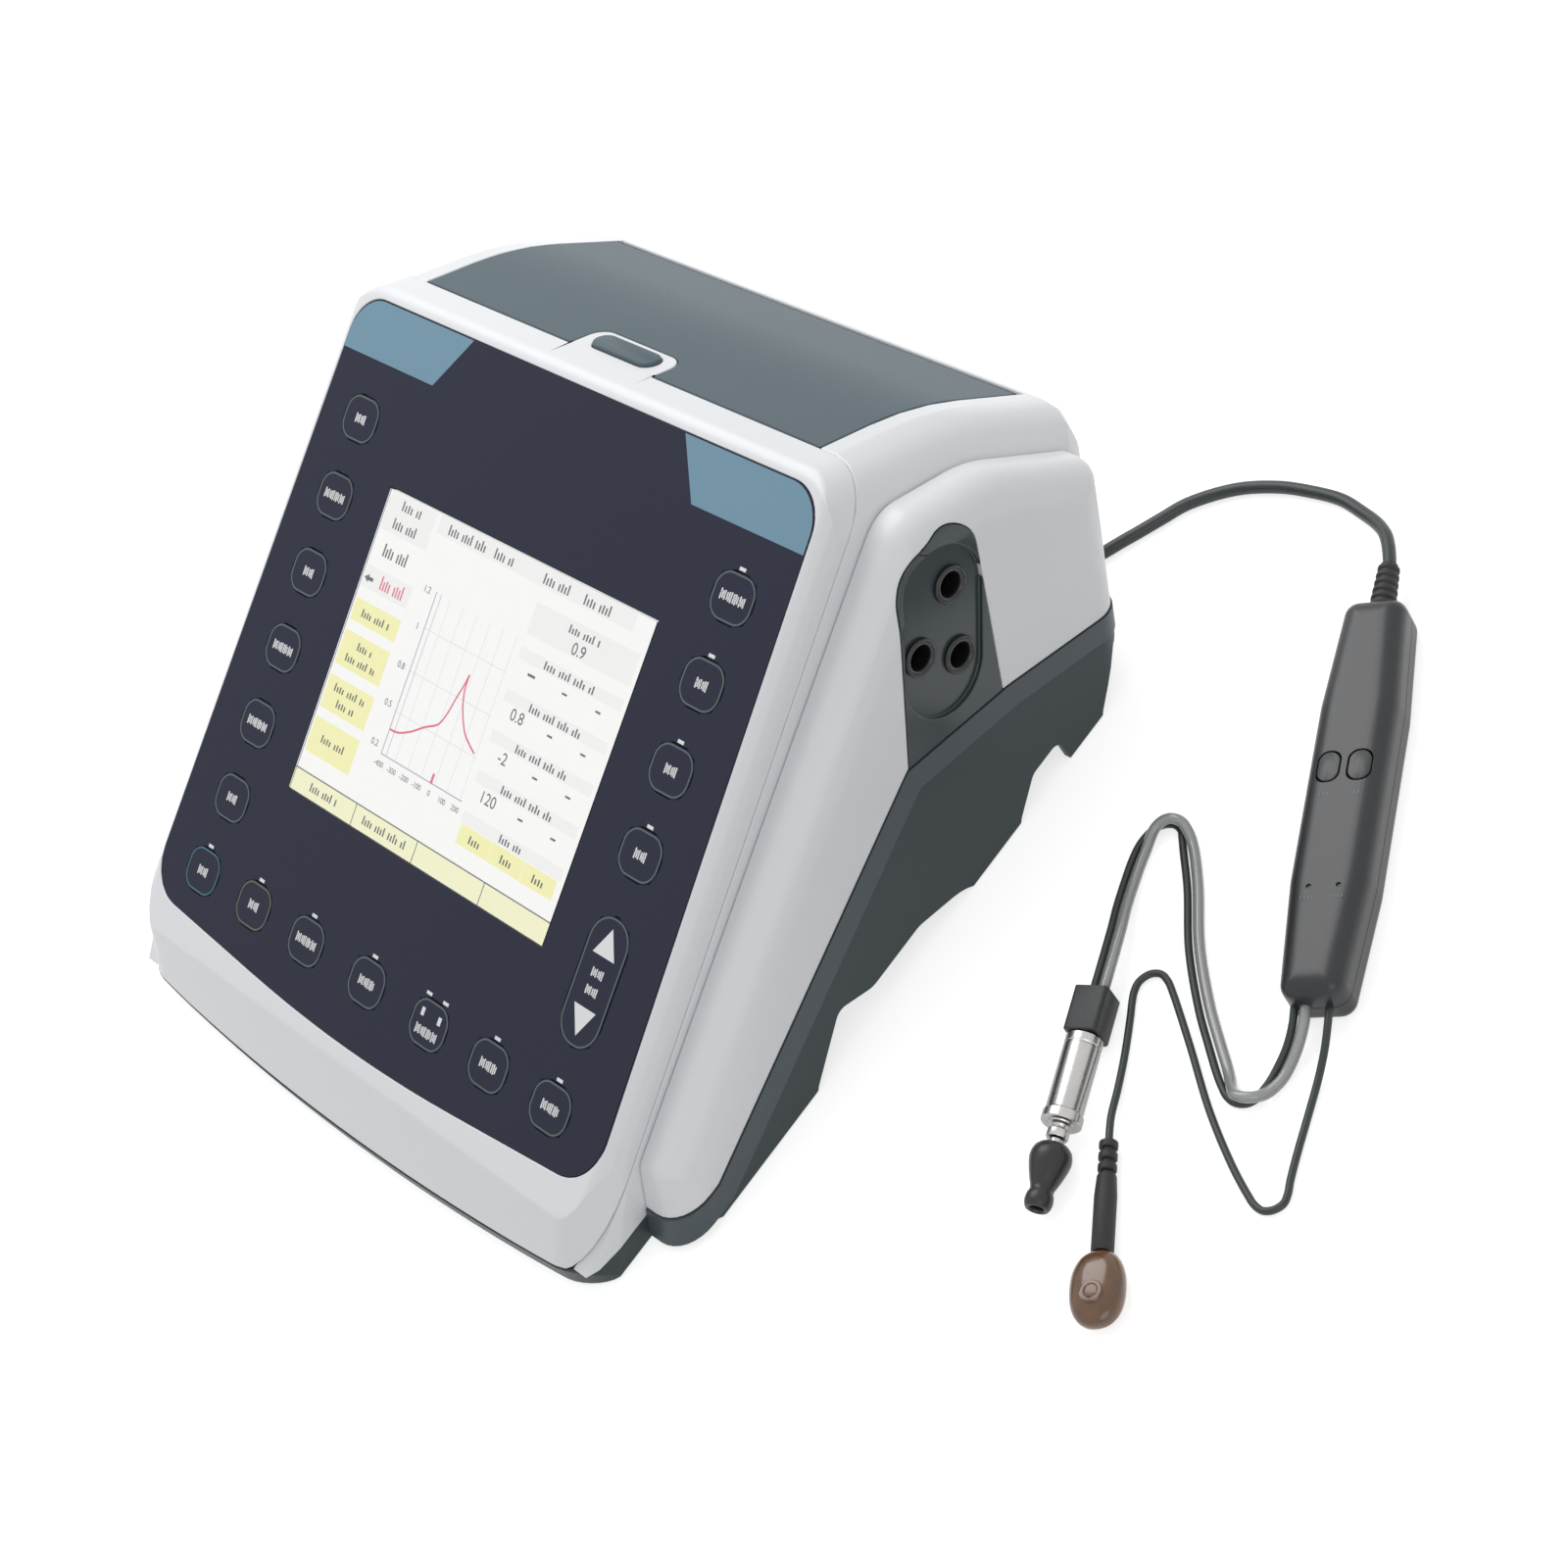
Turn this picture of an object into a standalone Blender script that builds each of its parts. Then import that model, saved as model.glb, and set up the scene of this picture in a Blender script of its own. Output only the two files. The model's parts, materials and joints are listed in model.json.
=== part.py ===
"""A desk tympanometer: a console with a sloping key panel, a screen, a printer under a hinged cover and two
side pods, and a handset with a probe and an earphone that lie beside it on their leads.

Lengths are in metres, +Z is up, +Y is the console's back and +X its right side. The console is drawn from the
middle of its screen, straight above CENTRE on the table.
"""

import math

import bmesh
import bpy
from mathutils import Matrix, Vector

MM = 0.001
GAP = 0.3 * MM  # between fixed neighbours
RUNNING_GAP = 0.35 * MM  # around a key or button that travels
OVERRUN = 6.0 * MM  # how far a cutter runs past what it cuts
LEAST_ROUND = 0.5 * MM
CENTRE = Vector((-55.5 * MM, -31.9 * MM, 0.0))  # puts the whole set's middle over the origin

# Console: side profile
PANEL_TILT = math.radians(28.0)
SCREEN_HEIGHT = 67.2 * MM
FRONT_REACH = 101.5 * MM
STRIP_HEIGHT = 7.0 * MM
FRONT_WALL_RUN = 13.0 * MM
RIDGE_UP = 92.0 * MM
COVER_FRONT_SLOPE = math.radians(28.4)
COVER_REAR_SLOPE = math.radians(45.0)
COVER_FRONT_RUN = 35.3 * MM
REAR_REACH = 145.5 * MM
REAR_BAND = 12.0 * MM
REAR_LEAN = math.radians(31.0)
WALL = 2.5 * MM
BODY_HALF_WIDTH = 106.5 * MM
TAPER_SHARE = 0.065  # how much narrower the console is at its back
PANEL_EDGE_ROUND = 5.0 * MM
TOP_EDGE_ROUND = 14.0 * MM
WALL_EDGE_ROUND = 12.0 * MM
BODY_STEPS = 4
SEAM_DEPTH = 8.0 * MM  # bezel above, upper shell below
TABLE_CLEARANCE = 0.6 * MM
STRIP_ROUND = 2.0 * MM
PANEL_FOOT_ROUND = 5.0 * MM
RIDGE_ROUND = 5.0 * MM
COVER_ROUND = 100.0 * MM
REAR_TOP_ROUND = 5.0 * MM
REAR_WALL_ROUND = 15.0 * MM

# Base moulding
FLOOR_BOTTOM = 2.5 * MM
FLOOR_TOP = 4.5 * MM
TRAY_SET_IN = 5.5 * MM
TRAY_HALF_WIDTH = BODY_HALF_WIDTH - TRAY_SET_IN
TRAY_STRIP_DEPTH = 26.0 * MM
FLANGE_WIDTH = 10.0 * MM
FLANGE_TOP = 6.4 * MM

# Side pods and skirts
POD_STAND_OUT = 14.5 * MM
POD_HALF_WIDTH = BODY_HALF_WIDTH + POD_STAND_OUT
POD_EDGE_ROUND = 10.0 * MM
POD_STEPS = 3
POD_WALL = 2.5 * MM
POD_FRONT_REACH = 83.5 * MM
POD_FRONT_LEAN_RUN = 17.0 * MM
POD_FRONT_HEIGHT = 21.0 * MM
POD_PEAK_REACH = 84.0 * MM
POD_PEAK_HEIGHT = 97.0 * MM
POD_SHOULDER_REACH = 110.5 * MM
POD_SHOULDER_HEIGHT = 84.5 * MM
POD_REAR_REACH = 137.5 * MM
POD_REAR_HEIGHT = 57.0 * MM
POD_REAR_RUN = 30.5 * MM
POD_FRONT_ROUND = 6.0 * MM
POD_PEAK_ROUND = 13.0 * MM
POD_SHOULDER_ROUND = 40.0 * MM
POD_REAR_ROUND = 6.0 * MM
SPLIT_FRONT_REACH = 57.8 * MM
SPLIT_FRONT_HEIGHT = 9.2 * MM
SPLIT_PEAK_REACH = 46.3 * MM
SPLIT_PEAK_HEIGHT = 46.5 * MM
SPLIT_REAR_REACH = 80.8 * MM
SPLIT_REAR_HEIGHT = 36.6 * MM
SPLIT_END_REACH = 150.0 * MM
SPLIT_END_HEIGHT = 9.0 * MM
TOE_REACH = 60.0 * MM  # where the front of the skirt reaches the table
TOE_RISE = 8.6 * MM
ARCH_FRONT = -24.0 * MM
ARCH_PEAK = -6.0 * MM
ARCH_PEAK_HEIGHT = 13.0 * MM
ARCH_MIDDLE = 4.5 * MM
ARCH_LOW_HEIGHT = 8.0 * MM
ARCH_LOW_END = 24.0 * MM
ARCH_REAR = 47.0 * MM
NOTCH_FRONT = 62.0 * MM
NOTCH_REAR = 84.0 * MM
NOTCH_HEIGHT = 8.4 * MM
HEEL_REACH = 98.0 * MM
HEEL_RISE_RUN = 14.0 * MM
HEEL_RISE = 13.0 * MM

# Key panel
PANEL_THICKNESS = 2.0 * MM
PANEL_HALF_TOP = BODY_HALF_WIDTH - 9.7 * MM
PANEL_HALF_BOTTOM = BODY_HALF_WIDTH - 4.3 * MM
PANEL_TOP = 88.7 * MM
PANEL_SIDE_BOTTOM = 89.5 * MM
PANEL_BOTTOM = 97.5 * MM
PANEL_TOP_ROUND = 11.0 * MM
PANEL_BOTTOM_ROUND = 13.0 * MM
PANEL_BOW_ROUND = 600.0 * MM
SHELF_THICKNESS = 2.0 * MM  # the bezel's floor under the panel

# Keys
KEY_WIDTH = 15.0 * MM
KEY_HEIGHT = 12.6 * MM
KEY_ROUND = 5.0 * MM
KEY_THICKNESS = 1.5 * MM
KEY_PROUD = 0.1 * MM
KEY_COLUMN = BODY_HALF_WIDTH - 26.9 * MM
KEY_PITCH = 22.26 * MM
KEY_TOP_ROW = 56.5 * MM
SIDE_KEYS_LEFT = 6
SIDE_KEYS_RIGHT = 4
BOTTOM_ROW = -77.4 * MM
BOTTOM_ROW_SHARES = (-1.024, -0.696, -0.368, -0.0063, 0.349, 0.677, 1.0025)  # of the key column's place
ARROW_KEY_HEIGHT = 34.0 * MM
ARROW_KEY_ROUND = 7.0 * MM
ARROW_KEY_UP = -43.9 * MM

# Screen
SCREEN_WIDTH = 115.2 * MM
SCREEN_LENGTH = 86.4 * MM
WINDOW_THICKNESS = 1.8 * MM
MODULE_MARGIN_X = 8.0 * MM
MODULE_MARGIN_Y = 7.0 * MM
MODULE_THICKNESS = 7.0 * MM
MODULE_FACE_MARGIN = 1.5 * MM

# Printer cover
COVER_HALF_WIDTH = BODY_HALF_WIDTH - 24.7 * MM
COVER_THICKNESS = 2.5 * MM
COVER_REAR = 141.8 * MM
HINGE_DEPTH = 2.3 * MM
BARREL_RADIUS = 2.1 * MM
BARREL_WIDTH = 8.0 * MM
PIN_RADIUS = 1.0 * MM
PIN_CLEARANCE = 0.3 * MM
HINGE_END_GAP = 2.7 * MM
COVER_SIDE_GAP = 0.4 * MM
HINGE_BLOCK_WIDTH = 7.0 * MM
HINGE_BLOCK_SIZE = 7.0 * MM

# Release button in its white tab
TAB_HALF_WIDTH = 17.0 * MM
TAB_DEPTH = 11.0 * MM
TAB_ROUND = 5.0 * MM
TAB_FRONT = 8.0 * MM  # how far the tab's root reaches in front of the cover
BUTTON_WIDTH = 24.6 * MM
BUTTON_DEPTH = 6.8 * MM
BUTTON_PROUD = 0.6 * MM
BUTTON_FLANGE = 1.0 * MM
BUTTON_FLANGE_MARGIN = 1.2 * MM
BUTTON_BACK = 5.4 * MM  # from the cover's front edge to the button's middle

# Printer inside
ROLL_HALF_WIDTH = 56.2 * MM
ROLL_END_GAP = 0.8 * MM
CHEEK_INNER = ROLL_HALF_WIDTH + ROLL_END_GAP
CHEEK_THICKNESS = 2.5 * MM
CHEEK_FRONT = 84.0 * MM
CHEEK_REAR = 124.0 * MM
CHEEK_FOOT_REAR = 112.0 * MM
CHEEK_TOP = 85.0 * MM
DECK_HEIGHT = 34.0 * MM
DECK_REAR = 106.0 * MM
DECK_THICKNESS = 2.0 * MM
HEAD_BAR_DEPTH = 3.5 * MM
HEAD_BAR_HEIGHT = 12.0 * MM
ROLL_RADIUS = 21.0 * MM
ROLL_BORE = 6.5 * MM
ROLL_AT = (107.5 * MM, 59.0 * MM)
STUB_RADIUS = 6.0 * MM
STUB_LENGTH = 6.0 * MM
PLATEN_RADIUS = 4.0 * MM
PLATEN_HALF_WIDTH = ROLL_HALF_WIDTH - 0.2 * MM
PLATEN_SHAFT = 1.5 * MM
PLATEN_DROP = 11.0 * MM
PLATEN_BACK = 14.7 * MM
HEAD_GAP = 0.5 * MM
EAR_CLEARANCE = 1.1 * MM
EAR_INNER = CHEEK_INNER + CHEEK_THICKNESS + EAR_CLEARANCE
EAR_THICKNESS = 2.4 * MM
EAR_LENGTH = 8.0 * MM

# Jack plate on the right pod
PLATE_THICKNESS = 3.0 * MM
PLATE_FOOT = 30.0 * MM  # below the split line, where the plate is cut off
PLATE_FRONT_FOOT = 37.0 * MM
PLATE_REAR_FOOT = 76.3 * MM
PLATE_FRONT_TOP = 72.5 * MM
PLATE_REAR_TOP = 100.5 * MM
PLATE_TOP = 89.0 * MM
PLATE_FRONT_ROUND = 16.0 * MM
PLATE_REAR_ROUND = 9.0 * MM
RECESS_AT = (75.3 * MM, 66.6 * MM)
RECESS_LENGTH = 45.0 * MM
RECESS_WIDTH = 26.0 * MM
RECESS_LEAN = math.radians(56.0)
RECESS_DEPTH = 1.4 * MM
JACK_PLACES = ((84.0 * MM, 74.5 * MM), (66.6 * MM, 66.9 * MM), (75.6 * MM, 56.6 * MM))
JACK_FLANGE_RADIUS = 5.0 * MM
JACK_RADIUS = 4.2 * MM
JACK_BORE = 3.2 * MM
JACK_LENGTH = 12.0 * MM
JACK_FLANGE = 1.0 * MM
JACK_INSIDE = 10.0 * MM  # depth of a jack's bore
JACK_BOARD_MARGIN = 5.0 * MM
JACK_BOARD_THICKNESS = 1.2 * MM

# Rear panel and what it carries
REAR_PANEL_WIDTH = 2 * (BODY_HALF_WIDTH - 31.5 * MM)
REAR_PANEL_HEIGHT = 34.0 * MM
REAR_PANEL_UP = 27.0 * MM  # height of its middle over the table
INLET_AT = 33.0 * MM  # middle of the power module, which holds the inlet and the switch
INLET_UP = -4.0 * MM
INLET_WIDTH = 42.0 * MM
INLET_HEIGHT = 20.0 * MM
INLET_DEPTH = 17.0 * MM
INLET_FLANGE = 2.0 * MM
INLET_FLANGE_THICKNESS = 1.5 * MM
MOUTH_AT = -7.5 * MM
MOUTH_WIDTH = 23.0 * MM
MOUTH_HEIGHT = 15.0 * MM
MOUTH_DEPTH = 13.0 * MM
BLADE_LENGTH = 9.0 * MM
BLADE_WIDTH = 4.0 * MM
BLADE_THICKNESS = 2.0 * MM
BLADE_SPREAD = 7.0 * MM
BLADE_OFFSET = 2.5 * MM
SWITCH_AT = 13.0 * MM
SWITCH_WIDTH = 12.0 * MM
SWITCH_HEIGHT = 15.0 * MM
SWITCH_FOOT = 12.0 * MM
SWITCH_DROP = 2.5 * MM  # from the rocker's axle to its underside
SWITCH_CREST = 3.5 * MM
SWITCH_VALLEY = 2.6 * MM
SWITCH_TIP = math.radians(7.0)
SWITCH_GAP = 0.7 * MM
SWITCH_WELL = 10.0 * MM
AXLE_RADIUS = 0.9 * MM
AXLE_LENGTH = 14.2 * MM
GLAND_AT = -52.0 * MM
GLAND_RADIUS = 4.3 * MM
GLAND_FLANGE_RADIUS = 6.5 * MM
GLAND_FLANGE_THICKNESS = 2.0 * MM
GLAND_INSIDE = 6.0 * MM
GLAND_REACH = 18.0 * MM
GLAND_ROOT_RADIUS = 4.0 * MM
GLAND_TIP_RADIUS = 2.8 * MM
RELIEF_RIBS = 3
RIB_SHARE = 0.68
RIB_DEPTH = 0.5 * MM

# Boards and units inside
BOARD_WIDTH = 2 * (TRAY_HALF_WIDTH - 26.0 * MM)
BOARD_DEPTH = 84.0 * MM
BOARD_THICKNESS = 1.6 * MM
BOARD_FRONT = -46.0 * MM
BOSS_HEIGHT = 5.5 * MM
BOSS_RADIUS = 3.5 * MM
BOSS_INSET = 7.0 * MM
CHIP_SIZE = (24.0 * MM, 24.0 * MM, 3.0 * MM)
SOCKET_BLOCK = (40.0 * MM, 9.0 * MM, 8.0 * MM)
CHIP_AT = (-20.0 * MM, -10.0 * MM)
SOCKET_AT = (20.0 * MM, 28.0 * MM)
SUPPLY_SIZE = (62.0 * MM, 38.0 * MM, 1.6 * MM)
SUPPLY_AT = (-22.0 * MM, 62.0 * MM)
TRANSFORMER_SIZE = (26.0 * MM, 24.0 * MM, 20.0 * MM)
CAPACITOR_RADIUS = 6.0 * MM
CAPACITOR_HEIGHT = 19.0 * MM
HEAT_SINK_SIZE = (2.5 * MM, 30.0 * MM, 18.0 * MM)
PUMP_RADIUS = 10.0 * MM
PUMP_LENGTH = 24.0 * MM
PUMP_HEAD = (24.0 * MM, 13.0 * MM, 24.0 * MM)
PUMP_AT = (66.0 * MM, 49.0 * MM)
PUMP_NOZZLE_RADIUS = 2.2 * MM
PUMP_NOZZLE = 6.0 * MM
PEG_RADIUS = 1.4 * MM
PEG_TOP = 12.8 * MM
FOOT_LENGTH = 2 * (TRAY_HALF_WIDTH - 13.0 * MM)
FOOT_WIDTH = 12.0 * MM
FOOT_HEIGHT = 2.2 * MM
FOOT_FRONT = -84.0 * MM
FOOT_REAR = 96.0 * MM

# Handset
HANDSET_LENGTH = 113.0 * MM
HANDSET_END_WIDTH = 15.6 * MM
HANDSET_WIDTH = 20.0 * MM
HANDSET_WAIST = 50.0 * MM  # length over which it keeps its full width
HANDSET_THICKNESS = 14.0 * MM
HANDSET_END_ROUND = 4.0 * MM
HANDSET_SIDE_ROUND = 30.0 * MM
HANDSET_EDGE = 3.0 * MM
HANDSET_PARTING = 6.0 * MM
HANDSET_WALL = 1.8 * MM
HANDSET_SEAT = 3.0 * MM  # height of the lower shell's inside floor
HANDSET_AT = Vector((197.0 * MM, 102.5 * MM, 0.0))
HANDSET_TURN = math.radians(29.2)
THUMB_SPREAD = 3.9 * MM
THUMB_UP = 5.7 * MM
THUMB_WIDTH = 5.6 * MM
THUMB_LENGTH = 8.4 * MM
THUMB_PROUD = 0.3 * MM
THUMB_FLANGE = 0.9 * MM
THUMB_FLANGE_MARGIN = 0.7 * MM
THUMB_POST_TOP = 9.9 * MM
THUMB_POST_RADIUS = 2.0 * MM
HANDSET_BOARD_WIDTH = 11.0 * MM
HANDSET_BOARD_LENGTH = 80.0 * MM
HANDSET_BOARD_THICKNESS = 1.2 * MM
LIGHT_DOWN = 28.0 * MM
LIGHT_SPREAD = 3.7 * MM
LIGHT_RADIUS = 0.9 * MM
LIGHT_SINK = 0.5 * MM
RELIEF_HEIGHT = 7.0 * MM
RELIEF_LENGTH = 14.0 * MM
RELIEF_BASE = 3.4 * MM
RELIEF_SHANK = 2.9 * MM
RELIEF_FLANGE = 3.6 * MM
RELIEF_FLANGE_THICKNESS = 1.2 * MM
RELIEF_TIP = 2.6 * MM
LEAD_PAIR_AT = -4.1 * MM  # across the handset's end
EARPHONE_LEAD_AT = 3.0 * MM
LEAD_HEIGHT = 6.0 * MM
LEAD_INSIDE = 3.0 * MM  # how far a lead runs on inside the piece that holds it

# Probe, drawn from the middle of the housing's cable end towards its tip
PROBE_AT = Vector((171.8 * MM, 31.3 * MM, 5.3 * MM))
PROBE_TURN = math.radians(24.9)
HOUSING_WIDTH = 10.0 * MM
HOUSING_LENGTH = 12.0 * MM
HOUSING_ROUND = 1.6 * MM
BARREL_SILVER_RADIUS = 4.6 * MM
BARREL_SILVER_LENGTH = 20.5 * MM
FLANGE_RADIUS = 5.0 * MM
FLANGE_LENGTH = 2.6 * MM
STEM_RADIUS = 1.5 * MM
STEM_LENGTH = 12.0 * MM
KNOB_RADIUS = 2.7 * MM
KNOB_LENGTH = 2.6 * MM
TIP_START = 5.4 * MM  # from the flange to the ear tip
TIP_LENGTH = 17.0 * MM
TIP_RADIUS = 5.1 * MM
TIP_BORE = 1.9 * MM

# Earphone, drawn from its sleeve's cable end towards the receiver
EARPHONE_AT = Vector((199.0 * MM, 2.0 * MM, 3.0 * MM))
EARPHONE_TURN = math.radians(36.9)
SLEEVE_LENGTH = 29.0 * MM
SLEEVE_RADIUS = 2.3 * MM
SLEEVE_RING_RADIUS = 2.7 * MM
SLEEVE_RINGS = 3
SLEEVE_RING_PITCH = 3.0 * MM
SLEEVE_NECK_RADIUS = 1.5 * MM
RECEIVER_WIDTH = 13.4 * MM
RECEIVER_LENGTH = 19.2 * MM
RECEIVER_THICKNESS = 8.0 * MM
RECEIVER_HEIGHT = 4.3 * MM  # of its middle over the table
DIMPLE_AT = 2.6 * MM
DIMPLE_RADIUS = 1.3 * MM
DIMPLE_DEPTH = 1.0 * MM

# Leads
CABLE_RADIUS = 1.75 * MM
PROBE_CABLE_RADIUS = 1.0 * MM
PROBE_TUBE_RADIUS = 1.4 * MM
PAIR_SIDE = 1.45 * MM  # from the middle of the probe's pair of leads to either
PAIR_RISE = 2.7 * MM  # of the tube where it crosses over the cable
EARPHONE_CABLE_RADIUS = 0.95 * MM
LYING_GAP = 0.2 * MM  # under a lead on the table
LEAD_STEP_SHARE = 2.6  # a lead's point spacing in diameters
COIL_AT = Vector((-147.5 * MM, 92.0 * MM))
COIL_INNER = 12.75 * MM
COIL_PITCH = 4.0 * MM
COIL_LAYERS = 4
COIL_LAYER_TURNS = 3.125
COIL_TURN_STEPS = 24
COIL_CLIMB_TURNS = 0.25  # either side of a layer's end
COIL_END = 3.5 * MM

# Where the leads lie, in millimetres: X, Y and the height of the lead's middle
GLAND_ROUTE = (
    (-52.0, 151.7, 15.1), (-53.0, 156.0, 12.0), (-56.5, 160.5, 8.8), (-62.5, 163.5, 5.8), (-70.0, 164.5, 3.6),
    (-80.0, 164.2, 2.2), (-92.0, 162.0, 1.95), (-104.0, 157.0, 1.95), (-115.0, 148.5, 1.95),
    (-121.0, 137.0, 1.95), (-122.25, 124.0, 1.95), (-122.25, 108.0, 1.95),
)
CONSOLE_ROUTE = (
    (-172.75, 110.0, 12.6), (-172.3, 123.0, 7.6), (-169.8, 137.0, 3.0), (-163.0, 150.0, 1.95),
    (-150.0, 161.0, 1.95), (-130.0, 169.5, 1.95), (-105.0, 173.0, 1.95), (-75.0, 172.5, 1.95),
    (-52.0, 173.0, 1.95), (-20.0, 165.0, 1.95), (10.0, 150.0, 1.95), (40.0, 137.0, 1.95), (62.0, 131.0, 1.95),
    (76.0, 134.0, 1.95), (84.0, 146.0, 1.95), (89.0, 155.0, 1.95), (93.0, 162.0, 1.95), (103.0, 171.0, 1.95),
    (114.0, 176.0, 1.95), (123.0, 178.0, 1.95), (133.0, 179.0, 2.0), (142.0, 177.3, 2.7), (149.5, 175.0, 4.1),
    (155.6, 171.5, 5.9),
)
# X, Y, the lift off the table and how far the cable lies to the left of the pair's middle
PROBE_ROUTE = (
    (222.6, 48.0, 4.0, -1.45), (223.9, 42.6, 1.9, -1.45), (224.5, 36.6, 0.4, -1.45), (224.6, 33.2, 0.1, -1.3),
    (224.3, 30.7, 0.0, -1.1), (223.6, 28.4, 0.0, -0.6), (221.8, 26.6, 0.0, 0.0), (219.3, 25.9, 0.0, 0.5),
    (216.6, 26.7, 0.0, 1.0), (214.0, 28.4, 0.0, 1.3),
    (211.2, 30.4, 0.0, 1.45), (204.5, 35.4, 0.0, 1.45), (196.0, 42.0, 0.0, 1.45), (183.0, 54.0, 0.0, 1.45),
    (171.4, 67.6, 0.0, 1.45), (163.2, 75.9, 0.0, 1.4), (160.4, 78.4, 0.0, 1.1), (158.0, 79.9, 0.0, 0.6),
    (155.4, 79.9, 0.0, 0.0), (153.2, 78.6, 0.0, -0.5), (151.8, 76.2, 0.0, -0.9), (151.6, 73.4, 0.0, -1.2),
    (152.0, 70.6, 0.0, -1.4), (153.2, 66.6, 0.0, -1.45),
    (155.4, 61.5, 0.3, -1.45), (159.2, 54.6, 1.6, -1.45), (163.4, 48.2, 3.2, -1.45), (167.6, 40.4, 4.05, -1.45),
)
EARPHONE_ROUTE = (
    (229.1, 51.3, 5.5), (231.5, 46.0, 3.8), (233.6, 40.0, 2.0), (236.8, 31.5, 1.15), (241.0, 21.5, 1.15),
    (243.7, 15.6, 1.15), (245.2, 12.8, 1.15), (245.8, 10.4, 1.15), (244.7, 8.0, 1.15), (242.6, 6.6, 1.15),
    (239.8, 6.8, 1.15), (236.9, 8.0, 1.15), (229.0, 12.0, 1.15), (215.0, 20.6, 1.15), (199.0, 32.4, 1.15),
    (185.6, 41.9, 1.15), (182.8, 43.6, 1.15), (179.9, 44.4, 1.15), (177.3, 43.1, 1.15), (176.1, 40.3, 1.15),
    (176.6, 37.7, 1.15), (178.0, 35.1, 1.15), (180.6, 31.2, 1.15), (186.0, 22.6, 1.2),
    (191.0, 14.3, 1.9), (195.0, 7.4, 2.7),
)
BEND_STEP = math.radians(18.0)  # most that a lead bends between two of its points

for leftover in list(bpy.data.objects):
    bpy.data.objects.remove(leftover)


def metal_or_plastic(name, colour, roughness, metallic=0.0):
    """A material for one finish of the real object."""
    made = bpy.data.materials.new(name)
    made.use_nodes = True
    shader = made.node_tree.nodes["Principled BSDF"]
    shader.inputs["Base Color"].default_value = (*colour, 1.0)
    shader.inputs["Roughness"].default_value = roughness
    shader.inputs["Metallic"].default_value = metallic
    return made


def placed(form, matrix):
    """The form, moved by a matrix."""
    bmesh.ops.transform(form, matrix=matrix, verts=form.verts)
    return form


def facing_out(form):
    bmesh.ops.recalc_face_normals(form, faces=form.faces)
    return form


def prism(outline, low, high, axis="X"):
    """An outline drawn in Y and Z pushed along X, or drawn in X and Y pushed along Z."""
    form = bmesh.new()
    if axis == "X":
        corners = [form.verts.new((low, y, z)) for y, z in outline]
        reach = Vector((high - low, 0.0, 0.0))
    else:
        corners = [form.verts.new((x, y, low)) for x, y in outline]
        reach = Vector((0.0, 0.0, high - low))
    face = form.faces.new(corners)
    pushed = bmesh.ops.extrude_face_region(form, geom=[face])["geom"]
    bmesh.ops.translate(form, vec=reach, verts=[v for v in pushed if isinstance(v, bmesh.types.BMVert)])
    return facing_out(form)


def box(low, high):
    form = bmesh.new()
    bmesh.ops.create_cube(form, size=1.0)
    low, high = Vector(low), Vector(high)
    size = Matrix.Diagonal((*(high - low), 1.0))
    return placed(form, Matrix.Translation((low + high) / 2) @ size)


def rod(radius, length, sides=16, tip=None):
    """A rod up +Z from the origin, tapered to the radius tip when that is given."""
    form = bmesh.new()
    end = radius if tip is None else tip
    bmesh.ops.create_cone(form, cap_ends=True, segments=sides, radius1=radius, radius2=end, depth=length)
    return placed(form, Matrix.Translation((0.0, 0.0, length / 2)))


def turned(profile, sides=16, ring=False):
    """A profile of radius and height spun once round Z, from axis to axis, or a ring's closed outline."""
    form = bmesh.new()
    points = [form.verts.new((radius, 0.0, height)) for radius, height in profile]
    onward = points[1:] + points[:1] if ring else points[1:]
    edges = [form.edges.new(pair) for pair in zip(points, onward)]
    bmesh.ops.spin(
        form, geom=points + edges, cent=(0.0, 0.0, 0.0), axis=(0.0, 0.0, 1.0),
        angle=math.tau, steps=sides, use_merge=True,
    )
    bmesh.ops.remove_doubles(form, verts=form.verts, dist=LEAST_ROUND / 50)
    return facing_out(form)


def moved_in(corners, shifts):
    """An anticlockwise outline's corners, each side moved inwards by its own distance."""
    made = []
    for i, here in enumerate(corners):
        before, after = corners[i - 1], corners[(i + 1) % len(corners)]
        into, out = (here - before).normalized(), (after - here).normalized()
        normal_in = Vector((-into.y, into.x)) * shifts[i - 1]
        normal_out = Vector((-out.y, out.x)) * shifts[i]
        across = into.x * out.y - into.y * out.x
        along = ((normal_out - normal_in).x * out.y - (normal_out - normal_in).y * out.x) / across
        made.append(here + normal_in + into * along)
    return made


def rounded(corners, radii, steps):
    """An outline with each corner as an arc of so many steps."""
    made = []
    for i, here in enumerate(corners):
        back = (corners[i - 1] - here).normalized()
        onward = (corners[(i + 1) % len(corners)] - here).normalized()
        half = math.acos(max(-1.0, min(1.0, back.dot(onward)))) / 2
        middle = here + (back + onward).normalized() * (radii[i] / math.sin(half))
        start = here + back * (radii[i] / math.tan(half)) - middle
        turn = math.pi - 2 * half
        if back.x * onward.y - back.y * onward.x > 0:
            turn = -turn
        for k in range(steps + 1):
            spin = Matrix.Rotation(turn * k / steps, 2)
            made.append(middle + spin @ start)
    return made


def rounded_box_outline(width, length, radius, steps=3):
    """A rectangle about the origin with rounded corners."""
    x, y = width / 2, length / 2
    corners = [Vector(p) for p in ((-x, -y), (x, -y), (x, y), (-x, y))]
    return rounded(corners, [radius] * 4, steps)


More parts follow.
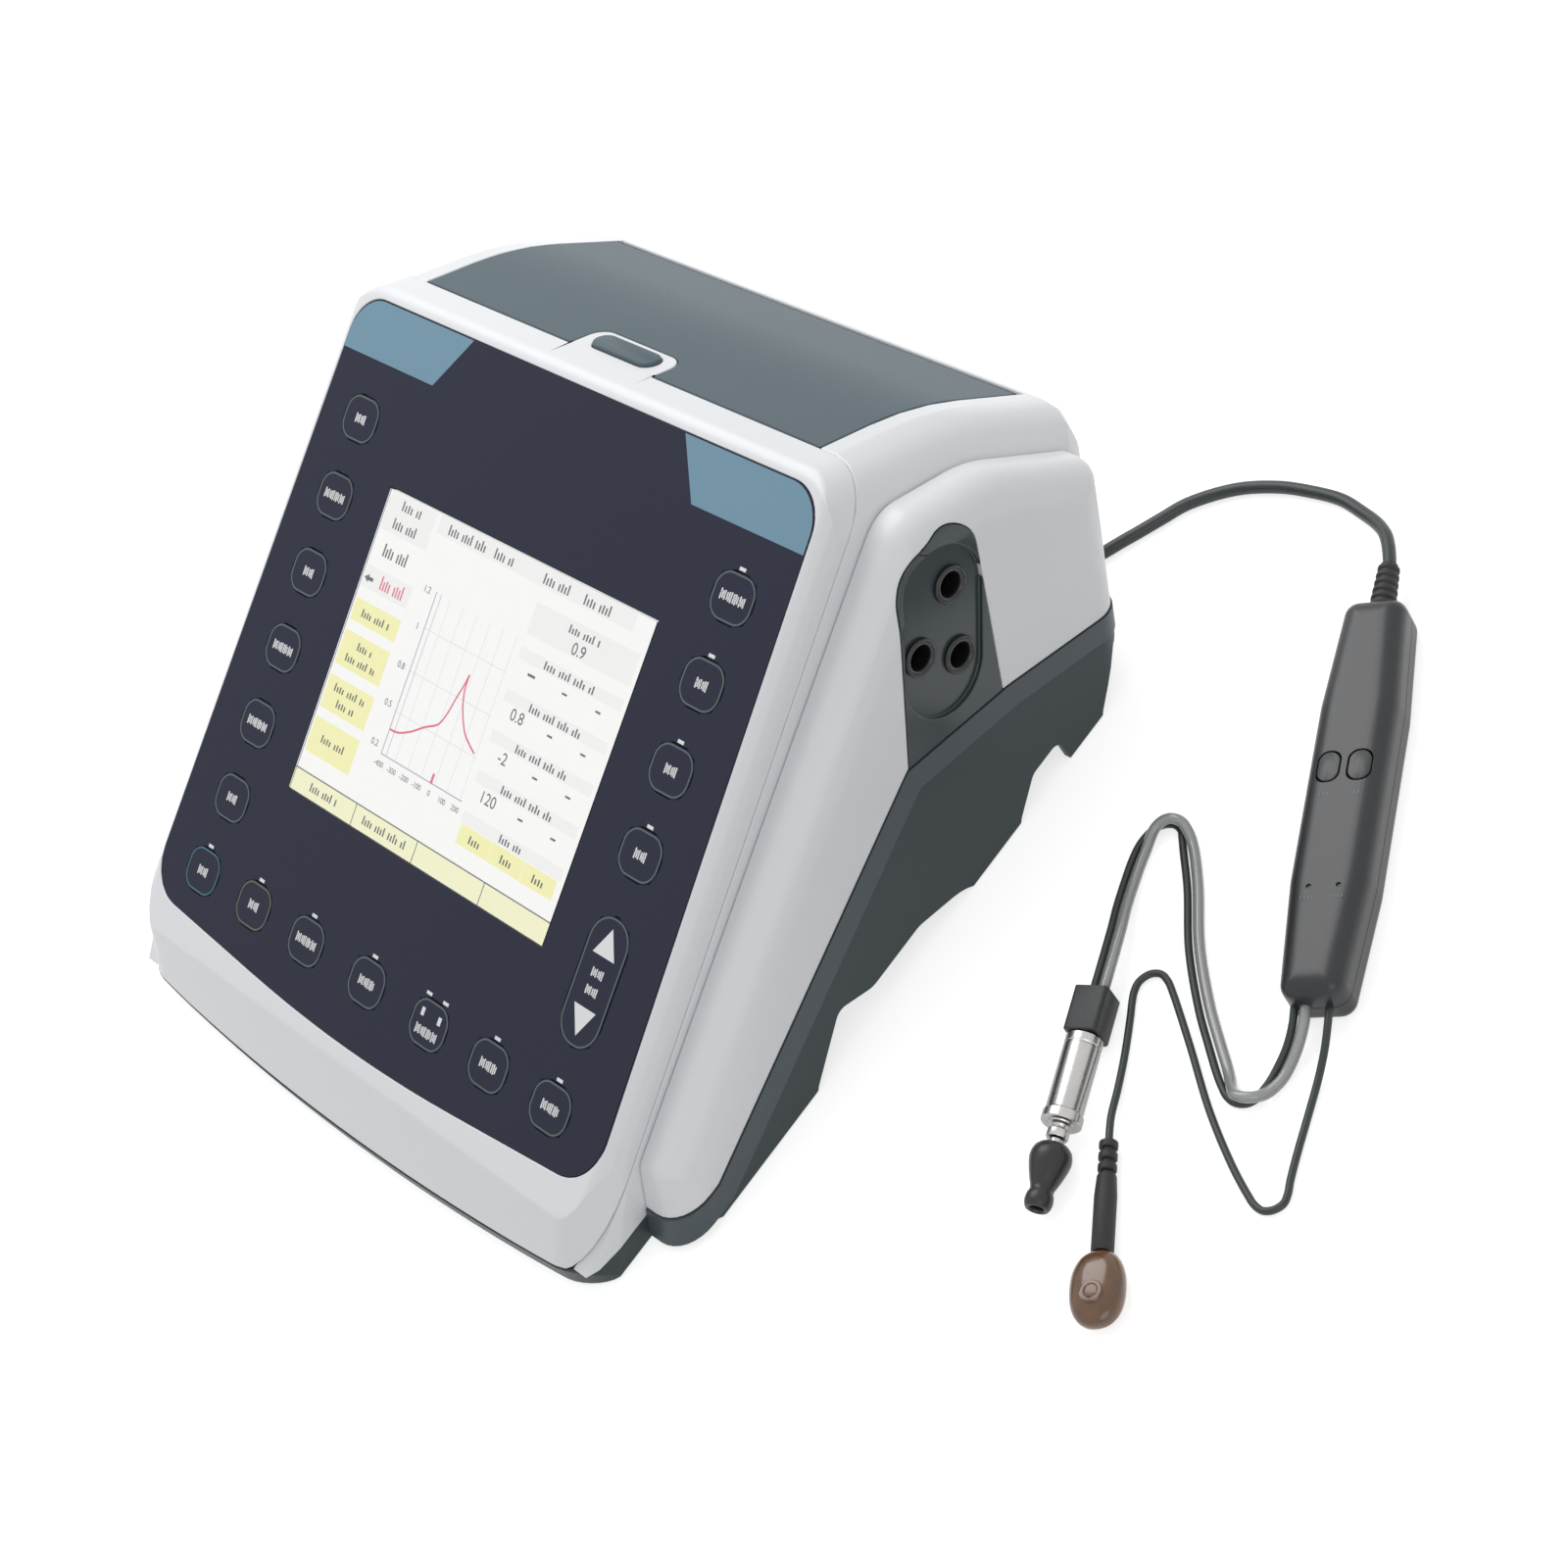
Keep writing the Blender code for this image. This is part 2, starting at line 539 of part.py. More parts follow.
def keep_under(form, point, normal):
    """Cuts a solid at a plane and closes what lies against the normal."""
    whole = form.verts[:] + form.edges[:] + form.faces[:]
    bmesh.ops.bisect_plane(form, geom=whole, plane_co=point, plane_no=normal, clear_outer=True)
    open_edges = [edge for edge in form.edges if edge.is_boundary]
    if open_edges:
        bmesh.ops.holes_fill(form, edges=open_edges, sides=0)
    return facing_out(form)


def as_object(name, form):
    mesh = bpy.data.meshes.new(name)
    form.to_mesh(mesh)
    form.free()
    made = bpy.data.objects.new(name, mesh)
    bpy.context.collection.objects.link(made)
    return made


def combine(form, others, operation):
    """Joins, cuts or intersects a form with others by the exact solver."""
    base = as_object("work", form)
    for other in others:
        tool = as_object("tool", other)
        step = base.modifiers.new("step", "BOOLEAN")
        step.operation = operation
        step.solver = "EXACT"
        step.object = tool
        evaluated = base.evaluated_get(bpy.context.evaluated_depsgraph_get())
        fresh = bpy.data.meshes.new_from_object(evaluated)
        base.modifiers.clear()
        base.data = fresh
        bpy.data.objects.remove(tool)
    made = bmesh.new()
    made.from_mesh(base.data)
    bpy.data.objects.remove(base)
    return made


def cut(form, *tools):
    return combine(form, tools, "DIFFERENCE")


def join(form, *others):
    return combine(form, others, "UNION")


def common(form, *others):
    return combine(form, others, "INTERSECT")


def piece(name, form, material, place=None, pivot=None):
    """One sub-part, drawn in the frame place, with its origin on its joint's axis where it has a pivot."""
    matrix = place if place is not None else Matrix()
    if pivot is not None:
        placed(form, pivot.inverted())
        matrix = matrix @ pivot
    made = as_object(name, form)
    made.data.materials.append(material)
    made.data.shade_smooth()
    made.data.set_sharp_from_angle(angle=math.radians(35.0))
    made.parent = bpy.data.objects["layout"]
    made.matrix_local = matrix


def on_slope(up, out):
    """Y and Z of a point up the panel's slope from the screen's middle and out of its face."""
    c, s = math.cos(PANEL_TILT), math.sin(PANEL_TILT)
    return Vector((up * c - out * s, SCREEN_HEIGHT + up * s + out * c))


def panel_frame():
    """From the panel's own X, up and out to the console's."""
    return Matrix.Translation((0.0, 0.0, SCREEN_HEIGHT)) @ Matrix.Rotation(PANEL_TILT, 4, "X")


def seam_normal():
    return Vector((0.0, -math.sin(PANEL_TILT), math.cos(PANEL_TILT)))


def seam_point(depth):
    y, z = on_slope(0.0, -depth)
    return Vector((0.0, y, z))


def side_profile():
    """The console's side outline, anticlockwise, with each corner's radius and each side's edge rounding."""
    below = -OVERRUN * 2
    foot_y = -FRONT_REACH + FRONT_WALL_RUN
    ridge = on_slope(RIDGE_UP, 0.0)
    middle = ridge + Vector((COVER_FRONT_RUN, -COVER_FRONT_RUN * math.tan(COVER_FRONT_SLOPE)))
    rear_top = Vector((REAR_REACH, middle.y - (REAR_REACH - middle.x) * math.tan(COVER_REAR_SLOPE)))
    rear_wall = rear_top - Vector((0.0, REAR_BAND))
    rear_foot = Vector((REAR_REACH - (rear_wall.y - below) * math.tan(REAR_LEAN), below))
    return [
        (Vector((-FRONT_REACH, below)), LEAST_ROUND, WALL_EDGE_ROUND),
        (rear_foot, LEAST_ROUND, WALL_EDGE_ROUND),
        (rear_wall, REAR_WALL_ROUND, WALL_EDGE_ROUND),
        (rear_top, REAR_TOP_ROUND, TOP_EDGE_ROUND),
        (middle, COVER_ROUND, TOP_EDGE_ROUND),
        (ridge, RIDGE_ROUND, PANEL_EDGE_ROUND),
        (Vector((foot_y, SCREEN_HEIGHT + foot_y * math.tan(PANEL_TILT))), PANEL_FOOT_ROUND, WALL_EDGE_ROUND),
        (Vector((-FRONT_REACH, STRIP_HEIGHT)), STRIP_ROUND, WALL_EDGE_ROUND),
    ]


def edge_drop(radius, reach):
    """How far a rounded edge has dropped where it is this far past its start."""
    return radius - math.sqrt(max(0.0, radius**2 - max(0.0, reach) ** 2))


def narrowing(y):
    """The console gets narrower towards its back."""
    return 1.0 - TAPER_SHARE * (y + FRONT_REACH) / (REAR_REACH + FRONT_REACH)


def tapered(form):
    for vert in form.verts:
        vert.co.x *= narrowing(vert.co.y)
    return form


def lofted(profile, skin, places, half_width, arc_steps):
    """Sections of a side outline at places across X, joined into one solid with rounded side edges."""
    form = bmesh.new()
    rings = []
    for x in places:
        shifts = [skin + edge_drop(edge, abs(x) - (half_width - edge)) for _, _, edge in profile]
        corners = moved_in([corner for corner, _, _ in profile], shifts)
        pairs = zip(profile, shifts[-1:] + shifts[:-1], shifts)
        radii = [max(radius - max(before, after), LEAST_ROUND) for (_, radius, _), before, after in pairs]
        points = rounded(corners, radii, arc_steps)
        ring = [form.verts.new((x, y, z)) for y, z in points]
        rings.append([form.edges.new((ring[i - 1], ring[i])) for i in range(len(ring))])
    bmesh.ops.contextual_create(form, geom=rings[0])
    bmesh.ops.contextual_create(form, geom=rings[-1])
    for first, second in zip(rings, rings[1:]):
        bmesh.ops.bridge_loops(form, edges=first + second)
    return facing_out(form)


def body(skin=0.0, steps=BODY_STEPS):
    """The console's whole outer form, or with a skin its form that much further in."""
    half = BODY_HALF_WIDTH - skin
    largest = TOP_EDGE_ROUND
    side = [half - largest + largest * math.sin(math.pi / 2 * k / steps) for k in range(steps + 1)]
    places = [-x for x in reversed(side)] + side
    return tapered(lofted(side_profile(), skin, places, half, 3))


def pod_profile():
    """A side pod's outline, anticlockwise."""
    below = -OVERRUN * 2
    rear_foot = Vector((POD_REAR_REACH - POD_REAR_RUN, below))
    front_top = Vector((-POD_FRONT_REACH + POD_FRONT_LEAN_RUN, POD_FRONT_HEIGHT))
    return [
        (Vector((-POD_FRONT_REACH, below)), LEAST_ROUND, POD_EDGE_ROUND),
        (rear_foot, LEAST_ROUND, POD_EDGE_ROUND),
        (Vector((POD_REAR_REACH, POD_REAR_HEIGHT)), POD_REAR_ROUND, POD_EDGE_ROUND),
        (Vector((POD_SHOULDER_REACH, POD_SHOULDER_HEIGHT)), POD_SHOULDER_ROUND, POD_EDGE_ROUND),
        (Vector((POD_PEAK_REACH, POD_PEAK_HEIGHT)), POD_PEAK_ROUND, POD_EDGE_ROUND),
        (front_top, POD_FRONT_ROUND, POD_EDGE_ROUND),
    ]


def pod(side, skin=0.0, inner=GAP):
    """A side pod's solid, from just outside the body to the pod's rounded outer edge."""
    half = POD_HALF_WIDTH - skin
    start = BODY_HALF_WIDTH + inner
    arc = [
        half - POD_EDGE_ROUND + POD_EDGE_ROUND * math.sin(math.pi / 2 * k / POD_STEPS)
        for k in range(POD_STEPS + 1)
    ]
    places = [side * x for x in [start] + arc]
    return tapered(lofted(pod_profile(), skin, places, half, 3))


def under_split(side, rise=0.0):
    """Everything below the line where the white pod meets the dark skirt."""
    far = REAR_REACH * 2
    deep = -OVERRUN * 4
    line = [
        (-far, SPLIT_FRONT_HEIGHT),
        (-SPLIT_FRONT_REACH, SPLIT_FRONT_HEIGHT),
        (SPLIT_PEAK_REACH, SPLIT_PEAK_HEIGHT),
        (SPLIT_REAR_REACH, SPLIT_REAR_HEIGHT),
        (SPLIT_END_REACH, SPLIT_END_HEIGHT),
        (far, SPLIT_END_HEIGHT),
    ]
    outline = [(-far, deep)] + [(far, deep)] + [(y, z + rise) for y, z in reversed(line)]
    inner, outer = BODY_HALF_WIDTH / 2, POD_HALF_WIDTH + OVERRUN
    return prism([Vector(p) for p in outline], min(side * inner, side * outer), max(side * inner, side * outer))


def grown(corners, distance):
    """An anticlockwise outline's corners moved outwards."""
    return moved_in(corners, [-distance] * len(corners))


def across_box(low, high):
    """A box in the panel's own X, up and out."""
    return placed(box(low, high), panel_frame())


def panel_prism(growth, low, high):
    """The key panel's outline pushed through, in the console's frame."""
    corners = [
        Vector((-PANEL_HALF_BOTTOM, -PANEL_SIDE_BOTTOM)),
        Vector((0.0, -PANEL_BOTTOM)),
        Vector((PANEL_HALF_BOTTOM, -PANEL_SIDE_BOTTOM)),
        Vector((PANEL_HALF_TOP, PANEL_TOP)),
        Vector((-PANEL_HALF_TOP, PANEL_TOP)),
    ]
    radii = [PANEL_BOTTOM_ROUND, PANEL_BOW_ROUND, PANEL_BOTTOM_ROUND, PANEL_TOP_ROUND, PANEL_TOP_ROUND]
    outline = rounded(grown(corners, growth), [radius + growth for radius in radii], 5)
    return placed(prism(outline, low, high, "Z"), panel_frame())


def cover_edge():
    """Y and Z of the cover's front edge, where the seam comes out at the top."""
    up = RIDGE_UP + SEAM_DEPTH / math.tan(PANEL_TILT + COVER_FRONT_SLOPE)
    return on_slope(up, -SEAM_DEPTH)


def button_frame():
    """On the cover's front slope, over the release button's middle, with Z out of the surface."""
    y, z = cover_edge() + Vector((math.cos(COVER_FRONT_SLOPE), -math.sin(COVER_FRONT_SLOPE))) * BUTTON_BACK
    return Matrix.Translation((0.0, y, z)) @ Matrix.Rotation(-COVER_FRONT_SLOPE, 4, "X")


def tab_prism(growth, low, high):
    x, front, back = TAB_HALF_WIDTH, -BUTTON_BACK - TAB_FRONT, TAB_DEPTH - BUTTON_BACK
    corners = [Vector(p) for p in ((-x, front), (x, front), (x, back), (-x, back))]
    radii = [LEAST_ROUND, LEAST_ROUND, TAB_ROUND + growth, TAB_ROUND + growth]
    return placed(prism(rounded(grown(corners, growth), radii, 4), low, high, "Z"), button_frame())


def cover_end():
    """Y and Z of the cover's rear edge on its outer surface."""
    middle = side_profile()[4][0]
    return Vector((COVER_REAR, middle.y - (COVER_REAR - middle.x) * math.tan(COVER_REAR_SLOPE)))


def hinge_frame():
    """On the cover's hinge axis, with Y to the rear along the cover and Z out of it."""
    inward = Vector((-math.sin(COVER_REAR_SLOPE), -math.cos(COVER_REAR_SLOPE))) * HINGE_DEPTH
    y, z = cover_end() + inward
    return Matrix.Translation((0.0, y, z)) @ Matrix.Rotation(-COVER_REAR_SLOPE, 4, "X")


def along_x(form):
    """Turns a rod that was made up Z so that it runs along +X."""
    return placed(form, Matrix.Rotation(math.pi / 2, 4, "Y"))


def x_rod(radius, start, end, y, z, sides=16):
    return placed(along_x(rod(radius, end - start, sides)), Matrix.Translation((start, y, z)))


def rear_frame():
    """On the rear wall at the middle of the rear panel, with Y up the wall and Z out of it."""
    wall = side_profile()[2][0]
    y = wall.x - (wall.y - REAR_PANEL_UP) * math.tan(REAR_LEAN)
    turn = Matrix(
        (
            (-1.0, 0.0, 0.0, 0.0),
            (0.0, math.sin(REAR_LEAN), math.cos(REAR_LEAN), 0.0),
            (0.0, math.cos(REAR_LEAN), -math.sin(REAR_LEAN), 0.0),
            (0.0, 0.0, 0.0, 1.0),
        )
    )
    return Matrix.Translation((0.0, y, REAR_PANEL_UP)) @ turn


def boss_places():
    x = BOARD_WIDTH / 2 - BOSS_INSET
    near, far = BOARD_FRONT + BOSS_INSET, BOARD_FRONT + BOARD_DEPTH - BOSS_INSET
    return [(-x, near), (x, near), (-x, far), (x, far)]


def skirt(side):
    """A dark pod skirt: the pod's lower wall, open inside, with its toe, arches and heel."""
    outer = keep_under(pod(side), Vector((0.0, 0.0, TABLE_CLEARANCE)), Vector((0.0, 0.0, -1.0)))
    form = cut(common(outer, under_split(side)), pod(side, POD_WALL, -OVERRUN))
    deep, table = -OVERRUN * 3, TABLE_CLEARANCE
    toe = [(-POD_FRONT_REACH * 2, deep), (-TOE_REACH, deep), (-TOE_REACH, table), (-POD_FRONT_REACH, TOE_RISE),
           (-POD_FRONT_REACH * 2, TOE_RISE)]
    arch = [(ARCH_FRONT, deep), (ARCH_REAR, deep), (ARCH_REAR, table), (ARCH_LOW_END, ARCH_LOW_HEIGHT),
            (ARCH_MIDDLE, ARCH_LOW_HEIGHT), (ARCH_PEAK, ARCH_PEAK_HEIGHT), (ARCH_FRONT, table)]
    notch = [(NOTCH_FRONT, deep), (NOTCH_REAR, deep), (NOTCH_REAR, NOTCH_HEIGHT),
             ((NOTCH_FRONT + NOTCH_REAR) / 2, NOTCH_HEIGHT), (NOTCH_FRONT, table)]
    heel = [(HEEL_REACH, deep), (REAR_REACH, deep), (REAR_REACH, HEEL_RISE),
            (HEEL_REACH + HEEL_RISE_RUN, HEEL_RISE), (HEEL_REACH, table)]
    soft = {2: ARCH_LOW_HEIGHT, 3: ARCH_LOW_HEIGHT, 4: ARCH_LOW_HEIGHT / 2, 5: ARCH_LOW_HEIGHT / 2}
    ends = sorted((side * BODY_HALF_WIDTH / 2, side * (POD_HALF_WIDTH + OVERRUN)))
    arch_radii = [soft.get(i, LEAST_ROUND) for i in range(len(arch))]
    tools = [prism([Vector(p) for p in outline], *ends) for outline in (toe, notch, heel)]
    tools.append(prism(rounded([Vector(p) for p in arch], arch_radii, 3), *ends))
    return cut(form, *tools)


def base_moulding():
    """The dark bottom of the console: a tray with the front strip, joined to both skirts at their feet."""
    tray = keep_under(body(), Vector((0.0, 0.0, STRIP_HEIGHT)), Vector((0.0, 0.0, 1.0)))
    tray = keep_under(tray, Vector((0.0, 0.0, TABLE_CLEARANCE)), Vector((0.0, 0.0, -1.0)))
    inside = keep_under(body(WALL, 3), Vector((0.0, 0.0, FLOOR_TOP)), Vector((0.0, 0.0, -1.0)))
    half = TRAY_HALF_WIDTH - WALL
    for side in (-1.0, 1.0):
        inside = keep_under(inside, Vector((side * half, 0.0, 0.0)), Vector((side, 0.0, 0.0)))
    rim = WALL * 3
    rear_foot = side_profile()[1][0].x
    reach = half - rim / 2
    under = box((-reach, -FRONT_REACH + rim, -OVERRUN), (reach, rear_foot - rim / 2, FLOOR_BOTTOM))
    strip_back = -FRONT_REACH + TRAY_STRIP_DEPTH
    sides = [
        box(
            (min(side * TRAY_HALF_WIDTH, side * POD_HALF_WIDTH * 2), strip_back, -OVERRUN),
            (max(side * TRAY_HALF_WIDTH, side * POD_HALF_WIDTH * 2), REAR_REACH * 2, STRIP_HEIGHT + OVERRUN),
        )
        for side in (-1.0, 1.0)
    ]
    form = cut(tray, inside, under, *sides)
    feet = [
        (-TOE_REACH + FLANGE_WIDTH / 2, ARCH_FRONT - FLANGE_WIDTH / 2),
        (ARCH_REAR + GAP, NOTCH_FRONT - GAP),
        (NOTCH_REAR + GAP, HEEL_REACH - GAP),
    ]
    parts = []
    for side in (-1.0, 1.0):
        parts.append(skirt(side))
        for front, back in feet:
            reach = sorted((side * (TRAY_HALF_WIDTH - WALL / 2), side * (POD_HALF_WIDTH - POD_WALL / 2)))
            low = (reach[0], front, TABLE_CLEARANCE + GAP)
            high = (reach[1], back, FLANGE_TOP)
            parts.append(tapered(box(low, high)))
    bosses = [
        placed(rod(BOSS_RADIUS, BOSS_HEIGHT + GAP, 12), Matrix.Translation((x, y, FLOOR_TOP - GAP)))
        for x, y in boss_places()
    ]
    pegs = [
        placed(rod(PEG_RADIUS, PEG_TOP - FLOOR_TOP, 10), Matrix.Translation((x, y, FLOOR_TOP)))
        for x, y in boss_places()
    ]
    return join(form, *bosses, *pegs, *parts)


def bezel():
    """The white frame round the key panel, with the front wall and the release button's tab."""
    form = keep_under(body(), Vector((0.0, 0.0, STRIP_HEIGHT + GAP)), Vector((0.0, 0.0, -1.0)))
    form = keep_under(form, seam_point(SEAM_DEPTH), -seam_normal())
    tab = common(body(), tab_prism(0.0, -WALL * 2, OVERRUN))
    shelf = PANEL_THICKNESS + GAP + SHELF_THICKNESS
    pocket = keep_under(body(WALL, 3), seam_point(shelf), seam_normal())
    recess = panel_prism(GAP, -PANEL_THICKNESS - GAP, OVERRUN)
    margin = MODULE_FACE_MARGIN + GAP
    x, up = SCREEN_WIDTH / 2 + margin, SCREEN_LENGTH / 2 + margin
    opening = across_box((-x, -up, -OVERRUN * 2), (x, up, OVERRUN))
    wide, deep = BUTTON_WIDTH + 2 * RUNNING_GAP, BUTTON_DEPTH + 2 * RUNNING_GAP
    hole = prism(rounded_box_outline(wide, deep, deep / 2 - LEAST_ROUND, 4), -OVERRUN, OVERRUN, "Z")
    return cut(join(form, tab), pocket, recess, opening, placed(hole, button_frame()))


def upper_shell():
    """The white shell behind the bezel, open at its seam, below, over the printer and at the rear panel."""
    form = keep_under(body(), seam_point(SEAM_DEPTH + GAP), seam_normal())
    form = keep_under(form, Vector((0.0, 0.0, STRIP_HEIGHT + GAP)), Vector((0.0, 0.0, -1.0)))
    along = Vector((0.0, math.cos(COVER_REAR_SLOPE), -math.sin(COVER_REAR_SLOPE)))
    end = Vector((0.0, *cover_end()))
    half = COVER_HALF_WIDTH + COVER_SIDE_GAP
    opening = box((-half, 0.0, end.z - OVERRUN * 2), (half, REAR_REACH * 2, REAR_REACH * 2))
    opening = keep_under(opening, end + along * HINGE_END_GAP, along)
    x, up = REAR_PANEL_WIDTH / 2 + GAP, REAR_PANEL_HEIGHT / 2 + GAP
    rear = placed(box((-x, -up, -OVERRUN * 2), (x, up, OVERRUN)), rear_frame())
    form = cut(form, body(WALL, 3), opening, rear)
    blocks, holes = [], []
    for side in (-1.0, 1.0):
        reach = sorted((side * half, side * (half + HINGE_BLOCK_WIDTH)))
        low = (reach[0], -HINGE_BLOCK_SIZE / 2, -HINGE_BLOCK_SIZE / 2)
        high = (reach[1], HINGE_BLOCK_SIZE / 4, HINGE_DEPTH - WALL / 2)
        blocks.append(placed(box(low, high), hinge_frame()))
        ends = sorted((side * (half - OVERRUN), side * (half + HINGE_BLOCK_WIDTH - WALL / 2)))
        holes.append(placed(x_rod(PIN_RADIUS + PIN_CLEARANCE, *ends, 0.0, 0.0, 12), hinge_frame()))
    return cut(join(form, *blocks), *holes)


def cover():
    """The slate printer cover with its hinge barrels and the platen's two ears."""
    form = keep_under(body(), seam_point(SEAM_DEPTH + GAP), seam_normal())
    for side in (-1.0, 1.0):
        form = keep_under(form, Vector((side * COVER_HALF_WIDTH, 0.0, 0.0)), Vector((side, 0.0, 0.0)))
    along = Vector((0.0, math.cos(COVER_REAR_SLOPE), -math.sin(COVER_REAR_SLOPE)))
    end = Vector((0.0, *cover_end()))
    form = keep_under(form, end, along)
    form = keep_under(form, end - Vector((0.0, 0.0, OVERRUN)), Vector((0.0, 0.0, -1.0)))
    back = Vector((0.0, math.cos(COVER_FRONT_SLOPE), -math.sin(COVER_FRONT_SLOPE)))
    form = keep_under(form, Vector((0.0, *cover_edge())) + back * GAP, -back)
    form = cut(form, body(COVER_THICKNESS, 3), tab_prism(GAP, -OVERRUN, OVERRUN))
    reach = COVER_HALF_WIDTH + OVERRUN
    parts, holes = [], [placed(x_rod(PIN_RADIUS + PIN_CLEARANCE, -reach, reach, 0.0, 0.0, 12), hinge_frame())]
    py, pz = platen_place()
    for side in (-1.0, 1.0):
        start, stop = sorted((side * (COVER_HALF_WIDTH - GAP), side * (COVER_HALF_WIDTH - BARREL_WIDTH)))
        parts.append(placed(x_rod(BARREL_RADIUS, start, stop, 0.0, 0.0, 12), hinge_frame()))
        start, stop = sorted((side * EAR_INNER, side * (EAR_INNER + EAR_THICKNESS)))
        back = PLATEN_BACK - BUTTON_BACK
        ear = box(
            (start, back - EAR_LENGTH / 2, -PLATEN_DROP - EAR_LENGTH / 2),
            (stop, back + EAR_LENGTH / 2, -COVER_THICKNESS / 2),
        )
        parts.append(placed(ear, button_frame()))
        holes.append(x_rod(PLATEN_SHAFT + PIN_CLEARANCE, start - OVERRUN / 2, stop + OVERRUN / 2, py, pz, 12))
    return cut(join(form, *parts), *holes)


def platen_place():
    """Y and Z of the platen roller's axis under the cover's front edge."""
    here = button_frame() @ Vector((0.0, PLATEN_BACK - BUTTON_BACK, -PLATEN_DROP))
    return here.y, here.z


def printer_frame():
    """Two cheeks on the base, the deck between them, the print head's bar and the roll's stub axles."""
    foot = FLOOR_TOP + GAP
    py, pz = platen_place()
    bar_top = pz + PLATEN_SHAFT
    bar_back = py - PLATEN_RADIUS - HEAD_GAP
    outline = [
        (CHEEK_FRONT, foot), (CHEEK_FOOT_REAR, foot), (CHEEK_REAR, DECK_HEIGHT), (CHEEK_REAR, ROLL_AT[1]),
        (ROLL_AT[0], CHEEK_TOP - STUB_RADIUS), (bar_back, CHEEK_TOP),
        (CHEEK_FRONT, CHEEK_TOP),
    ]
    parts = []
    for side in (-1.0, 1.0):
        ends = sorted((side * CHEEK_INNER, side * (CHEEK_INNER + CHEEK_THICKNESS)))
        parts.append(prism([Vector(p) for p in outline], *ends))
        ends = sorted((side * (ROLL_HALF_WIDTH - STUB_LENGTH), side * (CHEEK_INNER + CHEEK_THICKNESS / 2)))
        parts.append(x_rod(STUB_RADIUS, *ends, *ROLL_AT))
    reach = CHEEK_INNER + CHEEK_THICKNESS / 2
    deck = box((-reach, CHEEK_FRONT + GAP, DECK_HEIGHT), (reach, DECK_REAR, DECK_HEIGHT + DECK_THICKNESS))
    bar = box((-reach, bar_back - HEAD_BAR_DEPTH, bar_top - HEAD_BAR_HEIGHT), (reach, bar_back, bar_top))
    return join(deck, bar, *parts)


def paper_roll():
    outline = [(ROLL_BORE, -ROLL_HALF_WIDTH), (ROLL_RADIUS, -ROLL_HALF_WIDTH), (ROLL_RADIUS, ROLL_HALF_WIDTH),
               (ROLL_BORE, ROLL_HALF_WIDTH)]
    return placed(along_x(turned(outline, 32, ring=True)), Matrix.Translation((0.0, *ROLL_AT)))


def platen_roller():
    py, pz = platen_place()
    shaft = EAR_INNER + EAR_THICKNESS
    return join(
        x_rod(PLATEN_RADIUS, -PLATEN_HALF_WIDTH, PLATEN_HALF_WIDTH, py, pz, 16),
        x_rod(PLATEN_SHAFT, -shaft, shaft, py, pz, 12),
    )


def release_button():
    """The oval button in its tab, with the flange that keeps it in."""
    wide, deep = BUTTON_WIDTH, BUTTON_DEPTH
    flange = -WALL - GAP
    cap = prism(rounded_box_outline(wide, deep, deep / 2 - LEAST_ROUND, 4), flange, BUTTON_PROUD, "Z")
    wide, deep = wide + 2 * BUTTON_FLANGE_MARGIN, deep + 2 * BUTTON_FLANGE_MARGIN
    outline = rounded_box_outline(wide, deep, deep / 2 - LEAST_ROUND, 4)
    foot = prism(outline, flange - BUTTON_FLANGE, flange, "Z")
    return placed(join(cap, placed(foot, Matrix.Translation((0.0, 0.0, LEAST_ROUND / 50)))), button_frame())


def hinge_rod():
    """The steel rod right across, through both barrels and into both blocks."""
    reach = COVER_HALF_WIDTH + COVER_SIDE_GAP + HINGE_BLOCK_WIDTH - WALL / 2 - GAP
    return placed(x_rod(PIN_RADIUS, -reach, reach, 0.0, 0.0, 12), hinge_frame())


def key_places():
    """Each key's name and its place in the panel's X and up."""
    made = {}
    for i in range(SIDE_KEYS_LEFT):
        made[f"key_left_{i + 1}"] = (-KEY_COLUMN, KEY_TOP_ROW - KEY_PITCH * i)
    for i in range(SIDE_KEYS_RIGHT):
        made[f"key_right_{i + 1}"] = (KEY_COLUMN, KEY_TOP_ROW - KEY_PITCH * i)
    for i, share in enumerate(BOTTOM_ROW_SHARES):
        made[f"key_bottom_{i + 1}"] = (share * KEY_COLUMN, BOTTOM_ROW)
    return made


def on_panel(place):
    return panel_frame() @ Matrix.Translation((*place, 0.0))


def key_form(width, height, radius, place, low, high):
    return placed(prism(rounded_box_outline(width, height, radius, 2), low, high, "Z"), on_panel(place))


def key_panel():
    """The navy panel, open for its keys and the screen's window."""
    x, up = SCREEN_WIDTH / 2 + GAP, SCREEN_LENGTH / 2 + GAP
    tools = [across_box((-x, -up, -OVERRUN), (x, up, OVERRUN))]
    play = 2 * RUNNING_GAP
    for place in key_places().values():
        size = KEY_WIDTH + play, KEY_HEIGHT + play, KEY_ROUND + play / 2
        tools.append(key_form(*size, place, -OVERRUN, OVERRUN))
    size = KEY_WIDTH + play, ARROW_KEY_HEIGHT + play, ARROW_KEY_ROUND + play / 2
    tools.append(key_form(*size, (KEY_COLUMN, ARROW_KEY_UP), -OVERRUN, OVERRUN))
    return cut(panel_prism(0.0, -PANEL_THICKNESS, 0.0), *tools)


